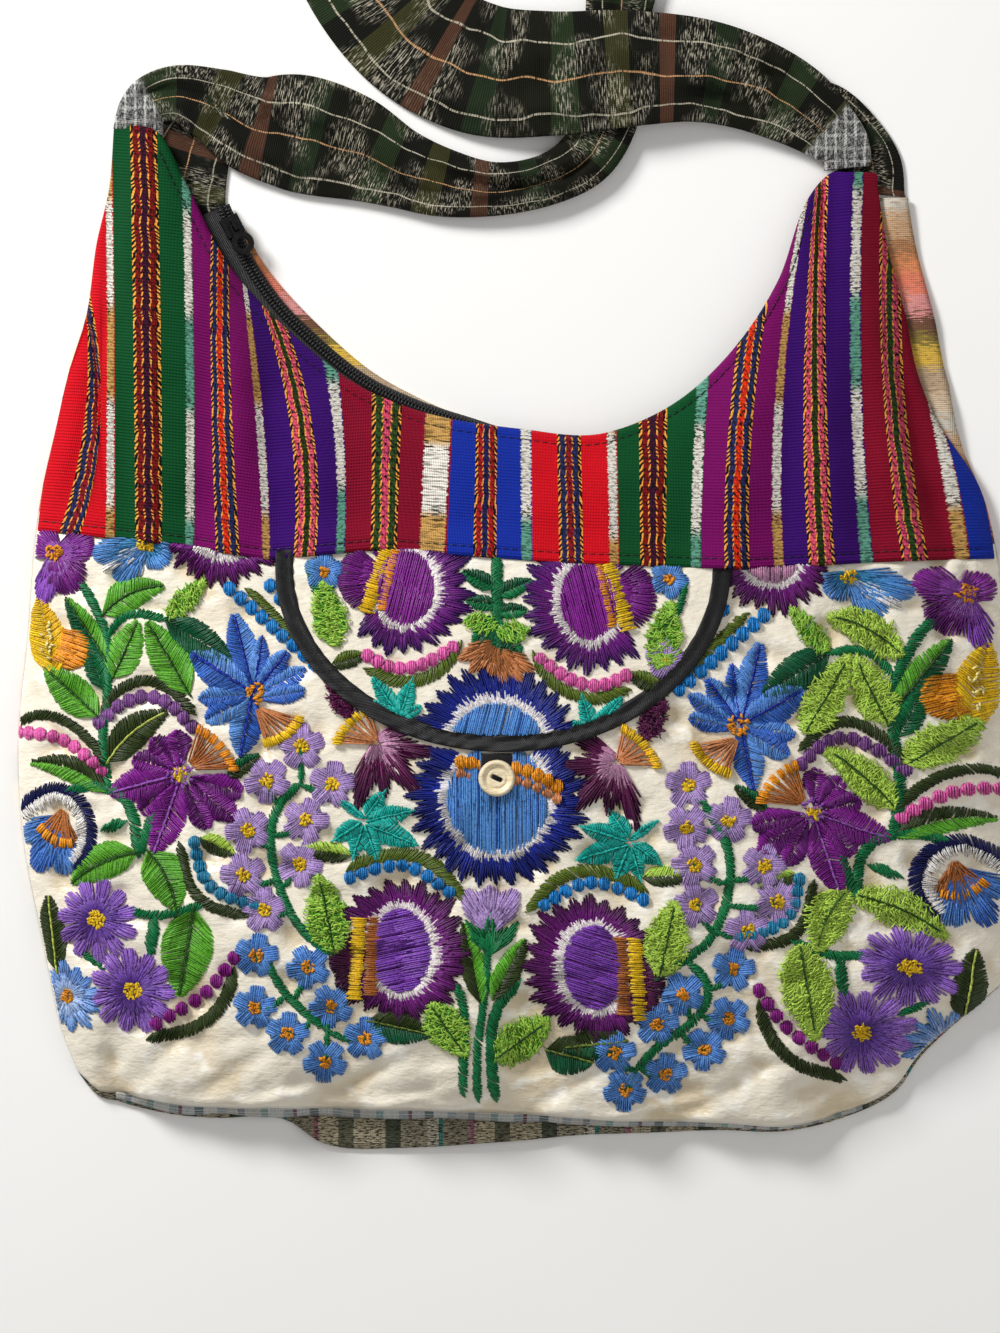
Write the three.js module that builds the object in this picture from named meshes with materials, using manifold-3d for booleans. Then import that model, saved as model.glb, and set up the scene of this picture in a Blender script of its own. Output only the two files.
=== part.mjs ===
// Patchwork hobo bag lying on its back, in millimetres, with +Z up from the floor.
// +X runs to the right across the front face, and +Y from the bottom edge towards the strap.
// The origin lies on the floor, on the centre line, level with the cross seam of the front.
import * as THREE from "three";
import Module from "manifold-3d";

const wasm = await Module();
wasm.setup();

// Cloth and clearances
const CLOTH = 1.8;
const GAP = 0.3;
const RIM = CLOTH + GAP;
const STEEPEST = 2.2;

// Loft of the front: how it rounds towards the sides and sinks towards the neckline
const SIDE_POWER = 2.6;
const SIDE_ROUND = 0.7;
const NECK_DIP = 0.62;
const NECK_REACH = 28;

// Ends of the seam, where the panel and the yoke meet at each side
const SEAM_LEFT_Y = 10.7;
const SEAM_RIGHT_Y = -0.8;
const HEM_LEFT_Y = -211.6;
const HEM_RIGHT_Y = -176;
const HORN_LEFT_Y = 176.3;
const HORN_RIGHT_Y = 156.2;

// Back panel
const BACK_LEFT_TOP = 132;
const BACK_LEFT_INNER = -116;
const BACK_RIGHT_TOP = 147;
const BACK_RIGHT_INNER = 128;
const BACK_NECK_FROM = 0.215;
const BACK_NECK_TO = 0.8;

// Pocket flap, its binding, tab and button
const FLAP_CENTRE = -2.9;
const FLAP_HALF = 85.2;
const FLAP_DEPTH = 67.6;
const FLAP_TOP = -5;
const FLAP_FROM = 0.055;
const FLAP_LIFT = 0.5;
const FLAP_CLOTH = 1.6;
const BINDING_WIDTH = 6.5;
const BINDING_THICK = 2.5;
const BUTTON_X = -5.4;
const BUTTON_Y = -89.8;
const BUTTON_RADIUS = 7.4;
const BUTTON_THICK = 2.9;
const STEM_RADIUS = 1.2;
const TAB_WIDTH = 12;
const TAB_THICK = 1.2;
const TAB_TOP = -79.8;
const TAB_BOTTOM = -94;
const TAB_HOLE = 1.8;

// Base strip along the bottom edge
const BASE_FROM = 0.055;
const BASE_TO = 0.865;

// Zip
const ZIP_FROM = 0.192;
const ZIP_TO = 0.81;
const TAPE_THICK = 0.9;
const TAPE_TUCK = 4;
const TAPE_BEYOND = 4.5;
const CHAIN_WIDTH = 5;
const CHAIN_THICK = 1.8;
const SLIDER_AT = 0.208;
const SLIDER_LENGTH = 8.4;
const SLIDER_WIDTH = 7.6;
const SLIDER_PLATE = 1.2;
const SLIDER_FLANGE = 0.9;
const BAIL_HALF = 2.5;
const BAIL_POST = 0.7;
const BAIL_WIDTH = 1.4;
const BAIL_CLEAR = 1.9;
const PIN_RADIUS = 0.5;
const PULL_ARM = 0.9;
const PULL_THICK = 1.3;
const PULL_NECK = 3.7;
const PULL_RING = 4.6;
const PULL_HOLE = 2.5;

// Turns a table with named columns into a smooth function of its first column.
function table(columns, rows) {
  const keys = rows.map((row) => row[0]);
  const values = rows.flatMap((row) => row.slice(1));
  const names = columns.slice(1);
  const spline = new THREE.CubicInterpolant(keys, values, names.length);
  return (key) => {
    const found = spline.evaluate(key);
    return Object.fromEntries(names.map((name, index) => [name, found[index]]));
  };
}

// Both side edges of the front, from the bottom corners up to the horns
const sides = table(["y", "left", "right"], [
  [-234, -165, 155], [-214, -175, 161], [-204, -179.5, 167], [-192, -184, 180.5],
  [-176, -187.5, 200], [-149, -193, 203.8], [-116, -199.3, 204.6], [-75, -201.3, 204.6],
  [-34, -197.6, 203], [10, -194, 197.5], [30, -191, 191.5], [56, -185, 174.5],
  [76, -180.5, 166.5], [98, -173.5, 162], [129, -169, 154], [151, -164, 150.5], [180, -162, 146],
]);

// Loft above the back panel, and the distance from each side over which it is reached
const loft = table(["y", "rise", "reach"], [
  [-234, 9, 120], [-222, 12.5, 130], [-200, 20, 150], [-170, 27, 175], [-120, 32, 195],
  [-60, 33, 195], [0, 30, 190], [50, 25, 130], [100, 19, 75], [150, 14, 48], [180, 11, 42],
]);

// Cross seam, by the share of its width
const seam = table(["u", "x", "y"], [
  [0, -194, SEAM_LEFT_Y], [0.16, -131, 3.3], [0.245, -98, -2], [0.36, -52, 2],
  [0.55, 22, -3.3], [0.735, 95, -6], [0.885, 153, -2.5], [1, 198.9, SEAM_RIGHT_Y],
]);

// Top edge of the yoke: left horn, neckline, right horn, by the same share as the seam
const NECK_ROWS = [
  [0, -162.2, HORN_LEFT_Y], [0.078, -160.4, 176], [0.137, -142.3, 171.8], [0.17, -132, 151.7],
  [0.24, -111.5, 114.4], [0.325, -70.5, 75.4], [0.4, -39, 59.9], [0.5, 4, 52],
  [0.595, 40, 50.8], [0.69, 78, 71.7], [0.775, 108.6, 112.8], [0.815, 120, 144.7],
  [0.835, 128, 155.4], [0.87, 137.5, 157], [0.905, 147.2, 157], [1, 148.6, HORN_RIGHT_Y],
];
const neck = table(["u", "x", "y"], NECK_ROWS);
const neckAt = table(["x", "y"], NECK_ROWS.map(([, x, y]) => [x, y]));

// Bottom edge of the front panel, with the left corner's tuck and the right corner turned under
const hem = table(["u", "x", "y"], [
  [0, -176.1, HEM_LEFT_Y], [0.03, -168, -218.6], [0.06, -160, -219.4], [0.1, -151, -221],
  [0.17, -132, -224], [0.3, -80, -225], [0.44, -27.5, -226], [0.56, 20.5, -228.4],
  [0.64, 52, -230.4], [0.72, 85, -231], [0.79, 113.6, -232.4], [0.85, 138, -226.8],
  [0.9, 157, -217.5], [0.94, 168, -203.2], [0.97, 181.5, -191], [1, 200, HEM_RIGHT_Y],
]);

// How far the base strip leans out below the hem
const lean = table(["u", "out"], [
  [0, 3], [0.2, 4.5], [0.5, 4.5], [0.65, 3], [0.8, 1.6], [1, 1.4],
]);

// How far the back panel reaches past the hem, with the loose fold below the middle
const sag = table(["u", "out"], [
  [0, 0.4], [0.06, 3.6], [0.2, 5.2], [0.27, 5.6], [0.31, 15], [0.4, 16.4], [0.5, 12.5],
  [0.6, 7], [0.7, 4.2], [0.8, 2.6], [0.88, 2], [1, 0.4],
]);

// Where the chain and the back panel's edge lie past the front neckline
const mouth = table(["u", "chain", "back"], [
  [0.19, 9, 14], [0.215, 8.4, 13.6], [0.24, 6.5, 12], [0.3, 5, 10], [0.35, 4, 8],
  [0.4, 3, 5.5], [0.45, 1, 2], [0.5, -3, -3], [0.56, -6, -6], [0.81, -7, -6],
]);

// Folds of the yoke: share along the seam at bottom and top, stretch of height, spread and depth
const YOKE_FOLDS = [
  { name: "side roll", low: 0.035, high: 0.05, from: 0.0, to: 0.75, spread: 0.022, depth: -2.6 },
  { name: "side crown", low: 0.085, high: 0.095, from: 0.1, to: 0.95, spread: 0.022, depth: 1.6 },
  { name: "neck roll", low: 0.225, high: 0.215, from: 0.35, to: 1.0, spread: 0.03, depth: 2.4 },
  { name: "neck valley", low: 0.285, high: 0.265, from: 0.4, to: 1.0, spread: 0.03, depth: -2 },
  { name: "horn pleat", low: 0.815, high: 0.85, from: 0.45, to: 1.0, spread: 0.014, depth: -2.4 },
  { name: "horn crown", low: 0.86, high: 0.875, from: 0.3, to: 1.0, spread: 0.02, depth: 1.6 },
  { name: "side wrap", low: 0.96, high: 0.94, from: 0.0, to: 0.7, spread: 0.02, depth: -1.8 },
];

// Folds of the front panel: place at the hem, stretch of height, spread and depth
const PANEL_FOLDS = [
  { name: "corner tuck", x: -160, from: -226, to: -185, spread: 7, depth: -3.2 },
  { name: "hem swell", x: -118, from: -230, to: -200, spread: 14, depth: 2 },
  { name: "hem dip", x: -62, from: -230, to: -196, spread: 12, depth: -1.8 },
  { name: "hem swell", x: -20, from: -232, to: -200, spread: 16, depth: 1.6 },
  { name: "hem dip", x: 60, from: -236, to: -198, spread: 12, depth: -1.8 },
  { name: "hem swell", x: 108, from: -236, to: -196, spread: 16, depth: 2.2 },
  { name: "corner dent", x: 146, from: -228, to: -180, spread: 9, depth: -2.6 },
];

// Strap from the left horn round the whole loop to the right horn: middle, underside, width, thickness
const STRAP_COLUMNS = ["row", "x", "y", "base", "width", "thick", "crease"];
const STRAP_ROWS = [
  [-151.9, 175.6, 2.4, 20, 2.8, 0], [-150.6, 182, 3.6, 19.5, 4, 0.4], [-145.1, 187.2, 4.4, 21, 5, 0.8],
  [-134.5, 189, 4, 24, 5.5, 1], [-121, 184.6, 2.6, 31, 5.5, 1], [-104.6, 177, 0.8, 41, 5.2, 1.2],
  [-86, 173.4, 0, 48, 5, 1.4], [-65.6, 167.7, 0, 44, 5, 1.4], [-45, 159, 0, 33, 6, 1.6],
  [-26.7, 153, 0, 28, 7, 1.6], [-6, 150.5, 0, 22, 8, 1.2], [14.4, 154, 0, 21, 8.4, 1],
  [30, 162.8, 0, 24, 7.5, 1], [38.5, 177, 0, 26, 7, 1], [42.6, 197.6, 0, 28, 6.6, 1],
  [44.3, 222, 0, 27, 6.6, 1], [48.4, 249, 0, 34, 5.6, 1], [54, 281.7, 0, 44, 4.4, 0.8],
  [47, 318.6, 0, 52, 3.8, 0.6], [24.6, 345, 0, 55, 3.6, 0.5], [-10.2, 353.4, 0, 56, 3.6, 0.5],
  [-45, 339, 0, 56, 3.6, 0.5], [-67.6, 308, 0, 56, 3.6, 0.5], [-69.7, 273.5, 0, 56, 3.6, 0.5],
  [-59, 240.7, 0, 55, 3.6, 0.6], [-39, 214, 0, 54, 3.8, 0.8], [-12.3, 199.7, 1.6, 54, 3.8, 0.8],
  [16.4, 197.2, 6.2, 51, 4, 0.8], [45, 198.9, 7.8, 48, 4.2, 0.8], [73.8, 198.9, 6.2, 43, 4.6, 1],
  [96.4, 194, 3.6, 39, 5, 1.2], [116.9, 184.5, 2.6, 34, 5.2, 1.2], [132.6, 172, 2.8, 25, 4.5, 0.8],
  [137.2, 165.4, 2.6, 21, 3.6, 0.4], [138, 159, 2.4, 19, 2.8, 0],
];
const LEFT_TAIL_ROWS = [
  [-137.2, 133.2, 0, 42, 1.8, 0], [-137, 150, 0, 41, 1.8, 0], [-133.5, 166, 0, 38, 1.8, 0],
  [-128.5, 178, 0.4, 32, 2.6, 0], [-120.5, 185.5, 2.8, 24, 4, 0],
];
const RIGHT_TAIL_ROWS = [
  [146, 149, 0, 32.6, 1.8, 0], [147, 161, 0, 26.5, 1.8, 0], [140.5, 174, 0.3, 22, 2.2, 0],
  [131, 183.5, 1.6, 20, 3.4, 0], [119.5, 187, 3, 18, 3.6, 0],
];

// Colours and finishes of the cloths and the hard pieces
const SATIN = { color: 0xefe6d2, roughness: 0.5, metalness: 0 };
const STRIPES = { color: 0x7a0f52, roughness: 0.85, metalness: 0 };
const WARM_IKAT = { color: 0xc98a55, roughness: 0.9, metalness: 0 };
const PALE_PLAID = { color: 0xb9c2bd, roughness: 0.9, metalness: 0 };
const DARK_PLAID = { color: 0x2a2c22, roughness: 0.9, metalness: 0 };
const BLACK_CLOTH = { color: 0x121214, roughness: 0.85, metalness: 0 };
const BONE = { color: 0xe6d7b8, roughness: 0.35, metalness: 0 };
const BLACK_ENAMEL = { color: 0x101012, roughness: 0.3, metalness: 0.6 };

const mix = (a, b, t) => a + (b - a) * t;
const steps = (count, from = 0, to = 1) =>
  Array.from({ length: count + 1 }, (_, index) => mix(from, to, index / count));

// Steps from 0 to 1 that lie closer together near both ends.
const easedSteps = (count) => steps(count).map((t) => mix(t, (1 - Math.cos(Math.PI * t)) / 2, 0.7));

// Bell curve of a fold across its own spread.
const bell = (offset, spread) => Math.exp(-((offset / spread) ** 2));

// Rises from 0 to 1 and back over a stretch, so that a fold fades at both ends.
function window(value, from, to) {
  const share = THREE.MathUtils.clamp((value - from) / (to - from), 0, 1);
  return Math.sin(Math.PI * share) ** 0.7;
}

// Height of the outer face of the front above the floor, before its folds.
function bodyHeight(x, y) {
  const { left, right } = sides(y);
  const { rise, reach } = loft(y);
  const inset = Math.max(0, Math.min(x - left, right - x));
  const share = Math.min(1, inset / reach);
  const round = (1 - (1 - share) ** SIDE_POWER) ** SIDE_ROUND;
  const below = Math.max(0, neckAt(x).y - y);
  return RIM + CLOTH + rise * round * (1 - NECK_DIP * Math.exp(-below / NECK_REACH));
}

// A surface between four edges, which share their corners.
function patch(low, high, left, right) {
  const corners = [low(0), low(1), high(0), high(1)];
  return (u, v) => {
    const [bottom, top, start, end] = [low(u), high(u), left(v), right(v)];
    const along = (axis) => {
      const across = mix(start[axis], end[axis], u) + mix(bottom[axis], top[axis], v);
      const shared = mix(corners[0][axis], corners[1][axis], u);
      return across - mix(shared, mix(corners[2][axis], corners[3][axis], u), v);
    };
    return { x: along("x"), y: along("y") };
  };
}

// One side edge of the front between two heights.
function sideEdge(name, fromY, toY) {
  return (v) => {
    const y = mix(fromY, toY, v);
    return { x: sides(y)[name], y };
  };
}

const panelPlan = patch(
  seam, hem, sideEdge("left", SEAM_LEFT_Y, HEM_LEFT_Y), sideEdge("right", SEAM_RIGHT_Y, HEM_RIGHT_Y),
);
const yokePlan = patch(
  seam, neck, sideEdge("left", SEAM_LEFT_Y, HORN_LEFT_Y), sideEdge("right", SEAM_RIGHT_Y, HORN_RIGHT_Y),
);

// Outer face of the front panel at a place on the floor plan.
function panelHeight(x, y) {
  const swell = PANEL_FOLDS.reduce(
    (sum, fold) => sum + fold.depth * bell(x - fold.x, fold.spread) * window(y, fold.from, fold.to), 0,
  );
  const { left, right } = sides(y);
  const fade = Math.min(1, Math.max(0, Math.min(x - left, right - x)) / 12);
  return bodyHeight(x, y) + swell * fade;
}

function panelSurface(u, v) {
  const { x, y } = panelPlan(u, v);
  return new THREE.Vector3(x, y, panelHeight(x, y));
}

function yokeSurface(u, v) {
  const { x, y } = yokePlan(u, v);
  const swell = YOKE_FOLDS.reduce((sum, fold) => {
    const middle = mix(fold.low, fold.high, v);
    return sum + fold.depth * bell(u - middle, fold.spread) * window(v, fold.from, fold.to + 0.35);
  }, 0);
  const lowest = RIM + CLOTH;
  return new THREE.Vector3(x, y, Math.max(lowest, bodyHeight(x, y) + swell * Math.min(1, u * (1 - u) * 40)));
}

// Makes one closed mesh geometry from points and triangles, facing out.
function closed(points, triangles) {
  const volume = triangles.reduce((sum, [a, b, c]) => {
    const cross = new THREE.Vector3().crossVectors(points[b], points[c]);
    return sum + points[a].dot(cross);
  }, 0);
  const faces = volume > 0 ? triangles : triangles.map(([a, b, c]) => [a, c, b]);
  const geometry = new THREE.BufferGeometry();
  geometry.setAttribute(
    "position", new THREE.Float32BufferAttribute(points.flatMap((point) => point.toArray()), 3),
  );
  geometry.setIndex(faces.flat());
  geometry.computeVertexNormals();
  return geometry;
}

// Two triangles of a quad.
const quad = (a, b, c, d) => [[a, b, c], [a, c, d]];

// A cloth wall: an outer skin and an inner skin straight below it, joined round the rim.
function wall(surface, us, vs, thickness) {
  const outer = vs.flatMap((v) => us.map((u) => surface(u, v)));
  const inner = outer.map((point, index) => point.clone().setZ(point.z - thickness(point, index)));
  const wide = us.length;
  const deep = vs.length;
  const shift = outer.length;
  const at = (i, j) => j * wide + i;
  const triangles = [];
  for (let j = 0; j + 1 < deep; j += 1) {
    for (let i = 0; i + 1 < wide; i += 1) {
      const [a, b, c, d] = [at(i, j), at(i + 1, j), at(i + 1, j + 1), at(i, j + 1)];
      triangles.push(...quad(a, b, c, d));
      triangles.push(...quad(d + shift, c + shift, b + shift, a + shift));
    }
  }
  const rim = [];
  for (let i = 0; i + 1 < wide; i += 1) rim.push(at(i, 0));
  for (let j = 0; j + 1 < deep; j += 1) rim.push(at(wide - 1, j));
  for (let i = wide - 1; i > 0; i -= 1) rim.push(at(i, deep - 1));
  for (let j = deep - 1; j > 0; j -= 1) rim.push(at(0, j));
  rim.forEach((a, index) => {
    const b = rim[(index + 1) % rim.length];
    triangles.push(...quad(b, a, a + shift, b + shift));
  });
  return closed([...outer, ...inner], triangles);
}

// Thickness straight down of a lofted wall, more where it is steep, never below the rim.
function loftedThickness(height) {
  const probe = 1;
  return (point) => {
    const slopeX = (height(point.x + probe, point.y) - height(point.x - probe, point.y)) / (2 * probe);
    const slopeY = (height(point.x, point.y + probe) - height(point.x, point.y - probe)) / (2 * probe);
    const steep = Math.min(STEEPEST, Math.hypot(1, slopeX, slopeY));
    return Math.min(CLOTH * steep, point.z - RIM);
  };
}

// Joins rings of points in a row into one closed body with flat ends.
function loftRings(rings) {
  const size = rings[0].length;
  const points = rings.flat();
  const triangles = [];
  for (let j = 0; j + 1 < rings.length; j += 1) {
    for (let i = 0; i < size; i += 1) {
      const next = (i + 1) % size;
      triangles.push(...quad(j * size + i, j * size + next, (j + 1) * size + next, (j + 1) * size + i));
    }
  }
  const cap = (ring, start, turned) => {
    const middle = ring.reduce((sum, point) => sum.add(point), new THREE.Vector3()).divideScalar(size);
    points.push(middle);
    for (let i = 0; i < size; i += 1) {
      const edge = [start + i, start + ((i + 1) % size)];
      triangles.push([points.length - 1, ...(turned ? edge : edge.reverse())]);
    }
  };
  cap(rings[0], 0, false);
  cap(rings[rings.length - 1], (rings.length - 1) * size, true);
  return closed(points, triangles);
}

// Converts a geometry to a solid for a boolean, and back.
function toSolid(geometry) {
  const vertProperties = Float32Array.from(geometry.attributes.position.array);
  const triVerts = Uint32Array.from(geometry.index.array);
  return new wasm.Manifold(new wasm.Mesh({ numProp: 3, vertProperties, triVerts }));
}

function fromSolid(solid) {
  const mesh = solid.getMesh();
  const geometry = new THREE.BufferGeometry();
  geometry.setAttribute("position", new THREE.Float32BufferAttribute(mesh.vertProperties, 3));
  geometry.setIndex(Array.from(mesh.triVerts));
  geometry.computeVertexNormals();
  return geometry;
}

// A box as an indexed geometry with shared corners.
function block(sizeX, sizeY, sizeZ, x, y, z) {
  const ring = (level) => [[-1, -1], [1, -1], [1, 1], [-1, 1]].map(
    ([a, b]) => new THREE.Vector3(x + (a * sizeX) / 2, y + (b * sizeY) / 2, level),
  );
  return loftRings([ring(z - sizeZ / 2), ring(z + sizeZ / 2)]);
}

// A round rod between two points of one axis direction, given as rings.
function rod(radius, sidesCount, axisPoints, place) {
  const ring = (along) => steps(sidesCount - 1, 0, 1 - 1 / sidesCount).map((share) => {
    const turn = 2 * Math.PI * share;
    return place(along, radius * Math.cos(turn), radius * Math.sin(turn));
  });
  return loftRings(axisPoints.map(ring));
}

function node(name, geometry, finish) {
  const mesh = new THREE.Mesh(geometry, new THREE.MeshStandardMaterial(finish));
  mesh.name = name;
  return mesh;
}

// Front panel and yoke, kept apart at the cross seam
function frontPanel() {
  const rows = steps(17, 0.0015, 1);
  const geometry = wall(panelSurface, easedSteps(34), rows, loftedThickness(panelHeight));
  return node("front_panel", geometry, SATIN);
}

function frontYoke() {
  const columns = easedSteps(44);
  const rows = steps(12, 0.004, 1);
  const geometry = wall(yokeSurface, columns, rows, loftedThickness(bodyHeight));
  return node("front_yoke", geometry, STRIPES);
}

// Direction of an edge on the floor plan, and the way past it
function edgeFrame(edge, u) {
  const probe = 0.002;
  const [before, after] = [edge(u - probe), edge(u + probe)];
  const along = new THREE.Vector2(after.x - before.x, after.y - before.y).normalize();
  return { along, past: new THREE.Vector2(-along.y, along.x) };
}

function beyond(edge, u, distance) {
  const { x, y } = edge(u);
  const { past } = edgeFrame(edge, u);
  return new THREE.Vector2(x + past.x * distance, y + past.y * distance);
}

// Back panel: one flat wall on the floor with two horns and a loose fold past the hem
function backPanel() {
  const outline = [];
  steps(40).forEach((u) => {
    outline.push(beyond(hem, u, -Math.max(0.4, sag(u).out)));
  });
  steps(16, HEM_RIGHT_Y + 6, BACK_RIGHT_TOP).forEach((y) => {
    const peek = 11.5 * THREE.MathUtils.smoothstep(y, 30, 75);
    outline.push(new THREE.Vector2(sides(y).right + 0.3 + peek, y));
  });
  outline.push(new THREE.Vector2(BACK_RIGHT_INNER, BACK_RIGHT_TOP));
  steps(22, BACK_NECK_TO, BACK_NECK_FROM).forEach((u) => outline.push(beyond(neck, u, mouth(u).back)));
  outline.push(new THREE.Vector2(BACK_LEFT_INNER, BACK_LEFT_TOP));
  steps(18, BACK_LEFT_TOP, HEM_LEFT_Y + 6).forEach((y) => {
    outline.push(new THREE.Vector2(sides(y).left - 0.3, y));
  });
  const geometry = new THREE.ExtrudeGeometry(new THREE.Shape(outline), { depth: CLOTH, bevelEnabled: false });
  return node("back_panel", geometry, WARM_IKAT);
}

// Base strip: a short wall under the hem that leans out to the back panel
function baseStrip() {
  const thickness = loftedThickness(panelHeight);
  const rings = steps(34, BASE_FROM, BASE_TO).map((u) => {
    const edge = hem(u);
    const { past } = edgeFrame(hem, u);
    const top = new THREE.Vector3(edge.x, edge.y, panelHeight(edge.x, edge.y));
    top.z -= thickness(top) + GAP;
    const { out } = lean(u);
    const spot = (reach, z) => new THREE.Vector3(edge.x - past.x * reach, edge.y - past.y * reach, z);
    return [spot(0, top.z), spot(out, RIM), spot(out - CLOTH, RIM), spot(-CLOTH, top.z)];
  });
  return node("base_strip", loftRings(rings), PALE_PLAID);
}

// Half ellipse of the flap's edge, or of a line set off from it
function flapEdge(share, offset) {
  const turn = Math.PI * share;
  return new THREE.Vector2(
    FLAP_CENTRE - (FLAP_HALF + offset) * Math.cos(turn), FLAP_TOP - (FLAP_DEPTH + offset) * Math.sin(turn),
  );
}

function flapTop(x) {
  const share = (x - seam(0).x) / (seam(1).x - seam(0).x);
  return Math.min(FLAP_TOP, seam(share).y - 2 * GAP);
}

function pocketFlap() {
  const surface = (u, v) => {
    const edge = flapEdge(mix(FLAP_FROM, 1 - FLAP_FROM, u), 0);
    const y = mix(flapTop(edge.x), edge.y, v);
    return new THREE.Vector3(edge.x, y, panelHeight(edge.x, y) + FLAP_LIFT + FLAP_CLOTH);
  };
  const geometry = wall(surface, steps(22), steps(7), () => FLAP_CLOTH);
  return node("pocket_flap", geometry, SATIN);
}

function flapBinding() {
  const inner = GAP;
  const outer = GAP + BINDING_WIDTH;
  const section = [
    [inner, 0], [outer, 0], [outer, 0.55], [mix(inner, outer, 0.75), 1], [mix(inner, outer, 0.25), 1], [inner, 0.55],
  ];
  const rings = steps(34, FLAP_FROM, 1 - FLAP_FROM).map((share) => section.map(([offset, level]) => {
    const { x, y } = flapEdge(share, offset);
    return new THREE.Vector3(x, y, panelHeight(x, y) + FLAP_LIFT + level * BINDING_THICK);
  }));
  return node("flap_binding", loftRings(rings), BLACK_CLOTH);
}

// Button with a stem through the hole of its tab
function fasteners() {
  const seat = panelHeight(BUTTON_X, BUTTON_Y) + GAP + 0.3;
  const under = TAB_THICK + 2 * GAP;
  const stem = STEM_RADIUS;
  const profile = [
    [0, 0], [stem, 0], [stem, under], [BUTTON_RADIUS * 0.75, under], [BUTTON_RADIUS * 0.96, under + 0.7],
    [BUTTON_RADIUS, under + BUTTON_THICK * 0.55], [BUTTON_RADIUS * 0.94, under + BUTTON_THICK * 0.88],
    [BUTTON_RADIUS * 0.82, under + BUTTON_THICK], [BUTTON_RADIUS * 0.68, under + BUTTON_THICK * 0.82],
    [BUTTON_RADIUS * 0.58, under + BUTTON_THICK * 0.6], [0, under + BUTTON_THICK * 0.55],
  ];
  const lathe = new THREE.LatheGeometry(profile.map(([r, z]) => new THREE.Vector2(r, z)), 28);
  lathe.rotateX(Math.PI / 2);
  lathe.translate(BUTTON_X, BUTTON_Y, seat);

  const length = TAB_TOP - TAB_BOTTOM;
  const tabMiddle = (TAB_TOP + TAB_BOTTOM) / 2;
  const plate = block(TAB_WIDTH, length, TAB_THICK, BUTTON_X, tabMiddle, seat + GAP + TAB_THICK / 2);
  const drill = rod(TAB_HOLE, 16, [seat - 1, seat + 4], (along, a, b) =>
    new THREE.Vector3(BUTTON_X + a, BUTTON_Y + b, along));
  const tab = fromSolid(toSolid(plate).subtract(toSolid(drill)));
  return [node("button", lathe, BONE), node("button_tab", tab, BLACK_CLOTH)];
}

// A band of cloth along a table of sections, with rounded edges and a crease along its top
function band(rows, count) {
  const route = table(STRAP_COLUMNS, rows.map((row, index) => [index, ...row]));
  const last = rows.length - 1;
  const sideCount = 12;
  const probe = 0.05;
  const rings = steps(count, 0, last).map((row) => {
    const here = route(row);
    const before = route(Math.max(0, row - probe));
    const after = route(Math.min(last, row + probe));
    const along = new THREE.Vector2(after.x - before.x, after.y - before.y).normalize();
    return Array.from({ length: sideCount }, (_, index) => {
      const turn = (2 * Math.PI * index) / sideCount;
      const [c, s] = [Math.cos(turn), Math.sin(turn)];
      const across = (here.width / 2) * Math.sign(c) * Math.abs(c) ** 0.8;
      const level = Math.sign(s) * Math.abs(s) ** 0.6;
      const dip = index === sideCount / 4 ? here.crease : 0;
      const z = Math.max(0, here.base) + (here.thick / 2) * (1 + level) - dip;
      return new THREE.Vector3(here.x - along.y * across, here.y + along.x * across, z);
    });
  });
  return loftRings(rings);
}

function strap() {
  const loop = toSolid(band(STRAP_ROWS, 92));
  const ends = [LEFT_TAIL_ROWS, RIGHT_TAIL_ROWS].map((rows) => toSolid(band(rows, 10)));
  return node("strap", fromSolid(ends.reduce((sum, end) => sum.add(end), loop)), DARK_PLAID);
}

// Zip: place and tilt of its tape under the neckline
function zipFrame(u) {
  const edge = neck(u);
  const { along, past } = edgeFrame(neck, u);
  const { chain } = mouth(u);
  const high = bodyHeight(edge.x, edge.y) - CLOTH - 2.4 * GAP - TAPE_THICK;
  const low = RIM;
  const from = Math.min(chain - TAPE_TUCK, -TAPE_TUCK);
  const to = chain + TAPE_BEYOND;
  const drop = Math.max(0, high - low);
  const heightAt = (reach) => low + drop * ((to - reach) / (to - from));
  const spot = (reach, z) => new THREE.Vector3(edge.x + past.x * reach, edge.y + past.y * reach, z);
  const slope = -drop / (to - from);
  const side = new THREE.Vector3(past.x, past.y, slope).normalize();
  const ahead = new THREE.Vector3(along.x, along.y, 0);
  const up = new THREE.Vector3().crossVectors(ahead, side).normalize();
  return { spot, heightAt, from, to, chain, side, ahead, up };
}

function zipTape() {
  const rings = steps(34, ZIP_FROM, ZIP_TO).map((u) => {
    const { spot, heightAt, from, to } = zipFrame(u);
    return [
      spot(from, heightAt(from)), spot(to, heightAt(to)),
      spot(to, heightAt(to) + TAPE_THICK), spot(from, heightAt(from) + TAPE_THICK),
    ];
  });
  return node("zip_tape", loftRings(rings), BLACK_CLOTH);
}

// Middle of the chain's underside
function chainSeat(u) {
  const frame = zipFrame(u);
  const seat = frame.spot(frame.chain, frame.heightAt(frame.chain) + TAPE_THICK);
  return { ...frame, seat: seat.addScaledVector(frame.up, 1.3 * GAP) };
}

function zipChain() {
  const section = [[-0.5, 0], [0.5, 0], [0.5, 0.6], [0.3, 1], [-0.3, 1], [-0.5, 0.6]];
  const rings = steps(34, ZIP_FROM, ZIP_TO).map((u) => {
    const { seat, side, up } = chainSeat(u);
    return section.map(([a, b]) => seat.clone()
      .addScaledVector(side, a * CHAIN_WIDTH)
      .addScaledVector(up, b * CHAIN_THICK));
  });
  return node("zip_chain", loftRings(rings), BLACK_ENAMEL);
}

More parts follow.
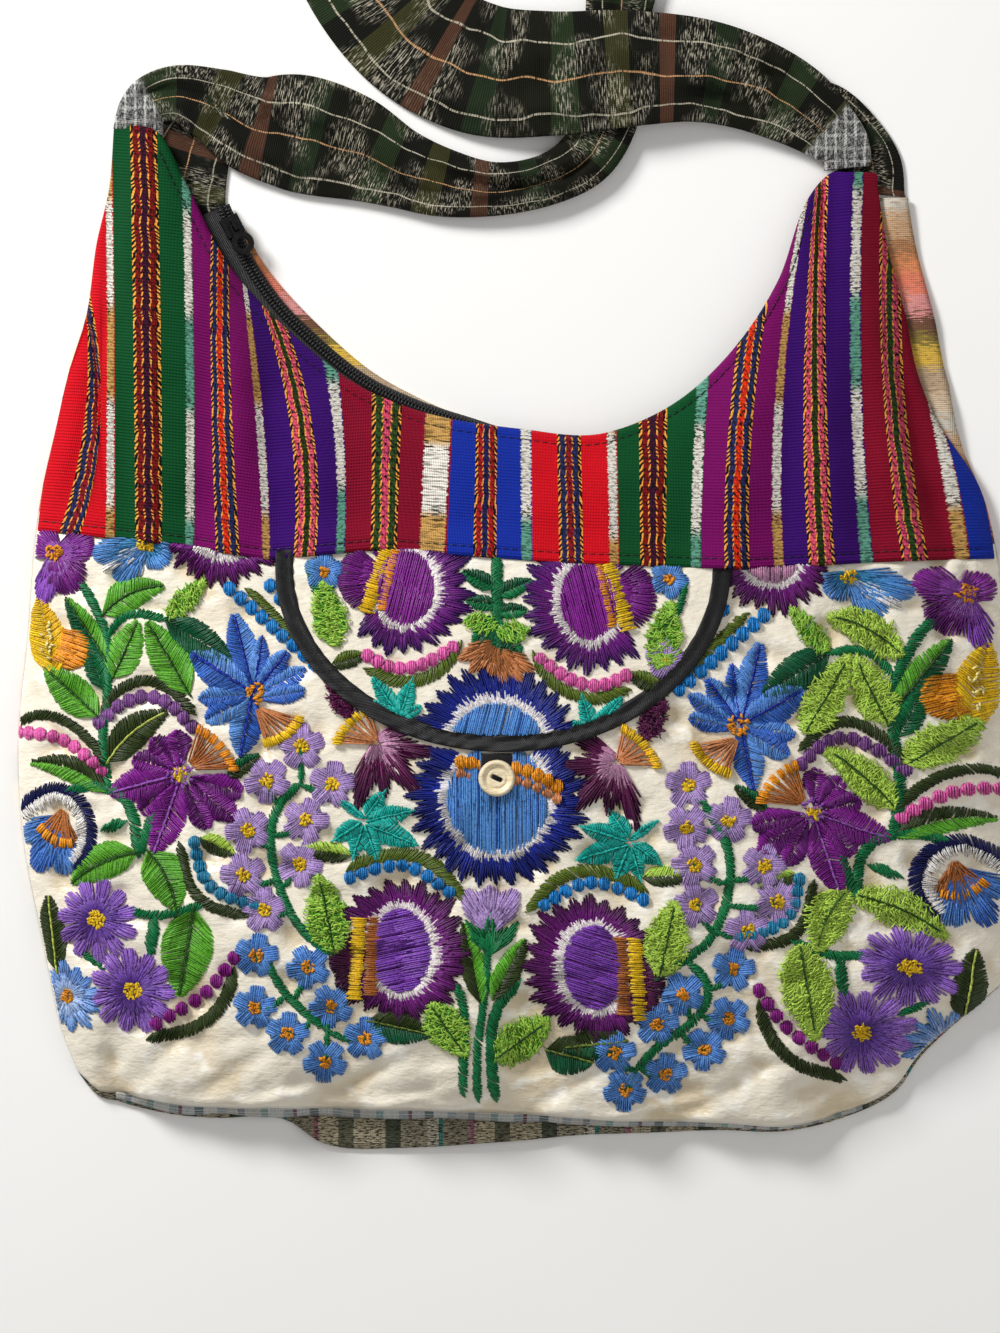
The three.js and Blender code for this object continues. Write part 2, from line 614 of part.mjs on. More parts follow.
// Slider over the chain, with a bail that holds the pull's pin
function slider() {
  const { seat, side, ahead, up } = chainSeat(SLIDER_AT);
  const plateTop = CHAIN_THICK + 1.5 * GAP + SLIDER_PLATE;
  const plateLow = plateTop - SLIDER_PLATE;
  const reach = SLIDER_WIDTH / 2 - SLIDER_FLANGE / 2;
  const solids = [
    block(SLIDER_LENGTH, SLIDER_WIDTH, SLIDER_PLATE, 0, 0, plateTop - SLIDER_PLATE / 2),
    block(SLIDER_LENGTH, SLIDER_FLANGE, plateLow + 0.02, 0, reach, plateLow / 2 + 0.01),
    block(SLIDER_LENGTH, SLIDER_FLANGE, plateLow + 0.02, 0, -reach, plateLow / 2 + 0.01),
  ];
  const bailLow = plateTop - 0.1;
  const bailTop = plateTop + BAIL_CLEAR;
  const post = BAIL_HALF - BAIL_POST / 2;
  solids.push(block(BAIL_POST, BAIL_WIDTH, bailTop - bailLow + 0.1, post, 0, (bailTop + bailLow) / 2 + 0.05));
  solids.push(block(BAIL_POST, BAIL_WIDTH, bailTop - bailLow + 0.1, -post, 0, (bailTop + bailLow) / 2 + 0.05));
  solids.push(block(2 * BAIL_HALF, BAIL_WIDTH, 0.9, 0, 0, bailTop + 0.45));
  const body = solids.map(toSolid).reduce((sum, solid) => sum.add(solid));

  // The pull: pin under the bail, two arms beside it, and a flat ring
  const armReach = BAIL_WIDTH / 2 + 0.4 + PULL_ARM / 2;
  const pinHalf = armReach + PULL_ARM / 2;
  const pin = rod(PIN_RADIUS, 8, [-pinHalf, pinHalf], (along, a, b) => new THREE.Vector3(a, along, b));
  const armLength = PULL_NECK + 0.8;
  const arms = [armReach, -armReach].map((y) => block(armLength, PULL_ARM, PULL_THICK, armLength / 2 - 0.5, y, 0));
  const neckPlate = block(2, 2 * pinHalf, PULL_THICK, PULL_NECK + 0.6, 0, 0);
  const ringMiddle = PULL_NECK + PULL_RING;
  const disc = (radius, half, count) => rod(radius, count, [-half, half], (along, a, b) =>
    new THREE.Vector3(ringMiddle + a, b, along));
  const ring = toSolid(disc(PULL_RING, PULL_THICK / 2, 24)).subtract(toSolid(disc(PULL_HOLE, 2, 20)));
  const pull = [pin, ...arms, neckPlate].map(toSolid).reduce((sum, solid) => sum.add(solid), ring);

  const place = new THREE.Matrix4().makeBasis(ahead, side, up).setPosition(seat);
  const pinPlace = new THREE.Matrix4().makeTranslation(0, 0, plateTop + BAIL_CLEAR / 2);
  const sliderMesh = node("zip_slider", fromSolid(body).applyMatrix4(place), BLACK_ENAMEL);
  const pullMesh = node("zip_pull", fromSolid(pull).applyMatrix4(pinPlace).applyMatrix4(place), BLACK_ENAMEL);
  return [sliderMesh, pullMesh];
}

const bag = new THREE.Group();
bag.name = "patchwork_hobo_bag";
bag.add(
  backPanel(), baseStrip(), frontPanel(), frontYoke(), pocketFlap(), flapBinding(), ...fasteners(),
  strap(), zipTape(), zipChain(), ...slider(),
);

export default bag;
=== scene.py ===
"""Looks of the patchwork hobo bag: its cloths, embroidery, strap, zip and button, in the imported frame.

Sizes are in millimetres, as in the part's source, and turn into metres where a mesh is made.
"""
import logging
import math
from dataclasses import dataclass, replace
from enum import Enum
from typing import Callable, Sequence

import bmesh
import bpy
import numpy as np
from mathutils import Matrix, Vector


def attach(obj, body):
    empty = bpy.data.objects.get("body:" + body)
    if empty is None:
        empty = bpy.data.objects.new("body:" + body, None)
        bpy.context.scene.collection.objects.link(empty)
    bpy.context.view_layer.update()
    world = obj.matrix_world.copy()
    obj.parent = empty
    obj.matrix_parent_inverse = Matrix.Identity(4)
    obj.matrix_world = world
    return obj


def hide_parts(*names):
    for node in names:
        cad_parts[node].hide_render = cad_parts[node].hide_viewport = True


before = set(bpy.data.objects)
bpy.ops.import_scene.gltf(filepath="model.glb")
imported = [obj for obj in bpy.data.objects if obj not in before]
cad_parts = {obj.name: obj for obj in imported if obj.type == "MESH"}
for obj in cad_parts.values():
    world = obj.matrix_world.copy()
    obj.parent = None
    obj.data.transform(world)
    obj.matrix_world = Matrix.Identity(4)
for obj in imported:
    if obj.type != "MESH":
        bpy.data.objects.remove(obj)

Array = np.ndarray
Pair = tuple[Array, Array]
Rows = Sequence[Sequence[float]]
Stops = tuple[tuple[float, str], ...]
Colour = tuple[float, float, float, float]
Object = bpy.types.Object
Material = bpy.types.Material
Socket = bpy.types.NodeSocket
Tree = bpy.types.NodeTree

MM = 0.001
TURN = 2 * math.pi
NUMBER = "NodeSocketFloat"
log = logging.getLogger("hobo_bag")


# Plain arithmetic

def mix(a: Array, b: Array, t: Array) -> Array:
    """Value between a and b at share t."""
    return a + (b - a) * t


def ramp_up(low: float, high: float, value: Array) -> Array:
    """Smooth rise from 0 at low to 1 at high."""
    t = np.clip((value - low) / (high - low), 0, 1)
    return t * t * (3 - 2 * t)


def bell(offset: Array, spread: float) -> Array:
    """Bell curve of a fold across its own spread."""
    return np.exp(-((offset / spread) ** 2))


def window(value: Array, low: float, high: float) -> Array:
    """Rise from 0 to 1 and back over a stretch, so that a fold fades at both ends."""
    return np.sin(np.pi * np.clip((value - low) / (high - low), 0, 1)) ** 0.7


def linear(code: str) -> Colour:
    """Scene-linear colour of a six-digit colour code.

    Args:
        code: Colour as six hexadecimal digits.

    Returns:
        The colour in linear light, opaque.
    """
    parts = [int(code[i:i + 2], 16) / 255 for i in (0, 2, 4)]
    red, green, blue = (p / 12.92 if p <= 0.04045 else ((p + 0.055) / 1.055) ** 2.4 for p in parts)
    return red, green, blue, 1.0


class Table:
    """A smooth function through the rows of a short table with named columns.

    The first column is the key. The slope at a key is the mean of the slopes beside it, and past
    both ends the value stays level.
    """

    def __init__(self, columns: str, rows: Rows) -> None:
        """Keep the columns and work out the slopes.

        Args:
            columns: Names of the columns, the key first.
            rows: One row of numbers for each key.
        """
        data = np.array(rows, float)
        self.keys = data[:, 0]
        step = np.diff(self.keys)[:, None]
        slope = np.diff(data[:, 1:], axis=0) / step
        tangent = np.vstack([slope[:1], (slope[:-1] + slope[1:]) / 2, slope[-1:]])
        self.values = data[:, 1:]
        self.tangents = tangent
        self.index = {name: place for place, name in enumerate(columns.split()[1:])}

    def read(self, name: str, key: Array) -> Array:
        """Value of one column at the keys.

        Args:
            name: Name of the column.
            key: Where to read it.

        Returns:
            The values, in the shape of the keys.
        """
        column = self.index[name]
        held = np.clip(np.asarray(key, float), self.keys[0], self.keys[-1])
        at = np.clip(np.searchsorted(self.keys, held, side="right") - 1, 0, len(self.keys) - 2)
        width = self.keys[at + 1] - self.keys[at]
        t = (held - self.keys[at]) / width
        low, high = self.values[at, column], self.values[at + 1, column]
        leave, arrive = self.tangents[at, column] * width, self.tangents[at + 1, column] * width
        rise = t * t * (3 - 2 * t)
        return mix(low, high, rise) + leave * t * (1 - t) ** 2 - arrive * t * t * (1 - t)

    def pair(self, key: Array) -> Pair:
        """Place on the floor plan, from the columns x and y."""
        return self.read("x", key), self.read("y", key)


@dataclass(frozen=True)
class Crinkle:
    """Seeded waves that pucker a cloth, in millimetres."""

    seed: int
    shortest: float
    longest: float
    depth: float
    waves: int = 18
    ridged: float = 0.5

    def at(self, x: Array, y: Array) -> Array:
        """Height of the puckers at places on the cloth.

        Args:
            x: Place across.
            y: Place along.

        Returns:
            Heights about zero.
        """
        rng = np.random.default_rng(self.seed)
        total = np.zeros_like(np.asarray(x, float))
        power = 0.0
        for _ in range(self.waves):
            length = math.exp(rng.uniform(math.log(self.shortest), math.log(self.longest)))
            turn, start = rng.uniform(0, math.pi), rng.uniform(0, TURN)
            weight = (length / self.longest) ** 0.8
            across = x * math.cos(turn) + y * math.sin(turn)
            total += weight * np.sin(across * TURN / length + start)
            power += weight * weight / 2
        total /= math.sqrt(power)
        crease = 0.8 - np.abs(total)
        return self.depth * mix(total, crease, self.ridged)


# Form of the lying bag

NECK_ROWS: Rows = [
    (0, -162.2, 176.3), (0.078, -160.4, 176), (0.137, -142.3, 171.8), (0.17, -132, 151.7),
    (0.24, -111.5, 114.4), (0.325, -70.5, 75.4), (0.4, -39, 59.9), (0.5, 4, 52),
    (0.595, 40, 50.8), (0.69, 78, 71.7), (0.775, 108.6, 112.8), (0.815, 120, 144.7),
    (0.835, 128, 155.4), (0.87, 137.5, 157), (0.905, 147.2, 157), (1, 148.6, 156.2),
]


class BagForm:
    """Outline and loft of the bag on its back, from the same tables as the solids."""

    CLOTH = 1.8
    GAP = 0.3
    RIM = CLOTH + GAP
    SIDE_POWER = 2.6
    SIDE_ROUND = 0.7
    NECK_DIP = 0.62
    NECK_REACH = 28
    SEAM_LEFT, SEAM_RIGHT = 10.7, -0.8
    HEM_LEFT, HEM_RIGHT = -211.6, -176
    HORN_LEFT, HORN_RIGHT = 176.3, 156.2
    FOLD_FADE = 12
    FOLD_PAST = 0.35
    PROBE = 0.002

    sides = Table("y left right", [
        (-234, -165, 155), (-214, -175, 161), (-204, -179.5, 167), (-192, -184, 180.5),
        (-176, -187.5, 200), (-149, -193, 203.8), (-116, -199.3, 204.6), (-75, -201.3, 204.6),
        (-34, -197.6, 203), (10, -194, 197.5), (30, -191, 191.5), (56, -185, 174.5),
        (76, -180.5, 166.5), (98, -173.5, 162), (129, -169, 154), (151, -164, 150.5), (180, -162, 146),
    ])
    loft = Table("y rise reach", [
        (-234, 9, 120), (-222, 12.5, 130), (-200, 20, 150), (-170, 27, 175), (-120, 32, 195),
        (-60, 33, 195), (0, 30, 190), (50, 25, 130), (100, 19, 75), (150, 14, 48), (180, 11, 42),
    ])
    seam = Table("u x y", [
        (0, -194, SEAM_LEFT), (0.16, -131, 3.3), (0.245, -98, -2), (0.36, -52, 2),
        (0.55, 22, -3.3), (0.735, 95, -6), (0.885, 153, -2.5), (1, 198.9, SEAM_RIGHT),
    ])
    neck = Table("u x y", NECK_ROWS)
    neck_at = Table("x y", [row[1:] for row in NECK_ROWS])
    hem = Table("u x y", [
        (0, -176.1, HEM_LEFT), (0.03, -168, -218.6), (0.06, -160, -219.4), (0.1, -151, -221),
        (0.17, -132, -224), (0.3, -80, -225), (0.44, -27.5, -226), (0.56, 20.5, -228.4),
        (0.64, 52, -230.4), (0.72, 85, -231), (0.79, 113.6, -232.4), (0.85, 138, -226.8),
        (0.9, 157, -217.5), (0.94, 168, -203.2), (0.97, 181.5, -191), (1, 200, HEM_RIGHT),
    ])
    lean = Table("u out", [(0, 3), (0.2, 4.5), (0.5, 4.5), (0.65, 3), (0.8, 1.6), (1, 1.4)])
    sag = Table("u out", [
        (0, 0.4), (0.06, 3.6), (0.2, 5.2), (0.27, 5.6), (0.31, 15), (0.4, 16.4), (0.5, 12.5),
        (0.6, 7), (0.7, 4.2), (0.8, 2.6), (0.88, 2), (1, 0.4),
    ])
    mouth = Table("u chain back", [
        (0.19, 9, 14), (0.215, 8.4, 13.6), (0.24, 6.5, 12), (0.3, 5, 10), (0.35, 4, 8),
        (0.4, 3, 5.5), (0.45, 1, 2), (0.5, -3, -3), (0.56, -6, -6), (0.81, -7, -6),
    ])
    # Folds of the yoke: share along the seam and the neckline, stretch, spread and depth
    yoke_folds: Rows = (
        (0.035, 0.05, 0.0, 0.75, 0.022, -2.6), (0.085, 0.095, 0.1, 0.95, 0.022, 1.6),
        (0.225, 0.215, 0.35, 1.0, 0.03, 2.4), (0.285, 0.265, 0.4, 1.0, 0.03, -2),
        (0.815, 0.85, 0.45, 1.0, 0.014, -2.4), (0.86, 0.875, 0.3, 1.0, 0.02, 1.6),
        (0.96, 0.94, 0.0, 0.7, 0.02, -1.8),
    )
    # Folds of the front panel: place across, stretch of height, spread and depth
    panel_folds: Rows = (
        (-160, -226, -185, 7, -3.2), (-118, -230, -200, 14, 2),
        (-62, -230, -196, 12, -1.8), (-20, -232, -200, 16, 1.6),
        (60, -236, -198, 12, -1.8), (108, -236, -196, 16, 2.2),
        (146, -228, -180, 9, -2.6),
    )

    def inset(self, x: Array, y: Array) -> Array:
        """Distance of a place from the nearer side edge."""
        return np.maximum(0, np.minimum(x - self.sides.read("left", y), self.sides.read("right", y) - x))

    def body_height(self, x: Array, y: Array) -> Array:
        """Height of the front's outer face above the floor, before its folds.

        Args:
            x: Places across.
            y: Places up the bag.

        Returns:
            Heights above the floor.
        """
        share = np.minimum(1, self.inset(x, y) / self.loft.read("reach", y))
        rounded = (1 - (1 - share) ** self.SIDE_POWER) ** self.SIDE_ROUND
        below = np.maximum(0, self.neck_at.read("y", x) - y)
        dip = 1 - self.NECK_DIP * np.exp(-below / self.NECK_REACH)
        return self.RIM + self.CLOTH + self.loft.read("rise", y) * rounded * dip

    def panel_height(self, x: Array, y: Array) -> Array:
        """Height of the front panel's outer face, with its main folds.

        Args:
            x: Places across.
            y: Places up the bag.

        Returns:
            Heights above the floor.
        """
        swell = sum(depth * bell(x - place, spread) * window(y, start, end)
                    for place, start, end, spread, depth in self.panel_folds)
        fade = np.minimum(1, self.inset(x, y) / self.FOLD_FADE)
        return self.body_height(x, y) + swell * fade

    def side(self, name: str, low: float, high: float) -> Callable[[Array], Pair]:
        """One side edge of the front between two heights, by share.

        Args:
            name: Column of the table of sides.
            low: Height at share 0.
            high: Height at share 1.

        Returns:
            A function from shares to places.
        """
        def edge(v: Array) -> Pair:
            """Place of the edge at share v."""
            y = mix(low, high, v)
            return self.sides.read(name, y), y
        return edge

    def patch(self, low: Callable, high: Callable, left: Callable, right: Callable) -> Callable:
        """A plan between four edges that share their corners.

        Args:
            low: Lower edge, by share u.
            high: Upper edge, by share u.
            left: Left edge, by share v.
            right: Right edge, by share v.

        Returns:
            A function from u and v to x and y.
        """
        corners = [edge(np.array(share)) for edge in (low, high) for share in (0.0, 1.0)]

        def plan(u: Array, v: Array) -> Pair:
            """Place at shares u and v.

            Args:
                u: Shares from left to right.
                v: Shares from low to high.

            Returns:
                Places across and up the bag.
            """
            def axis(k: int) -> Array:
                """One axis of the place.

                Args:
                    k: Number of the axis.

                Returns:
                    Places on that axis.
                """
                lines = mix(left(v)[k], right(v)[k], u) + mix(low(u)[k], high(u)[k], v)
                first, last = (mix(corners[c][k], corners[c + 1][k], u) for c in (0, 2))
                return lines - mix(first, last, v)
            return axis(0), axis(1)
        return plan

    def panel_plan(self, u: Array, v: Array) -> Pair:
        """Place on the front panel: u across, v from the seam down to the hem.

        Args:
            u: Shares across.
            v: Shares from the seam.

        Returns:
            Places across and up the bag.
        """
        left = self.side("left", self.SEAM_LEFT, self.HEM_LEFT)
        right = self.side("right", self.SEAM_RIGHT, self.HEM_RIGHT)
        return self.patch(self.seam.pair, self.hem.pair, left, right)(u, v)

    def yoke_plan(self, u: Array, v: Array) -> Pair:
        """Place on the yoke: u across, v from the seam up to the neckline and horns.

        Args:
            u: Shares across.
            v: Shares from the seam.

        Returns:
            Places across and up the bag.
        """
        left = self.side("left", self.SEAM_LEFT, self.HORN_LEFT)
        right = self.side("right", self.SEAM_RIGHT, self.HORN_RIGHT)
        return self.patch(self.seam.pair, self.neck.pair, left, right)(u, v)

    def yoke_height(self, x: Array, y: Array, top: Array) -> Array:
        """Height of the yoke's outer face, with its main folds.

        Args:
            x: Places across.
            y: Places up the bag.
            top: Upper end of the cloth at each place across.

        Returns:
            Heights above the floor.
        """
        share = np.clip((y - self.seam_y(x)) / np.maximum(1, top - self.seam_y(x)), 0, 1)
        width = self.seam.values[-1, 0] - self.seam.values[0, 0]
        swell = 0.0
        for low, high, start, end, spread, depth in self.yoke_folds:
            line = mix(self.seam.read("x", low), self.neck.read("x", high), share)
            fold = depth * bell(x - line, spread * width)
            swell = swell + fold * window(share, start, end + self.FOLD_PAST)
        fade = np.minimum(1, self.inset(x, y) / self.FOLD_FADE)
        return np.maximum(self.RIM + self.CLOTH, self.body_height(x, y) + swell * fade)

    def seam_y(self, x: Array) -> Array:
        """Height on the plan of the cross seam above a place x."""
        return np.interp(x, self.seam.values[:, 0], self.seam.values[:, 1])

    def past(self, edge: Table, u: Array) -> Pair:
        """Way past an edge on the floor plan, square to it.

        Args:
            edge: Table of the edge.
            u: Shares along it.

        Returns:
            Unit ways, as x and y.
        """
        x0, y0 = edge.pair(u - self.PROBE)
        x1, y1 = edge.pair(u + self.PROBE)
        length = np.maximum(1e-9, np.hypot(x1 - x0, y1 - y0))
        return -(y1 - y0) / length, (x1 - x0) / length


FORM = BagForm()


# Meshes from arrays

def stack(*parts: Array) -> Array:
    """Places from their numbers, axis by axis."""
    return np.stack(np.broadcast_arrays(*parts), -1)


def run_of(path: Array) -> Array:
    """Length along a path at each of its places."""
    return np.concatenate([[0], np.linalg.norm(np.diff(path, axis=0), axis=1).cumsum()])


def new_object(name: str, data: bpy.types.ID) -> Object:
    """Link a new object to the scene.

    Args:
        name: Name of the object.
        data: Mesh, lamp or lens that it holds.

    Returns:
        The new object.
    """
    made = bpy.data.objects.new(name, data)
    bpy.context.scene.collection.objects.link(made)
    return made


def mark_points(mesh: bpy.types.Mesh, name: str, kind: str, values: Array) -> None:
    """Give each point of a mesh a named value, vector or colour, as the kind says."""
    field = {"FLOAT": "value", "FLOAT_VECTOR": "vector", "FLOAT_COLOR": "color"}[kind]
    mesh.attributes.new(name, kind, "POINT").data.foreach_set(field, values.astype(np.float32).ravel())


def grid_faces(rows: int, columns: int) -> Array:
    """Quads of a grid of points, row by row."""
    first = (np.arange(rows - 1)[:, None] * columns + np.arange(columns - 1)).ravel()
    return np.stack([first, first + 1, first + columns + 1, first + columns], axis=1)


def grid_normals(grid: Array) -> Array:
    """Unit normals of a grid of points, turned upwards.

    Args:
        grid: Places, rows by columns by 3.

    Returns:
        Unit ways, in the same order.
    """
    normals = np.cross(np.gradient(grid, axis=1), np.gradient(grid, axis=0))
    normals /= np.maximum(np.linalg.norm(normals, axis=2, keepdims=True), 1e-9)
    return normals * (1 if normals[..., 2].mean() > 0 else -1)


def outward(points: Array, faces: Array) -> Array:
    """The same quads, turned so that a closed mesh faces out.

    Args:
        points: Places of the corners.
        faces: Corners of each quad.

    Returns:
        Corners of each quad, turned where needed.
    """
    a, b, c, d = (points[faces[:, k]] for k in range(4))
    volume = np.einsum("ij,ij->i", a, np.cross(b, c)).sum() + np.einsum("ij,ij->i", a, np.cross(c, d)).sum()
    return faces if volume > 0 else faces[:, ::-1]


def to_object(name: str, points: Array, faces: Array | list, flat: Array | None = None) -> Object:
    """Make a smooth mesh object at the origin.

    Args:
        name: Name of the piece.
        points: Places in millimetres.
        faces: Corner numbers of each face.
        flat: Place of each point on the flat cloth, for patterns.

    Returns:
        The new object, linked to the scene.
    """
    mesh = bpy.data.meshes.new(name)
    mesh.from_pydata((points * MM).tolist(), [], [list(map(int, face)) for face in faces])
    if flat is not None:
        corner = np.empty(len(mesh.loops), int)
        mesh.loops.foreach_get("vertex_index", corner)
        layer = mesh.uv_layers.new(name="flat")
        layer.uv.foreach_set("vector", flat[corner].astype(np.float32).ravel())
    mesh.validate()
    mesh.shade_smooth()
    return new_object(name, mesh)


LEAST_WALL = 0.3


def cloth_wall(name: str, outer: Array, thickness: float, flat: Array, lowest: float = 0.0) -> Object:
    """Make a closed cloth wall from its outer skin.

    Args:
        name: Name of the piece.
        outer: Grid of places, rows by columns by 3.
        thickness: How thick the cloth is.
        flat: Grid of places on the flat cloth, rows by columns by 2.
        lowest: Height that the inner skin doesn't go below.

    Returns:
        The new object.
    """
    rows, columns = outer.shape[:2]
    inner = outer - grid_normals(outer) * thickness
    inner[..., 2] = np.minimum(np.maximum(inner[..., 2], lowest), outer[..., 2] - LEAST_WALL)
    quads = grid_faces(rows, columns)
    shift = rows * columns
    number = np.arange(shift).reshape(rows, columns)
    rim = np.concatenate([number[0, :-1], number[:-1, -1], number[-1, :0:-1], number[:0:-1, 0]])
    follow = np.roll(rim, -1)
    band = np.stack([follow, rim, rim + shift, follow + shift], axis=1)
    faces = np.vstack([quads, quads[:, ::-1] + shift, band])
    points = np.vstack([outer.reshape(-1, 3), inner.reshape(-1, 3)])
    return to_object(name, points, outward(points, faces), np.tile(flat.reshape(-1, 2), (2, 1)))


def tube(name: str, rings: Array, flat: Array) -> Object:
    """Make a closed body from rings of points with its ends capped.

    Args:
        name: Name of the piece.
        rings: Places, rings by points by 3.
        flat: Places on the flat cloth, rings by points by 2.

    Returns:
        The new object.
    """
    count, size = rings.shape[:2]
    number = np.arange(count * size).reshape(count, size)
    follow = np.roll(number, -1, axis=1)
    quads = np.stack([number[:-1], follow[:-1], follow[1:], number[1:]], axis=-1).reshape(-1, 4)
    points = rings.reshape(-1, 3)
    middle = np.vstack([rings[0].mean(axis=0), rings[-1].mean(axis=0)])
    every = np.vstack([points, middle])
    turned = outward(points, quads)
    same = bool((turned[0] == quads[0]).all())
    faces: list = turned.tolist()
    for ring, hub, flip in ((number[0], count * size, same), (number[-1], count * size + 1, not same)):
        for a, b in zip(ring, np.roll(ring, -1)):
            faces.append([hub, b, a] if flip else [hub, a, b])
    plan = np.vstack([flat.reshape(-1, 2), flat[0].mean(axis=0), flat[-1].mean(axis=0)])
    return to_object(name, every, faces, plan)


def join(first: Object, *others: Object) -> Object:
    """Join meshes into the first object, and return it.

    Args:
        first: Object that stays.
        others: Objects that go into it.

    Returns:
        The first object.
    """
    with bpy.context.temp_override(active_object=first, selected_editable_objects=[first, *others]):
        bpy.ops.object.join()
    return first


def paint_corners(piece: Object, name: str, colours: Array) -> None:
    """Give each face a colour of its own, with hard edges between faces.

    Args:
        piece: Piece to paint.
        name: Name of the layer.
        colours: One colour for each face.
    """
    mesh = piece.data
    layer = mesh.color_attributes.new(name=name, type="FLOAT_COLOR", domain="CORNER")
    total = np.empty(len(mesh.polygons), int)
    mesh.polygons.foreach_get("loop_total", total)
    layer.data.foreach_set("color", np.repeat(colours, total, axis=0).astype(np.float32).ravel())


def present(piece: Object, finish: Material, nodes: Sequence[str] = (),
            body: str = "bag") -> None:
    """Dress a piece, attach it to the body that it rides on, and hide the nodes of the frame that it
    replaces.

    Args:
        piece: The piece.
        finish: Its material.
        nodes: Nodes of the frame that it replaces.
        body: Body of the frame that it moves with.
    """
    if not piece.data.materials:
        piece.data.materials.append(finish)
    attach(piece, body)
    if nodes:
        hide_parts(*nodes)
    log.info("%s: %d faces on %s", piece.name, len(piece.data.polygons), body)


# Materials

def math_node(operation: str) -> Callable[..., "Wire"]:
    """Method that adds a math node of one kind, with the wire itself as the first number.

    Args:
        operation: Kind of sum.

    Returns:
        The method.
    """
    def reckon(wire: "Wire", *others: object) -> "Wire":
        """Result of the sum."""
        return wire.recipe.out("ShaderNodeMath", dict(enumerate((wire, *others))), operation=operation)
    return reckon


class Wire:
    """Output of a node that is reckoned with like a number."""

    __add__, __sub__, __mul__, __truediv__ = map(math_node, ("ADD", "SUBTRACT", "MULTIPLY", "DIVIDE"))
    __abs__, floor, fract = map(math_node, ("ABSOLUTE", "FLOOR", "FRACT"))
    sine, cosine, sign = map(math_node, ("SINE", "COSINE", "SIGN"))

    def __init__(self, recipe: "Recipe", socket: Socket) -> None:
        """Keep the socket and the recipe that it belongs to."""
        self.recipe, self.socket = recipe, socket

    def __rsub__(self, other: float) -> "Wire":
        """A number less this wire."""
        return self.recipe.out("ShaderNodeMath", {0: other, 1: self}, operation="SUBTRACT")

    def step(self, low: float, high: float) -> "Wire":
        """Smooth rise from 0 at low to 1 at high."""
        links = {"Value": self, "From Min": low, "From Max": high}
        return self.recipe.out("ShaderNodeMapRange", links, interpolation_type="SMOOTHSTEP")


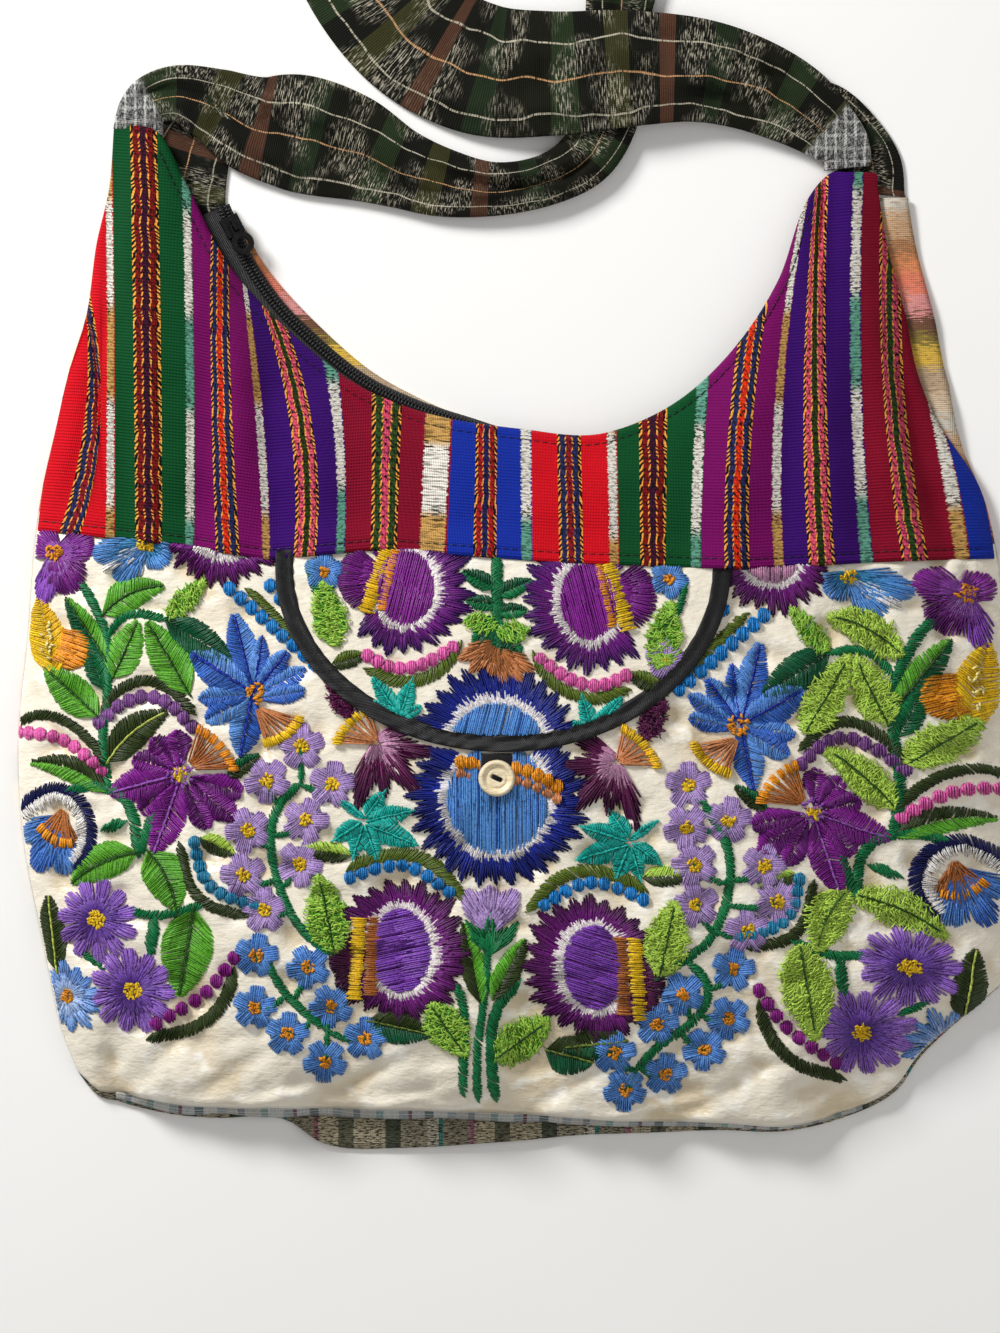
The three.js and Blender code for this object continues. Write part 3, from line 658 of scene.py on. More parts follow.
class Recipe:
    """Short hand for the nodes of one tree."""

    def __init__(self, tree: Tree) -> None:
        """Keep the node tree that the recipe fills."""
        self.tree = tree

    def add(self, kind: str, links: dict | None = None, **settings: object) -> bpy.types.Node:
        """Add a node.

        Args:
            kind: Type of the node.
            links: Socket names or numbers, with the wire or the value that goes in.
            settings: Properties of the node.

        Returns:
            The new node.
        """
        node = self.tree.nodes.new(kind)
        for name, value in settings.items():
            setattr(node, name, value)
        for place, value in (links or {}).items():
            self.put(node.inputs[place], value)
        return node

    def out(self, kind: str, links: dict | None = None, place: int | str = 0, **settings: object) -> Wire:
        """Add a node and give one of its outputs."""
        return Wire(self, self.add(kind, links, **settings).outputs[place])

    def put(self, socket: Socket, value: object) -> None:
        """Link a socket to a wire, or set its value, where a colour may be a code.

        Args:
            socket: Socket to fill.
            value: Wire, number, vector or colour code.
        """
        if isinstance(value, Wire):
            self.tree.links.new(value.socket, socket)
        else:
            coded = socket.type == "RGBA" and isinstance(value, str)
            socket.default_value = linear(value) if coded else value

    def blend(self, share: object, first: object, second: object, way: str = "MIX") -> Wire:
        """Colour between two colours."""
        links = {"Factor": share, 6: first, 7: second}
        return self.out("ShaderNodeMix", links, 2, data_type="RGBA", blend_type=way)

    def noise(self, vector: Wire, scale: float | tuple, detail: float = 2.0, rough: float = 0.5) -> Wire:
        """Soft noise between 0 and 1, at one scale or at a scale for each axis.

        Args:
            vector: Place in the pattern.
            scale: One scale, or one for each axis.
            detail: Number of finer layers.
            rough: Strength of the finer layers.

        Returns:
            The noise.
        """
        if isinstance(scale, tuple):
            links = {0: vector, 1: (*scale, 1.0)[:3]}
            vector, scale = self.out("ShaderNodeVectorMath", links, operation="MULTIPLY"), 1.0
        links = {"Vector": vector, "Scale": scale, "Detail": detail, "Roughness": rough}
        return self.out("ShaderNodeTexNoise", links, "Fac")

    def bands(self, value: Wire, stops: Stops) -> Wire:
        """Hard bands of colour along a value, by their starts and colour codes.

        Args:
            value: Value from 0 to 1.
            stops: Start and colour code of each band.

        Returns:
            The colour.
        """
        node = self.add("ShaderNodeValToRGB", {0: value})
        node.color_ramp.interpolation = "CONSTANT"
        marks = node.color_ramp.elements
        while len(marks) < len(stops):
            marks.new(1.0)
        for mark, (place, _) in zip(marks, stops):
            mark.position = place
        for mark, (_, code) in zip(marks, stops):
            mark.color = linear(code)
        return Wire(self, node.outputs[0])

    def parts(self, kind: str, whole: Wire) -> list[Wire]:
        """The three parts of a place or a colour."""
        return [Wire(self, part) for part in self.add(kind, {0: whole}).outputs[:3]]

    def vector(self, x: Wire, y: Wire) -> Wire:
        """A place from two numbers."""
        return self.out("ShaderNodeCombineXYZ", {0: x, 1: y})

    def flat(self) -> tuple[Wire, Wire, Wire]:
        """Place on the flat cloth: the vector, then across and along.

        Returns:
            The vector, the place across and the place along.
        """
        place = self.out("ShaderNodeUVMap", uv_map="flat")
        across, along, _ = self.parts("ShaderNodeSeparateXYZ", place)
        return place, across, along

    def place(self) -> Wire:
        """Place in the object's own frame, in millimetres."""
        links = {0: self.out("ShaderNodeTexCoord", place="Object"), 1: (1 / MM,) * 3}
        return self.out("ShaderNodeVectorMath", links, operation="MULTIPLY")

    def layer(self, name: str, part: str = "Color") -> Wire:
        """A painted layer of the mesh."""
        return self.out("ShaderNodeAttribute", None, part, attribute_name=name)

    def group(self, tree: Tree, links: dict) -> dict[str, Wire]:
        """Place a shared group with its own values, and give its outputs by name."""
        node = self.add("ShaderNodeGroup", links, node_tree=tree)
        return {socket.name: Wire(self, socket) for socket in node.outputs}


def start_group(name: str, kind: str, inputs: dict[str, float | str]) -> tuple[Recipe, dict[str, Wire]]:
    """Start a node group.

    Args:
        name: Name of the group.
        kind: Type of its tree.
        inputs: Usual value of each number input, and the socket type of any other.

    Returns:
        The recipe, and a wire from each input.
    """
    tree = bpy.data.node_groups.new(name, kind)
    for label, usual in inputs.items():
        typed = isinstance(usual, str)
        socket = tree.interface.new_socket(label, in_out="INPUT", socket_type=usual if typed else NUMBER)
        if not typed:
            socket.default_value = usual
    recipe = Recipe(tree)
    entry = recipe.add("NodeGroupInput").outputs
    return recipe, {label: Wire(recipe, entry[label]) for label in inputs}


def end_group(recipe: Recipe, outputs: dict[str, Wire], kind: str = NUMBER) -> Tree:
    """Close a node group with its named outputs, all of one socket type.

    Args:
        recipe: Recipe of the group.
        outputs: Wires by the names of the outputs.
        kind: Socket type of the outputs.

    Returns:
        The finished node tree.
    """
    for label in outputs:
        recipe.tree.interface.new_socket(label, in_out="OUTPUT", socket_type=kind)
    recipe.add("NodeGroupOutput", outputs)
    return recipe.tree


class SharedEffects:
    """Shader groups that several cloths use."""

    def __init__(self) -> None:
        """Build each group once."""
        self.weave = self.build_weave()
        self.ragged = self.build_ragged()

    @staticmethod
    def build_weave() -> Tree:
        """Crossing threads of a plain weave: a height for bump, and a tone for colour that is painted
        shade, lighter on raised threads and darker between them, with the yarn's own slub.

        Returns:
            The finished node tree.
        """
        inputs = {"Across": 0.0, "Along": 0.0, "Warp": 0.6, "Weft": 0.9, "Slub": 0.3}
        recipe, take = start_group("plain_weave", "ShaderNodeTree", inputs)
        warp = (take["Across"] / take["Warp"] * TURN).sine()
        weft = (take["Along"] / take["Weft"] * TURN).sine()
        slub = recipe.noise(recipe.vector(take["Across"], take["Along"]), (0.3, 1.7), 3.0, 0.6)
        height = weft * 0.65 + warp * 0.35
        loose = (slub - 0.5) * take["Slub"]
        # The tone is painted shade: it follows the threads' height, lighter where they rise and darker
        # between them, plus the slub's own unevenness.
        return end_group(recipe, {"Height": height * 0.5 + loose, "ShadeAndSlub": height * 0.16 + (loose + 1.0)})

    @staticmethod
    def build_ragged() -> Tree:
        """Ragged threads of a tie-dyed yarn: 1 inside a stripe's half width, frayed along its edge.

        Returns:
            The finished node tree.
        """
        inputs = {"Offset": 0.0, "Half": 0.3, "Across": 0.0, "Along": 0.0, "Fray": 0.25, "Fine": 1.4,
                  "Coarse": 0.12}
        recipe, take = start_group("ragged_dye", "ShaderNodeTree", inputs)
        place = recipe.vector(take["Across"] * take["Coarse"], take["Along"] * take["Fine"])
        fray = recipe.noise(place, 1.0, 2.5, 0.65) - 0.5
        inside = fray * take["Fray"] + take["Half"] - abs(take["Offset"])
        return end_group(recipe, {"Mask": inside.step(-0.02, 0.02), "Fleck": fray.step(0.0, 0.07)})


class Finish(Recipe):
    """Recipe of one material, with its shader."""

    def __init__(self, name: str, **values: float) -> None:
        """Start the material and set values on its shader, with underscores for spaces.

        Args:
            name: Name of the material.
            values: Values of the shader's sockets.
        """
        self.material = bpy.data.materials.new(name)
        self.material.use_nodes = True
        super().__init__(self.material.node_tree)
        self.inputs = self.tree.nodes["Principled BSDF"].inputs
        for socket, value in values.items():
            self.inputs[socket.replace("_", " ")].default_value = value

    def woven(self, shared: SharedEffects, colour: Wire, across: Wire, along: Wire,
              threads: tuple[float, float, float]) -> tuple[Wire, Wire]:
        """Cross a cloth with its threads.

        Args:
            shared: The shader groups of the cloths.
            colour: Colour of the cloth.
            across: Place across the cloth.
            along: Place along the cloth.
            threads: Pitch of the warp and of the weft, and how slubby they are.

        Returns:
            The colour with painted shade between its threads and the slub's tone, and the height of the
            threads.
        """
        sizes = dict(zip(("Warp", "Weft", "Slub"), threads))
        weave = self.group(shared.weave, {"Across": across, "Along": along, **sizes})
        # Painted shade: the colour is multiplied by the weave's shade and slub tone.
        tone = self.out("ShaderNodeCombineColor", {part: weave["ShadeAndSlub"] for part in range(3)})
        return self.blend(1.0, colour, tone, "MULTIPLY"), weave["Height"]

    def done(self, colour: Wire, height: Wire, depth: float, strength: float,
             rough: Wire | None = None) -> Material:
        """Give the shader what it needs.

        Args:
            colour: Colour of the surface.
            height: Relief of the surface.
            depth: Full step of the relief in millimetres.
            strength: How strongly the relief shows.
            rough: Roughness, where it varies.

        Returns:
            The material.
        """
        relief = {"Height": height, "Distance": depth * MM, "Strength": strength}
        self.put(self.inputs["Base Color"], colour)
        self.put(self.inputs["Normal"], self.out("ShaderNodeBump", relief))
        if rough:
            self.put(self.inputs["Roughness"], rough)
        return self.material


@dataclass(frozen=True)
class Satin:
    """Cream jacquard satin that puckers between its stitches, with painted shade in its creases and painted
    highlights on the crests of its crumples.
    """

    light: str = "EFE6D3"
    # The second and third colours are painted shade for the creases and a painted highlight for the crests
    # of the crumples.
    shade: str = "D9C49C"
    painted_gleam: str = "FAF5E8"

    def make(self) -> Material:
        """Build the material.

        Returns:
            The new material.
        """
        mat = Finish("cream_satin", Sheen_Weight=0.1, Specular_IOR_Level=0.5)
        place = mat.place()
        broad = mat.noise(place, 0.022).step(0.3, 0.7)
        # Painted shade: darker towards the shade colour where the cloth lies deep in a crease.
        painted_shade = mat.layer("painted_crease_shade", "Fac") * (broad * 0.5 + 0.5) * 0.85
        crumple = mat.noise(place, (0.1, 0.13, 0.1), rough=0.45)
        thread = mat.noise(place, (0.36, 0.84, 0.6), rough=0.6)
        colour = mat.blend(painted_shade, self.light, self.shade)
        # Painted highlight: the crests of the crumple relief are lightened.
        painted_highlight = mat.blend(crumple.step(0.52, 0.74), colour, self.painted_gleam)
        return mat.done(painted_highlight, thread * 0.25 + crumple, 1.7, 0.75, crumple * 0.25 + 0.2)


@dataclass(frozen=True)
class StripedCloth:
    """Warp-faced stripes with twisted ropes and tie-dyed columns, on the stripe map."""

    shared: SharedEffects
    black: str = "120C10"
    fleck: str = "E8A040"
    white: str = "ECE6DA"
    gold: str = "C4923A"
    teal: str = "4CA086"
    dark: str = "1A1410"
    stripe_width: float = 9.0
    rib: float = 1.25
    fleck_pitch: float = 2.7
    fleck_lean: float = 5.0
    twist_pitch: float = 3.4
    dye_repeat: float = 82.0

    def make(self) -> Material:
        """Build the material.

        Returns:
            The new material.
        """
        mat = Finish("striped_cloth", Roughness=0.8, Specular_IOR_Level=0.12)
        _, stripe, along = mat.flat()
        number, share = stripe.floor(), stripe.fract()
        roped, dyed, cool = mat.parts("ShaderNodeSeparateColor", mat.layer("kind"))
        rope, relief = self.rope(mat, share, number, along)
        ground = mat.layer("ground")
        colour = mat.blend(roped, ground, rope)
        mask, column = self.column(mat, share, number, along, cool)
        colour = mat.blend(dyed, colour, mat.blend(mask, ground, column))
        threads = (0.55, self.rib, 0.3)
        colour, height = mat.woven(self.shared, colour, stripe * self.stripe_width, along, threads)
        return mat.done(colour, relief * roped * 1.6 + height, 0.45, 0.9)

    def rope(self, mat: Finish, share: Wire, number: Wire, along: Wire) -> tuple[Wire, Wire]:
        """Two twisted strands beside a core, with lines of gold flecks on black, and painted shade in the
        grooves of the twist.

        Args:
            mat: The material's recipe.
            share: Place across the stripe, from 0 to 1.
            number: Number of the stripe.
            along: Place along the cloth.

        Returns:
            The colour, and a relief of the strands.
        """
        wander = mat.noise(mat.vector(number * 7.3, along * 0.13), 1.0) - 0.5
        place = wander * 0.2 + (share - 0.5)
        off = abs(place)
        rim = off.step(0.36, 0.4)
        inner = off.step(0.1, 0.125) - off.step(0.17, 0.195)
        slant = place * self.fleck_lean * place.sign() + along / self.fleck_pitch
        beat = (wander * 5.0 + slant) * TURN
        lines = mat.blend(beat.sine().step(-0.05, 0.25), self.black, self.fleck)
        rare = (beat + 2.1).sine().step(0.1, 0.4)
        twist = ((place * 3.0 + along / self.twist_pitch) * TURN).sine()
        mottle = mat.noise(mat.vector(share * 9.0 + number, along * 0.55), 1.0, 2.0, 0.6)
        colour = mat.blend(1.0 - off.step(0.12, 0.15), mat.layer("strand"), mat.layer("core"))
        colour = mat.blend(mottle.step(0.52, 0.62), colour, self.black)
        # Painted shade: the strands darken towards black in the low grooves of their twist.
        colour = mat.blend(twist.step(-0.3, -0.95) * 0.6, colour, self.black)
        colour = mat.blend(inner * rare, colour, self.fleck)
        return mat.blend(rim, colour, lines), twist * 0.35 + (1.0 - rim)

    def column(self, mat: Finish, share: Wire, number: Wire, along: Wire, cool: Wire) -> tuple[Wire, Wire]:
        """A ragged column that turns between white and a dyed colour.

        Args:
            mat: The material's recipe.
            share: Place across the stripe, from 0 to 1.
            number: Number of the stripe.
            along: Place along the cloth.
            cool: 1 where the dyed colour is teal, 0 where it is gold.

        Returns:
            Where the column is, and its colour.
        """
        seed, pace = number * 31.7, 1 / self.dye_repeat
        quick = mat.layer("kind", "Alpha")
        usual = {"Along": along, "Coarse": 1.0}
        mask = mat.group(self.shared.ragged, {"Offset": share - 0.5, "Half": 0.42, "Across": seed,
                                              "Fray": quick * -1.2 + 0.95, "Fine": 1.15, **usual})["Mask"]
        speck = mat.group(self.shared.ragged, {"Across": share * 1.9 + seed, "Fine": 1.2, **usual})["Fleck"]
        phase = seed.sine() * 0.1 + along * (quick * pace + pace)
        wave = (phase * TURN).cosine()
        tint = mat.blend(cool, self.gold, self.teal)
        colour = mat.blend(wave.step(-0.15, 0.35) * 0.92, self.white, tint)
        turning = abs(wave - 0.1).step(0.6, 0.15) * 0.35 + 0.6
        return mask, mat.blend(speck * turning, colour, self.dark)


@dataclass(frozen=True)
class DarkPlaid:
    """Dark tie-dyed plaid of the strap, with pale cuffs where it is sewn on."""

    shared: SharedEffects
    repeat: float = 94.0
    line_pitch: float = 17.4
    cream: str = "CFC7B0"
    peach: str = "D9A878"
    rust: str = "54382A"
    ash: str = "8F908C"
    soot: str = "3A3B3C"
    chalk: str = "E4E2DC"
    ground: Stops = (
        (0.0, "17170F"), (0.16, "24301C"), (0.27, "141510"), (0.4, "35351C"), (0.5, "151510"),
        (0.84, "1F2A1A"), (0.93, "15160F"),
    )

    def make(self) -> Material:
        """Build the material.

        Returns:
            The new material.
        """
        mat = Finish("dark_plaid", Roughness=0.88, Specular_IOR_Level=0.12)
        flat, across, along = mat.flat()
        across = (mat.noise(flat, (0.03, 0.035)) - 0.5) * 11.0 + across
        beat = (along / self.repeat).fract()
        cluster = mat.noise(flat, (0.035, 0.055), 1.0).step(0.44, 0.58)
        fleck = mat.noise(flat, (0.2, 1.9), 2.0, 0.6).step(0.5, 0.62) * cluster
        colour = mat.blend(fleck * 0.56, mat.bands(beat, self.ground), self.cream)
        red = beat.step(0.63, 0.635) - beat.step(0.695, 0.7)
        colour = mat.blend(red * 0.88, colour, self.rust)
        line = 1.0 - abs((across / self.line_pitch).fract() - 0.5).step(0.018, 0.032)
        middle = 1.0 - abs(across - 1.5 * self.line_pitch).step(2.0, 2.4)
        thread = mat.blend(middle, self.cream, self.peach)
        broken = mat.noise(flat, (0.08, 1.1), 2.0, 0.6).step(0.34, 0.5)
        colour = mat.blend(line * (broken * 0.7), colour, thread)
        colour = mat.blend(mat.layer("cuff", "Fac"), colour, self.cuff(mat))
        return mat.done(*mat.woven(self.shared, colour, across, along, (0.8, 0.8, 0.5)), 0.35, 0.8)

    def cuff(self, mat: Finish) -> Wire:
        """Colour of the cuffs' pale grey plaid, in the material's recipe.

        Args:
            mat: Recipe of the material.

        Returns:
            The colour.
        """
        place = mat.place()
        x, y, _ = mat.parts("ShaderNodeSeparateXYZ", place)
        dash = mat.noise(place, (1.9, 0.7, 0.7), 2.0, 0.6)
        colour = mat.blend(dash.step(0.42, 0.58), self.soot, self.ash)
        drift = mat.noise(place, 0.06, 1.0) * 4.0
        for axis, pitch, strength in ((x, 1.6, 0.6), (y, 1.2, 0.35)):
            bar = (axis * pitch + drift).sine().step(0.55, 0.9) * dash.step(0.3, 0.5)
            colour = mat.blend(bar * strength, colour, self.chalk)
        return colour


@dataclass(frozen=True)
class PalePlaid:
    """Light grey, blue and green plaid of the base strip."""

    shared: SharedEffects
    repeat: float = 47.0
    slate: str = "4A5058"
    chalk: str = "E2E0D8"
    ground: Stops = (
        (0.0, "B4B2AC"), (0.1, "7C8288"), (0.16, "B9B7B0"), (0.3, "7E9C98"), (0.36, "C4C6C2"),
        (0.5, "98A0A4"), (0.58, "6E3C48"), (0.61, "B8BABC"), (0.72, "5D6E72"), (0.8, "C9C8C4"),
        (0.92, "98A2A8"),
    )

    def make(self) -> Material:
        """Build the material.

        Returns:
            The new material.
        """
        mat = Finish("pale_plaid", Roughness=0.88)
        flat, across, along = mat.flat()
        colour = mat.bands((along / self.repeat).fract(), self.ground)
        dash = mat.noise(flat, (2.2, 1.4), 2.0, 0.6).step(0.5, 0.62)
        colour = mat.blend(dash * 0.6, colour, self.slate)
        colour = mat.blend((across * 2.1).sine().step(0.6, 0.8) * 0.5, colour, self.chalk)
        _, height = mat.woven(self.shared, colour, across, along, (0.7, 0.7, 0.4))
        return mat.done(colour, height, 0.3, 0.8)


@dataclass(frozen=True)
class WarmIkat:
    """Tie-dyed back cloth in warm bands, brown and cream below the base."""

    shared: SharedEffects
    top: float = 148.0
    repeat: float = 90.0
    column: float = 64.0
    brown: str = "7A5840"
    earth: str = "2E261E"
    warm: Stops = (
        (0.0, "C9C2B4"), (0.07, "C8A27C"), (0.2, "A8764E"), (0.27, "D98A58"), (0.35, "DF7C62"),
        (0.45, "D9908C"), (0.54, "6E4A34"), (0.63, "8A7A34"), (0.68, "E0B848"), (0.78, "B79E80"),
        (0.9, "CDB79A"),
    )
    low: Stops = (
        (0.0, "B9AE90"), (0.2, "4E5844"), (0.3, "A79E86"), (0.47, "CFC6B2"), (0.54, "3F8C86"),
        (0.57, "9A927A"), (0.74, "B07080"), (0.77, "C4B898"), (0.9, "6A6C54"),
    )

    def make(self) -> Material:
        """Build the material.

        Returns:
            The new material.
        """
        mat = Finish("warm_ikat", Roughness=0.9)
        flat, across, along = mat.flat()
        slipped = (mat.noise(flat, (0.14, 1.3), 2.5, 0.65) - 0.5) * 26.0 + along
        bands = mat.bands(((self.top - slipped) / self.repeat).fract(), self.warm)
        brown = mat.noise(flat, (0.2, 1.5), 2.0, 0.65).step(0.55, 0.63)
        bands = mat.blend(brown * 0.6, bands, self.brown)
        speck = mat.noise(flat, (0.4, 1.9), 3.0, 0.7).step(0.47, 0.56)
        plaid = mat.blend(speck, mat.bands((across / self.column).fract(), self.low), self.earth)
        colour = mat.blend(along.step(-120.0, -160.0), bands, plaid)
        return mat.done(*mat.woven(self.shared, colour, across, along, (0.8, 0.8, 0.5)), 0.3, 0.8)


@dataclass(frozen=True)
class BlackCloth:
    """Black bias cloth and zip tape, with a fine twill and a little lint."""

    code: str = "09090B"
    worn: str = "1A1A1E"

    def make(self) -> Material:
        """Build the material.

        Returns:
            The new material.
        """
        mat = Finish("black_cloth", Sheen_Weight=0.04, Specular_IOR_Level=0.4)
        _, across, along = mat.flat()
        lint = mat.noise(mat.place(), 0.5, 4.0, 0.7)
        colour = mat.blend(lint.step(0.45, 0.8), self.code, self.worn)
        twill = ((across + along) * 7.0).sine() * 0.3 + lint
        return mat.done(colour, twill, 0.35, 0.7, lint * 0.3 + 0.4)


@dataclass(frozen=True)
class Enamel:
    """Black enamelled metal and coil, a little scuffed."""

    name: str = "black_enamel"
    metal: float = 0.4
    least_rough: float = 0.2
    code: str = "0E0E10"
    worn: str = "3A3834"

    def make(self) -> Material:
        """Build the material.

        Returns:
            The new material.
        """
        mat = Finish(self.name, Metallic=self.metal)
        scuff = mat.noise(mat.place(), 0.9, 4.0, 0.7)
        colour = mat.blend(scuff.step(0.55, 0.8), self.code, self.worn)
        return mat.done(colour, scuff, 0.05, 0.5, scuff * 0.3 + self.least_rough)


@dataclass(frozen=True)
class Bone:
    """Cream button with a faint turned grain."""

    light: str = "EFE0BE"
    grain: str = "CDB387"

    def make(self) -> Material:
        """Build the material.

        Returns:
            The new material.
        """
        mat = Finish("bone", Coat_Weight=0.15, Specular_IOR_Level=0.5)
        streak = mat.noise(mat.place(), (0.25, 1.8, 0.4), 4.0, 0.6)
        colour = mat.blend(streak.step(0.42, 0.72), self.light, self.grain)
        return mat.done(colour, streak, 0.06, 0.6, streak * 0.2 + 0.3)


@dataclass(frozen=True)
class FlossFinish:
    """Glossy cotton floss, coloured thread by thread."""

    dimmed: Colour = (0.45, 0.45, 0.5, 1.0)

    def make(self) -> Material:
        """Build the material.

        Returns:
            The new material.
        """
        mat = Finish("floss", Roughness=0.42, Specular_IOR_Level=0.3)
        tint = mat.layer("tint")
        strand = mat.noise(mat.place(), 1.1, 3.0, 0.7)
        dull = mat.blend(1.0, tint, self.dimmed, "MULTIPLY")
        return mat.done(mat.blend(strand.step(0.58, 0.3), tint, dull), strand, 0.25, 0.6)


class Finishes:
    """Every finish of the bag, built once."""

    def __init__(self) -> None:
        """Build the materials."""
        shared = SharedEffects()
        self.satin = Satin().make()
        self.striped = StripedCloth(shared).make()
        self.dark_plaid = DarkPlaid(shared).make()
        self.pale_plaid = PalePlaid(shared).make()
        self.warm_ikat = WarmIkat(shared).make()
        self.black_cloth = BlackCloth().make()
        self.black_coil = Enamel("black_coil", 0.0, 0.35).make()
        self.enamel = Enamel().make()
        self.bone = Bone().make()
        self.floss = FlossFinish().make()


# Pieces of the bag

def eased(count: int, share: float = 0.5) -> Array:
    """Steps from 0 to 1 that lie closer together near both ends."""
    t = np.linspace(0, 1, count)
    return mix(t, (1 - np.cos(np.pi * t)) / 2, share)


def powered(wave: Array, power: float) -> Array:
    """A wave with its sign kept and its size raised to a power, which squares a round section."""
    return np.sign(wave) * np.abs(wave) ** power


def quarter_round(distance: Array, radius: float) -> Array:
    """How far a rolled edge drops, from its radius at the edge to nothing."""
    share = np.clip(1 - distance / radius, 0, 1)
    return radius * (1 - np.sqrt(1 - share * share))


def slanting_folds(folds: Rows, x: Array, y: Array) -> Array:
    """Height of straight folds, each from x0, y0 to x1, y1 with a spread and a depth.

    Args:
        folds: One row for each fold.
        x: Places across.
        y: Places up the bag.

    Returns:
        Heights to add.
    """
    total = 0.0
    for x0, y0, x1, y1, spread, depth in folds:
        share = (y - y0) / (y1 - y0)
        total = total + depth * bell(x - mix(x0, x1, share), spread) * window(share, -0.25, 1.1)
    return total


def mark_painted_crease_shade(piece: Object, creases: Array, deepest: float) -> None:
    """Mark how deep each point of a wall lies in a crease, for the satin's painted shade in its creases."""
    depth = np.clip(-creases / deepest, 0, 1)
    mark_points(piece.data, "painted_crease_shade", "FLOAT", np.tile(depth.ravel(), 2))


def row_run(x: Array, y: Array) -> Array:
    """Length along each row of a grid of places."""
    return np.hypot(np.gradient(x, axis=1), np.gradient(y, axis=1)).cumsum(axis=1)


@dataclass(frozen=True)
class FlapShape:
    """Half ellipse of the pocket flap on the front."""

    centre: float = -2.9
    half: float = 85.2
    depth: float = 67.6
    top: float = -5.0
    lift: float = 0.5
    cloth: float = 1.6
    binding: float = 6.5

    def edge(self, share: Array, offset: Array) -> Pair:
        """Place on the edge, or on a line set off from it.

        Args:
            share: Shares along the edge.
            offset: Distance outside the edge.

        Returns:
            Places across and up the bag.
        """
        turn = np.pi * np.clip(share, 0, 1)
        above = np.maximum(0, np.maximum(-share, share - 1)) * 2 * (self.half + self.depth)
        return (self.centre - (self.half + offset) * np.cos(turn),
                self.top - (self.depth + offset) * np.sin(turn) + above)

    def beyond(self, x: Array, y: Array) -> Array:
        """Rough distance of a place outside the edge, negative inside it.

        Args:
            x: Places across.
            y: Places up the bag.

        Returns:
            Distances.
        """
        down = np.minimum(0, y - self.top)
        reach = np.hypot((x - self.centre) / self.half, down / self.depth)
        return (reach - 1) * (self.half + self.depth) / 2


FLAP = FlapShape()


@dataclass(frozen=True)
class FrontPanel:
    """Embroidered satin wall, domed over the hollow of the bag."""

    CALM = 0.12
    CALM_GAP = (2, 14)
    SLACK = (-150, -205)
    TUCKED = (0.008, -0.012)
    columns: int = 212
    rows: int = 128
    thickness: float = 1.2
    tuck: float = 0.035
    sink: float = 1.9
    roll: float = 2.6
    least_rise: float = 0.4
    deepest: float = 1.6
    folds: Rows = (
        (-150, -214, -128, -184, 6, -2.4), (-130, -222, -96, -198, 7, -2.0),
        (-112, -226, -70, -212, 8, 1.8),
        (-74, -220, -34, -199, 6, -2.0), (-50, -224, -16, -214, 7, 1.4), (12, -224, 42, -205, 6, -2.0),
        (34, -230, 84, -219, 8, 1.8), (72, -228, 106, -206, 7, -2.0), (118, -222, 150, -190, 7, -2.2),
    )
    pucker: Crinkle = Crinkle(seed=11, shortest=10, longest=30, depth=1.35)
    swell: Crinkle = Crinkle(seed=5, shortest=32, longest=80, depth=1.8, ridged=0.25)

    def creases(self, x: Array, y: Array) -> Array:
        """Puckers and soft swells, calm under the flap and at the sides.

        Args:
            x: Places across.
            y: Places up the bag.

        Returns:
            Heights to add.
        """
        edge = ramp_up(0, 16, FORM.inset(x, y))
        calm = mix(self.CALM, 1, ramp_up(*self.CALM_GAP, FLAP.beyond(x, y)))
        low = ramp_up(*self.SLACK, y)
        fine = self.pucker.at(x, y) * mix(1, 0.8, low)
        broad = self.swell.at(x, y) * mix(0.5, 1.2, low)
        return edge * calm * (fine + broad + slanting_folds(self.folds, x, y))

    def height(self, x: Array, y: Array) -> Array:
        """Height of the outer face, puckers included."""
        return FORM.panel_height(x, y) + self.creases(x, y)

    def build(self, finishes: Finishes) -> None:
        """Make and dress the panel.

        Args:
            finishes: The bag's finishes.
        """
        u, v = np.meshgrid(eased(self.columns), np.linspace(-self.tuck, 1, self.rows))
        x, y = FORM.panel_plan(u, v)
        creases = self.creases(x, y)
        hem_gap = (1 - v) * (FORM.SEAM_LEFT - FORM.HEM_LEFT)
        sunk = ramp_up(*self.TUCKED, v) * (self.sink + np.maximum(0, creases))
        z = FORM.panel_height(x, y) + creases - quarter_round(hem_gap, self.roll) - sunk
        z = np.maximum(z, FORM.RIM + self.least_rise)
        piece = cloth_wall("front_panel_satin", stack(x, y, z), self.thickness, stack(x, y), FORM.RIM)
        mark_painted_crease_shade(piece, creases, self.deepest)
        present(piece, finishes.satin, ["front_panel"])


class StripeKind(Enum):
    """What a stripe of the yoke holds, with its number of mesh columns."""

    PLAIN = 9
    ROPE = 12
    DYED = 5


@dataclass(frozen=True)
class Band:
    """One colour band of the yoke: two plain stripes beside a rope, then a dyed column."""

    ground: str
    strand: str
    core: str
    first: float
    rope: float
    second: float
    dyed: float
    cool: float
    quick: float = 0.0


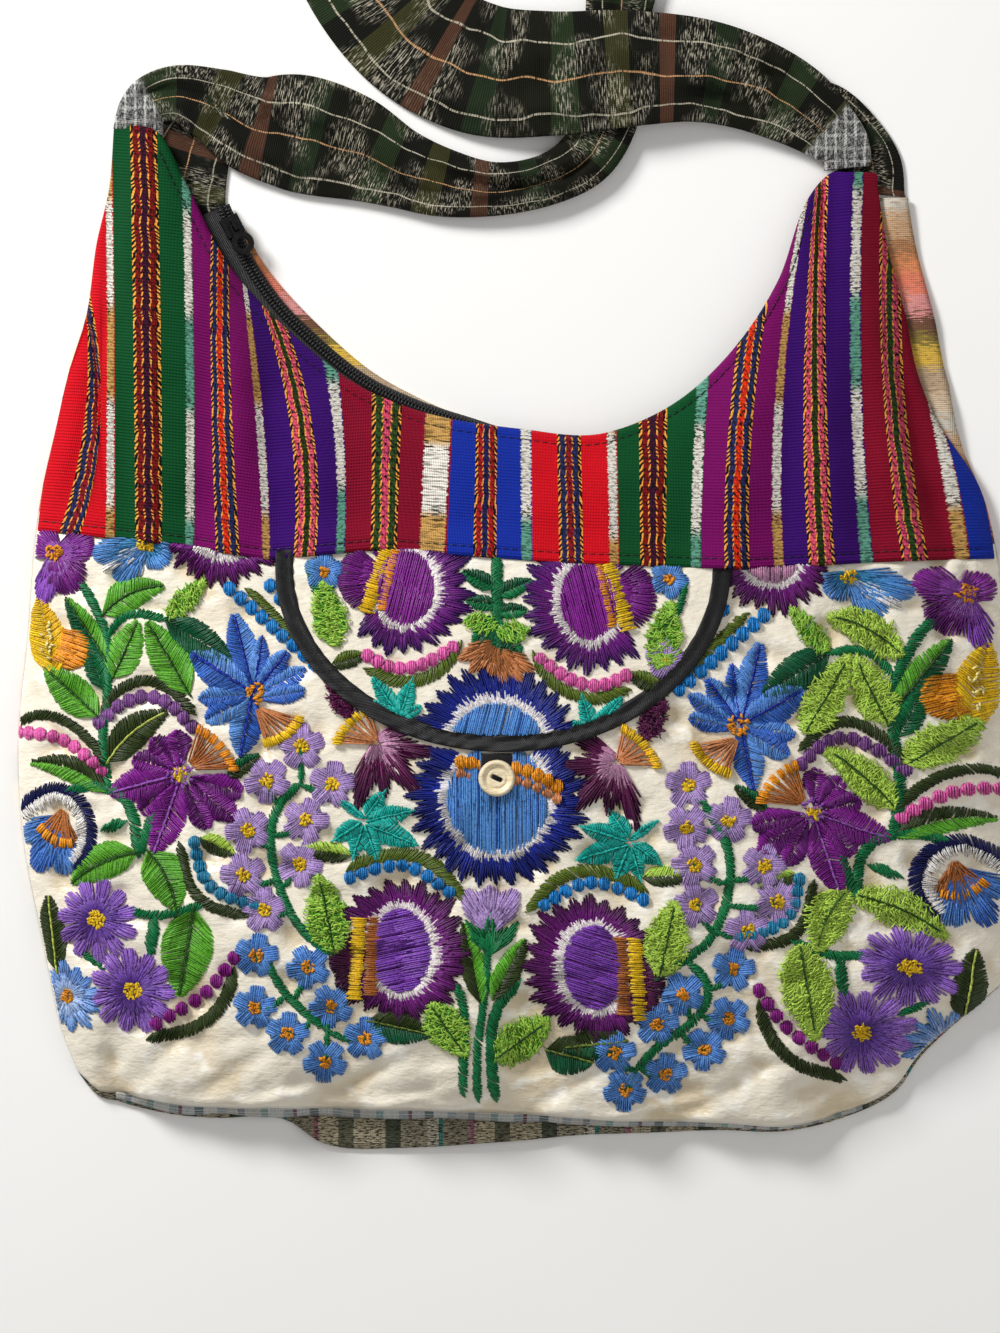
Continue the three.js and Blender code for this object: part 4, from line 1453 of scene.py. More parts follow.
RED = ("C6081A", "232A5A", "8A1420")
PINE = ("054822", "7A1010", "3A0D2A")
MAGENTA = ("72065A", "232A5A", "E03010")
PURPLE = ("370866", "E0506A", "2A3A10")
BLUE = ("122C98", "B01A22", "1C2058")
BANDS = (
    Band(*RED, 9.4, 9.0, 10.3, 4.1, 0), Band(*PINE, 8.6, 11.1, 9.0, 4.1, 1),
    Band(*MAGENTA, 9.0, 9.8, 9.0, 3.3, 0), Band(*PURPLE, 9.4, 9.0, 7.8, 4.1, 1),
    Band("820826", "2C4A1C", "D8486A", 10.3, 10.7, 8.2, 11.9, 0, 0.55), Band(*BLUE, 10.7, 9.4, 9.8, 4.9, 1),
    Band(*RED, 10.7, 9.8, 10.3, 4.1, 0), Band(*PINE, 8.6, 10.3, 9.8, 4.5, 1),
    Band(*MAGENTA, 9.4, 10.3, 9.8, 4.5, 0), Band(*PURPLE, 9.8, 10.7, 10.3, 5.7, 1),
    Band("820826", "D8486A", "2C4A1C", 11.5, 11.1, 11.1, 6.6, 0), Band(*BLUE, 10.7, 0, 0, 0, 1),
)


@dataclass(frozen=True)
class FrontYoke:
    """Striped cloth wall from the cross seam up to the neckline and both horns, on upright warps."""

    PLEAT_STEP = (0.5, -0.5)
    PLEAT_FADE = (-24, -2)
    LIP = 0.6
    LIP_OUT = 1.3
    LIP_SPREAD = 0.7
    NECK_LEFT = (-146, -140)
    NECK_RIGHT = (134, 126)
    thickness: float = 1.2
    rows: int = 70
    hem_lift: float = 1.9
    flap_lift: float = 2.1
    hem_fade: float = 16.0
    hem_roll: float = 1.7
    neck_roll: float = 1.9
    stitch_gap: float = 4.2
    stitch_spread: float = 0.7
    hem_groove: float = 0.5
    neck_groove: float = 0.45
    rope_rise: float = 0.5
    side_trim: float = 0.8
    least_rise: float = 1.3
    least_gap: float = 0.02
    shortest: float = 0.6
    edge_rows: tuple[float, ...] = (0.0, 0.35, 0.8, 1.3, 2.0, 3.0, 4.2, 5.4)
    edge_reach: float = 16.0
    edge_steps: int = 400
    sway: Table = Table("warp middle end", [
        (-194, 0, 0), (-190.7, 4.5, 9), (-184.5, 9.6, 10.7), (-176.3, 9.1, 3.7), (-168.1, 1.6, 1.2),
        (-163, 0, -1.6), (-145.5, -1.2, -3.6), (-130, 0, -2.4), (-114, -3.2, -4), (-98, -3, -10),
        (-83, -1, -14.5), (-67, 0, -3.6), (-52, 0.4, 0.8), (-32, 1.2, 2.4), (0, 0, 0), (53, 0, 0),
        (74, 1.2, 3.6), (93, 1.2, 8), (109.5, 0.8, 11.5), (127, -2.8, 0), (145, -4, -2), (165, -8, -9),
        (185, -4, -10), (198.9, -1.6, -4),
    ])
    left_pleat: Table = Table("y x depth", [
        (16, -162.6, 0), (23.4, -163.2, 0.6), (39.8, -164.8, 2), (57, -166.5, 2.7), (75, -167.7, 2.7),
        (88.6, -170.2, 2.4), (97.6, -173, 1.6), (106, -176, 0),
    ])
    right_pleat: Table = Table("y x depth", [
        (104, 125.6, 0), (120.5, 126.7, 1.4), (136, 128.3, 2.2), (152, 129.2, 2.0), (158, 129.4, 1.4),
    ])
    folds: Rows = (
        (-113, 5, -106, 105, 9, 2.4), (-126, 5, -120, 100, 7, -2.0), (-92, 0, -101, 75, 7, -2.2),
        (-72, 0, -78, 65, 8, 1.8), (-146, 8, -149, 125, 9, 1.8), (-156, 8, -158, 110, 5, -1.4),
        (-30, 0, -34, 55, 9, -1.2), (40, -4, 44, 52, 10, 1.2), (70, -4, 80, 70, 8, -1.8),
        (90, -4, 99, 95, 8, 2.2), (110, -3, 118, 115, 7, -2.4), (131, -3, 124, 110, 7, 2.2),
        (146, -2, 139, 120, 6, -1.8), (162, -2, 147, 95, 8, 2.4), (180, -1, 161, 80, 7, -2.4),
    )
    ripple: Crinkle = Crinkle(seed=23, shortest=18, longest=60, depth=0.4, ridged=0.2)

    def stripes(self) -> list[tuple[StripeKind, Band, float]]:
        """Kind, band and width of each stripe, from left to right.

        Returns:
            One entry for each stripe.
        """
        kinds = (StripeKind.PLAIN, StripeKind.ROPE, StripeKind.PLAIN, StripeKind.DYED)
        found = [(kind, band, width) for band in BANDS
                 for kind, width in zip(kinds, (band.first, band.rope, band.second, band.dyed))]
        return [stripe for stripe in found if stripe[2] > 0]

    def columns(self) -> tuple[Array, Array, list]:
        """Place across, stripe coordinate, and the stripe of each mesh column.

        Returns:
            The three lists, one entry for each column.
        """
        stripes = self.stripes()
        shares, places, owners = [0.0], [0.0], []
        start = 0.0
        for number, (kind, band, width) in enumerate(stripes):
            for part in range(1, kind.value + 1):
                shares.append(start + width * part / kind.value)
                places.append(number + part / kind.value)
                owners.append((kind, band))
            start += width
        low, high = FORM.seam.values[0, 0] + self.side_trim, FORM.seam.values[-1, 0] - self.side_trim
        return mix(low, high, np.array(shares) / start), np.array(places), owners

    def swayed(self, warp: Array, share: Array) -> Array:
        """Place across of a warp at a share of its length, with the sway of the folded cloth."""
        middle, end = self.sway.read("middle", warp), self.sway.read("end", warp)
        return warp + 4 * share * (1 - share) * middle + share * (2 * share - 1) * end

    def top(self, x: Array) -> Pair:
        """Upper end of the warps, along sides, horns and neckline, and how steep it is there.

        Args:
            x: Places across.

        Returns:
            Places up the bag, and their rise to each millimetre across.
        """
        share = np.linspace(0, 1, self.edge_steps)
        ends = np.zeros_like(share)
        edges = ((ends, share), (share, ends + 1), (ends + 1, 1 - share))
        edge_x, edge_y = (np.concatenate(axis) for axis in zip(*(FORM.yoke_plan(*edge) for edge in edges)))
        edge_x = np.maximum.accumulate(edge_x)
        probe = 1.2
        rise = np.interp(x + probe, edge_x, edge_y) - np.interp(x - probe, edge_x, edge_y)
        return np.interp(x, edge_x, edge_y), rise / (2 * probe)

    def surface(self, x: Array, y: Array) -> Array:
        """Height of the outer face above the floor, without the ropes.

        Args:
            x: Places across.
            y: Places up the bag.

        Returns:
            Heights above the floor.
        """
        top, steep = self.top(x)
        up = np.maximum(0, y - FORM.seam_y(x))
        down = np.maximum(0, top - y) / np.hypot(1, steep)
        edge = ramp_up(0, 9, FORM.inset(x, y))
        over_flap = ramp_up(10, -2, np.abs(x - FLAP.centre) - FLAP.half - FLAP.binding)
        lift = (self.hem_lift + self.flap_lift * over_flap) * ramp_up(self.hem_fade, 0, up)
        z = FORM.yoke_height(x, y, top) + lift * mix(0.5, 1, edge)
        z = z + (self.ripple.at(x, y) + slanting_folds(self.folds, x, y)) * edge
        for pleat in (self.left_pleat, self.right_pleat):
            beside = x - pleat.read("x", y)
            step = ramp_up(*self.PLEAT_STEP, beside) * ramp_up(*self.PLEAT_FADE, beside)
            lip = self.LIP * bell(beside + self.LIP_OUT, self.LIP_SPREAD)
            z = z - pleat.read("depth", y) * (step + lip)
        open_neck = ramp_up(*self.NECK_LEFT, x) * ramp_up(*self.NECK_RIGHT, x)
        for gap, roll, groove, share in ((up, self.hem_roll, self.hem_groove, 1.0),
                                         (down, self.neck_roll, self.neck_groove, open_neck)):
            seam = groove * bell(gap - self.stitch_gap, self.stitch_spread)
            z -= (quarter_round(gap, roll) + seam) * share
        return np.maximum(z, FORM.RIM + self.least_rise)

    def build(self, finishes: Finishes) -> None:
        """Make and dress the yoke.

        Args:
            finishes: The bag's finishes.
        """
        warps, places, owners = self.columns()
        order = self.least_gap * np.arange(len(warps))
        ends = np.maximum.accumulate(self.swayed(warps, np.ones_like(warps)) - order) + order
        low, high = FORM.seam_y(warps), self.top(ends)[0]
        length = np.maximum(self.shortest, high - low)
        near = np.array(self.edge_rows)[:, None] * np.minimum(1, length / self.edge_reach)
        inner = self.rows - 2 * len(self.edge_rows) + 2
        middle = mix(near[-1], length - near[-1], np.linspace(0, 1, inner)[1:-1, None])
        up = np.concatenate([near, middle, (length - near)[::-1]])
        x = self.swayed(np.broadcast_to(warps, up.shape), up / length)
        x = np.maximum.accumulate(x - order, axis=1) + order
        hump = np.sin(np.pi * (places % 1)) ** 0.8
        roped = np.array([False] + [kind is StripeKind.ROPE for kind, _ in owners])
        y = low + up
        z = self.surface(x, y) + self.rope_rise * hump * roped * ramp_up(0, 6, FORM.inset(x, y))
        flat = stack(places, up)
        piece = cloth_wall("front_yoke_stripes", stack(x, y, z), self.thickness, flat, FORM.RIM)
        self.paint(piece, owners, len(warps))
        present(piece, finishes.striped, ["front_yoke"])

    @staticmethod
    def paint(piece: Object, owners: list, wide: int) -> None:
        """Colour each face by its stripe.

        Args:
            piece: The yoke.
            owners: Kind and band of each mesh column.
            wide: Number of points in a row.
        """
        column = np.array([min(v % wide for v in face.vertices) for face in piece.data.polygons])
        column = np.minimum(column, len(owners) - 1)
        for name in ("ground", "strand", "core"):
            colours = [linear(getattr(band, name)) for _, band in owners]
            paint_corners(piece, name, np.array(colours)[column])
        kinds = [(kind is StripeKind.ROPE, kind is StripeKind.DYED, band.cool, band.quick)
                 for kind, band in owners]
        paint_corners(piece, "kind", np.array(kinds, float)[column])


@dataclass(frozen=True)
class BackPanel:
    """Warm tie-dyed wall that lies on the floor, with a loose fold past the hem."""

    BESIDE_YOKE = (30, 75)
    FOLD_STRETCH = (4.0, 17.0)
    FOLD_SAG = (6, 12)
    WAVE_STRETCH = (0.5, 13.0)
    WAVE_FROM = (20, 60)
    thickness: float = 1.6
    columns: int = 120
    rows: int = 44
    left_top: float = 132.0
    left_inner: float = -116.0
    right_top: float = 147.0
    right_inner: float = 128.0
    right_reach: float = 11.5
    side_reach: float = 0.3
    least_sag: float = 0.4
    neck_from: float = 0.215
    neck_to: float = 0.8
    neck_blend: float = 0.015
    fold_rise: float = 2.4
    wave_rise: float = 1.1
    wave_length: float = 7.0

    def low(self, u: Array) -> Pair:
        """Bottom edge, past the hem.

        Args:
            u: Shares across.

        Returns:
            Places across and up the bag.
        """
        x, y = FORM.hem.pair(u)
        px, py = FORM.past(FORM.hem, u)
        out = np.maximum(self.least_sag, FORM.sag.read("out", u))
        return x - px * out, y - py * out

    def left(self, v: Array) -> Pair:
        """Left edge."""
        y = mix(self.low(np.array(0.0))[1], self.left_top, v)
        return FORM.sides.read("left", y) - self.side_reach, y

    def right(self, v: Array) -> Pair:
        """Right edge, which shows beside the yoke.

        Args:
            v: Shares from the bottom up.

        Returns:
            Places across and up the bag.
        """
        y = mix(self.low(np.array(1.0))[1], self.right_top, v)
        beside = self.right_reach * ramp_up(*self.BESIDE_YOKE, y)
        return FORM.sides.read("right", y) + self.side_reach + beside, y

    def turns(self) -> tuple[float, float]:
        """Shares at which the top edge turns into the horns."""
        return self.neck_from - self.neck_blend, self.neck_to + self.neck_blend

    def high(self, u: Array) -> Pair:
        """Top edge: left horn, behind the zip, right horn.

        Args:
            u: Shares across.

        Returns:
            Places across and up the bag.
        """
        held = np.clip(u, self.neck_from, self.neck_to)
        x, y = FORM.neck.pair(held)
        px, py = FORM.past(FORM.neck, held)
        reach = FORM.mouth.read("back", held)
        x, y = x + px * reach, y + py * reach
        left_x, right_x = self.left(np.array(1.0))[0], self.right(np.array(1.0))[0]
        start, turn = self.turns()
        near, far = np.clip(u / start, 0, 1), np.clip((u - turn) / (1 - turn), 0, 1)
        x = np.where(u < start, mix(left_x, self.left_inner, near), x)
        x = np.where(u > turn, mix(self.right_inner, right_x, far), x)
        return x, np.where(u < start, self.left_top, np.where(u > turn, self.right_top, y))

    def build(self, finishes: Finishes) -> None:
        """Make and dress the panel.

        Args:
            finishes: The bag's finishes.
        """
        start, turn = self.turns()
        marks = [start, self.neck_from, self.neck_to, turn]
        across = np.unique(np.concatenate([np.linspace(0, 1, self.columns), marks]))
        u, v = np.meshgrid(across, eased(self.rows, 0.7))
        x, y = FORM.patch(self.low, self.high, self.left, self.right)(u, v)
        below = np.interp(x, *FORM.hem.pair(across)) - y
        sagging = ramp_up(*self.FOLD_SAG, FORM.sag.read("out", u))
        fold = self.fold_rise * window(below, *self.FOLD_STRETCH) * sagging
        beside = x - FORM.sides.read("right", y)
        wave = self.wave_rise * window(beside, *self.WAVE_STRETCH) * (1 + np.sin(y / self.wave_length))
        z = self.thickness + fold + wave * ramp_up(*self.WAVE_FROM, y)
        piece = cloth_wall("back_panel_ikat", stack(x, y, z), self.thickness, stack(x, y))
        present(piece, finishes.warm_ikat, ["back_panel"])


@dataclass(frozen=True)
class BaseStrip:
    """Pale plaid wall under the hem that leans out to the back panel."""

    panel: FrontPanel
    start: float = 0.055
    end: float = 0.865
    columns: int = 240
    rows: int = 9
    thickness: float = 1.2
    bulge: float = 0.9
    below_hem: float = 0.7
    least_high: float = 1.5
    least_reach: float = 0.2
    under: float = 0.4
    cloth_wide: float = 14.0
    ripple: Crinkle = Crinkle(seed=41, shortest=9, longest=40, depth=0.35, ridged=0.3)

    def build(self, finishes: Finishes) -> None:
        """Make and dress the strip, which hangs from the panel's hem.

        Args:
            finishes: The bag's finishes.
        """
        u, w = np.meshgrid(np.linspace(self.start, self.end, self.columns), np.linspace(0, 1, self.rows))
        x, y = FORM.hem.pair(u)
        px, py = FORM.past(FORM.hem, u)
        top = self.panel.height(x, y) - self.panel.roll - self.below_hem
        reach = FORM.lean.read("out", u) * w ** 0.8 + self.bulge * np.sin(np.pi * w)
        reach = np.maximum(reach + self.ripple.at(x, w * 9), self.least_reach) - self.under
        z = mix(np.maximum(top, FORM.RIM + self.least_high), FORM.RIM, w)
        outer = stack(x - px * reach, y - py * reach, z)
        flat = stack(w * self.cloth_wide, row_run(x, y))
        piece = cloth_wall("base_strip_plaid", outer, self.thickness, flat, FORM.RIM - FORM.GAP)
        present(piece, finishes.pale_plaid, ["base_strip"])


@dataclass(frozen=True)
class PocketFlap:
    """Embroidered flap with a black binding, a tab and a button."""

    BINDING_IN = 0.6
    BINDING_SPARE = 0.5
    BINDING_SQUARE = 0.7
    BINDING_FLAT = 0.55
    WRINKLE = 0.5
    WRINKLES = 190
    WRINKLE_SLANT = 0.9
    WRINKLE_DRIFT = 4
    DRIFTS = 31
    PIPING = 0.9
    PIPING_AT = 1.6
    PIPING_SPREAD = 0.55
    TAB_COLUMNS = 22
    TAB_ROWS = 26
    TAB_STITCH = 0.8
    TAB_STITCH_SPREAD = 0.06
    INNER_RINGS = (0.02, 0.45, 16)
    OUTER_RINGS = (0.47, 1, 20)
    SLOT_EDGE = (0.35, -0.15)
    SLOT_HALF = 1.7
    SLOT_WIDE = 0.75
    SLOT_DEPTH = 1.1
    BUTTON_FOOT = 0.96
    columns: int = 120
    rows: int = 46
    thickness: float = 1.2
    edge_from: float = 0.02
    tuck: float = 4.5
    sink: float = 1.8
    deepest: float = 1.0
    binding_thick: float = 2.5
    binding_steps: int = 190
    binding_sides: int = 22
    binding_over: float = 0.03
    binding_tuck: float = 3.5
    button_x: float = -5.4
    button_y: float = -89.8
    button_radius: float = 7.4
    button_thick: float = 2.9
    button_tilt: float = math.radians(-24)
    button_spokes: int = 72
    tab_width: float = 12.0
    tab_top: float = -79.8
    tab_bottom: float = -94.0
    tab_thick: float = 1.2
    tab_round: float = 0.35
    tab_groove: float = 0.2
    pucker: Crinkle = Crinkle(seed=31, shortest=10, longest=32, depth=0.4)
    button_profile: Table = Table("share rise", [
        (0, 0.58), (0.3, 0.6), (0.5, 0.6), (0.56, 0.5), (0.64, 0.62), (0.74, 0.9), (0.84, 1.0), (0.93, 0.9),
        (1.0, 0.56),
    ])

    def creases(self, x: Array, y: Array) -> Array:
        """Puckers of the flap, calm along its edge."""
        return self.pucker.at(x, y) * ramp_up(0, -9, FLAP.beyond(x, y))

    def height(self, x: Array, y: Array) -> Array:
        """Height of the flap's outer face."""
        return FORM.panel_height(x, y) + FLAP.lift + FLAP.cloth + self.creases(x, y)

    def build(self, finishes: Finishes) -> None:
        """Make and dress the flap, its binding, the tab and the button.

        Args:
            finishes: The bag's finishes.
        """
        u, v = np.meshgrid(np.linspace(self.edge_from, 1 - self.edge_from, self.columns),
                           np.linspace(0, 1, self.rows))
        x, low = FLAP.edge(u, np.zeros_like(u))
        y = mix(FORM.seam_y(x) + self.tuck, low, v)
        sunk = self.sink * ramp_up(0.4, 2.6, y - FORM.seam_y(x))
        outer = stack(x, y, self.height(x, y) - sunk)
        flap = cloth_wall("pocket_flap_satin", outer, self.thickness, stack(x, y), FORM.RIM)
        mark_painted_crease_shade(flap, self.creases(x, y), self.deepest)
        present(flap, finishes.satin, ["pocket_flap"])
        self.build_binding(finishes)
        self.build_tab(finishes)
        self.build_button(finishes)

    def build_binding(self, finishes: Finishes) -> None:
        """Make and dress the bias binding with its piping line.

        Args:
            finishes: The bag's finishes.
        """
        shares = np.linspace(-self.binding_over, 1 + self.binding_over, self.binding_steps)
        turns = np.arange(self.binding_sides) / self.binding_sides * TURN
        share, turn = np.meshgrid(shares, turns, indexing="ij")
        half = FLAP.binding / 2
        swing = (half + self.BINDING_SPARE) * powered(np.cos(turn), self.BINDING_SQUARE)
        offset = FORM.GAP + half - self.BINDING_IN - swing
        level = (1 + powered(np.sin(turn), self.BINDING_FLAT)) / 2
        x, y = FLAP.edge(share, offset)
        drift = self.WRINKLE_DRIFT * np.sin(share * self.DRIFTS)
        wrinkle = self.WRINKLE * np.sin(share * self.WRINKLES + offset * self.WRINKLE_SLANT + drift) * level
        piping = -self.PIPING * bell(offset - (FORM.GAP + self.PIPING_AT), self.PIPING_SPREAD) * level
        z = FORM.panel_height(x, y) + FLAP.lift + level * self.binding_thick + wrinkle + piping
        rings = stack(x, np.minimum(y, FORM.seam_y(x) + self.binding_tuck), z)
        run = share * math.pi * (FLAP.half + FLAP.depth) / 2
        binding = tube("flap_binding_black", rings, stack(offset, run))
        present(binding, finishes.black_cloth, ["flap_binding"])

    def seat(self) -> float:
        """Height of the front under the button."""
        return float(FORM.panel_height(np.array(self.button_x), np.array(self.button_y))) + 2 * FORM.GAP

    def build_tab(self, finishes: Finishes) -> None:
        """Make and dress the cloth tab behind the button.

        Args:
            finishes: The bag's finishes.
        """
        s, t = np.meshgrid(np.linspace(-1, 1, self.TAB_COLUMNS), np.linspace(-1, 1, self.TAB_ROWS))
        x = self.button_x + s * self.tab_width / 2
        y = mix(self.tab_bottom, self.tab_top, (t + 1) / 2)
        groove = self.tab_groove * bell(np.abs(s) - self.TAB_STITCH, self.TAB_STITCH_SPREAD)
        fall = self.tab_round * (s ** 6 + t ** 6) + groove
        z = self.seat() + FORM.GAP + self.tab_thick - fall
        tab = cloth_wall("button_tab_black", stack(x, y, z), self.tab_thick - 0.1, stack(x, y))
        present(tab, finishes.black_cloth, ["button_tab"])

    def button_ways(self) -> tuple[Array, Array]:
        """Ways along and across the button's slot."""
        way = np.array([math.cos(self.button_tilt), math.sin(self.button_tilt)])
        return way, np.array([-way[1], way[0]])

    def build_button(self, finishes: Finishes) -> None:
        """Make and dress the button: raised rim, sunk ring and a slot of two holes.

        Args:
            finishes: The bag's finishes.
        """
        under = self.tab_thick + 2 * FORM.GAP
        ring = np.concatenate([np.linspace(*self.INNER_RINGS), np.linspace(*self.OUTER_RINGS)])
        turn = np.arange(self.button_spokes) / self.button_spokes * TURN
        r, a = np.meshgrid(ring, turn, indexing="ij")
        x, y = r * self.button_radius * np.cos(a), r * self.button_radius * np.sin(a)
        along_slot, across = (x * way[0] + y * way[1] for way in self.button_ways())
        from_slot = np.hypot(np.maximum(np.abs(along_slot) - self.SLOT_HALF, 0), across)
        slot = ramp_up(*self.SLOT_EDGE, from_slot - self.SLOT_WIDE)
        top = under + self.button_thick * self.button_profile.read("rise", r) - self.SLOT_DEPTH * slot
        low = stack(x[::-1] * self.BUTTON_FOOT, y[::-1] * self.BUTTON_FOOT, under)
        rings = np.concatenate([stack(x, y, top), low])
        rings += np.array([self.button_x, self.button_y, self.seat()])
        button = tube("button_bone", rings, rings[..., :2])
        present(button, finishes.bone, ["button"])


STRAP_ROWS: Rows = [
    (-152.3, 173.4, 2.4, 20.6, 2.8, 0), (-150.6, 182, 3.6, 19.5, 4, 0.4), (-145.1, 187.2, 4.4, 21, 5, 0.8),
    (-134.5, 189, 4, 24, 5.5, 1), (-121, 184.6, 2.6, 31, 5.5, 1), (-104.6, 177, 0.8, 41, 5.2, 1.2),
    (-86, 173.4, 0, 48, 5, 1.4), (-65.6, 167.7, 0, 44, 5, 1.4), (-45, 159, 0, 33, 6, 1.6),
    (-26.7, 153, 0, 28, 7, 1.6), (-6, 150.5, 0, 22, 8, 1.2), (14.4, 154, 0, 21, 8.4, 1),
    (30, 162.8, 0, 24, 7.5, 1), (38.5, 177, 0, 26, 7, 1), (42.6, 197.6, 0, 28, 6.6, 1),
    (44.3, 222, 0, 27, 6.6, 1), (48.4, 249, 0, 34, 5.6, 1), (54, 281.7, 0, 44, 4.4, 0.8),
    (47, 318.6, 0, 52, 3.8, 0.6), (24.6, 345, 0, 55, 3.6, 0.5), (-10.2, 353.4, 0, 56, 3.6, 0.5),
    (-45, 339, 0, 56, 3.6, 0.5), (-67.6, 308, 0, 56, 3.6, 0.5), (-69.7, 273.5, 0, 56, 3.6, 0.5),
    (-59, 240.7, 0, 55, 3.6, 0.6), (-39, 214, 0, 54, 3.8, 0.8), (-12.3, 199.7, 1.6, 54, 3.8, 0.8),
    (16.4, 197.2, 6.2, 51, 4, 0.8), (45, 198.9, 7.8, 48, 4.2, 0.8), (73.8, 198.9, 6.2, 43, 4.6, 1),
    (96.4, 194, 3.6, 39, 5, 1.2), (116.9, 184.5, 2.6, 34, 5.2, 1.2), (132.6, 172, 2.8, 25, 4.5, 0.8),
    (137.2, 165.4, 2.6, 21, 3.6, 0.4), (138, 159, 2.4, 19, 2.8, 0),
]
LEFT_TAIL_ROWS: Rows = [
    (-137.2, 133.2, 0, 42, 1.8, 0), (-137, 150, 0, 41, 1.8, 0), (-133.5, 166, 0, 38, 1.8, 0),
    (-128.5, 178, 0.4, 32, 2.6, 0), (-120.5, 185.5, 2.8, 24, 4, 0),
]
RIGHT_TAIL_ROWS: Rows = [
    (146, 149, 0, 32.6, 1.8, 0), (147, 161, 0, 26.5, 1.8, 0), (140.5, 174, 0.3, 22, 2.2, 0),
    (131, 183.5, 1.6, 20, 3.4, 0), (119.5, 187, 3, 18, 3.6, 0),
]


# Ridges and grooves: first and last row, place across at both, spread and rise
STRAP_FOLDS: Rows = (
    (4.0, 10.5, 0.75, -0.35, 0.13, 3.6), (4.5, 10.0, 0.35, -0.8, 0.12, -2.0),
    (7.5, 12.5, 0.8, 0.1, 0.16, 2.6), (3.0, 7.0, -0.2, -0.7, 0.16, 2.2),
    (11.5, 16.0, -0.5, 0.4, 0.18, 2.4), (12.0, 17.0, 0.6, -0.1, 0.12, -2.0),
    (23.0, 29.0, -0.75, -0.45, 0.14, 2.2), (24.0, 31.0, 0.35, 0.1, 0.2, 1.6),
    (27.5, 32.0, -0.6, 0.3, 0.12, 2.6), (28.0, 32.5, 0.1, 0.7, 0.1, -2.0),
    (1.0, 6.0, 0.5, -0.2, 0.12, -2.2), (5.0, 9.5, -0.1, -0.6, 0.1, -2.6),
    (8.5, 13.5, 0.3, -0.4, 0.14, -2.4), (20.0, 26.0, -0.3, 0.2, 0.14, -1.8),
    (26.0, 31.5, -0.2, -0.6, 0.12, -2.2), (30.0, 34.0, 0.4, -0.1, 0.12, -2.4),
    (29.0, 33.0, 0.8, 0.2, 0.14, 2.4), (16.0, 24.0, 0.6, 0.5, 0.16, 1.6),
)


@dataclass(frozen=True)
class Strap:
    """One whole plaid loop with a split end on each side."""

    flat_width: float = 58.0
    sides: int = 44
    steps: int = 430
    tail_steps: int = 40
    cuff_left: float = 15.0
    cuff_right: float = 19.0
    left_shift: float = 2000.0
    right_shift: float = 2600.0
    fold_depth: float = 1.5
    crease_spread: float = 0.12
    least_thick: float = 0.7
    crumple: Crinkle = Crinkle(seed=77, shortest=9, longest=34, depth=0.95, ridged=0.5)

    def band(self, name: str, rows: Rows, steps: int, folds: Rows = (), shift: float = 0.0) -> Object:
        """Loft one band of cloth along a table of sections.

        Args:
            name: Name of the piece.
            rows: Middle, underside, width, thickness and crease of each section.
            steps: Number of rings.
            folds: Ridges and grooves on its top.
            shift: Where the band starts along the cloth's pattern.

        Returns:
            The piece.
        """
        route = Table("row x y base width thick crease", [(k, *row) for k, row in enumerate(rows)])
        last, probe = len(rows) - 1, 0.05
        row = np.linspace(0, last, steps)
        path = stack(*route.pair(row))
        before, after = np.maximum(0, row - probe), np.minimum(last, row + probe)
        ahead = stack(*route.pair(after)) - stack(*route.pair(before))
        ahead /= np.linalg.norm(ahead, axis=1, keepdims=True)
        run = run_of(path)[:, None]
        turn = np.arange(self.sides) / self.sides * TURN
        side, level = powered(np.cos(turn), 0.8), powered(np.sin(turn), 0.6)
        base, width, thick, crease = (route.read(column, row)[:, None]
                                      for column in ("base", "width", "thick", "crease"))
        upper = np.clip(level, 0, 1)
        lift = -crease * bell(side, self.crease_spread)
        for start, end, place_from, place_to, spread, rise in folds:
            place = mix(place_from, place_to, (row - start) / (end - start))
            deep = self.fold_depth * rise * window(row, start, end)
            lift += deep[:, None] * bell(side - place[:, None], spread)
        cloth_across, cloth_run = np.broadcast_arrays((side + 1) / 2 * self.flat_width, run)
        lift += self.crumple.at(cloth_across, cloth_run)
        z = thick / 2 * (1 + level) + lift * upper * (1 - np.abs(side) ** 4)
        z = np.maximum(z, self.least_thick * upper) + np.maximum(0, base)
        across = width / 2 * side
        rings = stack(path[:, :1] - ahead[:, 1:] * across, path[:, 1:] + ahead[:, :1] * across, z)
        return tube(name, rings, stack(cloth_across, cloth_run + shift))

    @staticmethod
    def cloth_runs(piece: Object) -> Array:
        """Place of each point along the cloth's pattern.

        Args:
            piece: The strap's mesh object.

        Returns:
            One length for each point.
        """
        layer = piece.data.uv_layers["flat"].uv
        flat = np.empty(len(layer) * 2, np.float32)
        layer.foreach_get("vector", flat)
        corner = np.empty(len(layer), int)
        piece.data.loops.foreach_get("vertex_index", corner)
        run = np.empty(len(piece.data.vertices))
        run[corner] = flat[1::2]
        return run

    def build(self, finishes: Finishes) -> None:
        """Make and dress the strap.

        Args:
            finishes: The bag's finishes.
        """
        loop = self.band("strap_plaid", STRAP_ROWS, self.steps, STRAP_FOLDS)
        length = self.cloth_runs(loop).max()
        left = self.band("left_tail", LEFT_TAIL_ROWS, self.tail_steps, shift=self.left_shift)
        right = self.band("right_tail", RIGHT_TAIL_ROWS, self.tail_steps, shift=self.right_shift)
        strap = join(loop, left, right)
        run = self.cloth_runs(strap)
        pale = ramp_up(self.cuff_left + 1, self.cuff_left - 1, run)
        far = length - self.cuff_right
        pale += ramp_up(far - 1, far + 1, run) * (run <= length)
        mark_points(strap.data, "cuff", "FLOAT", np.clip(pale, 0, 1))
        present(strap, finishes.dark_plaid, ["strap"])


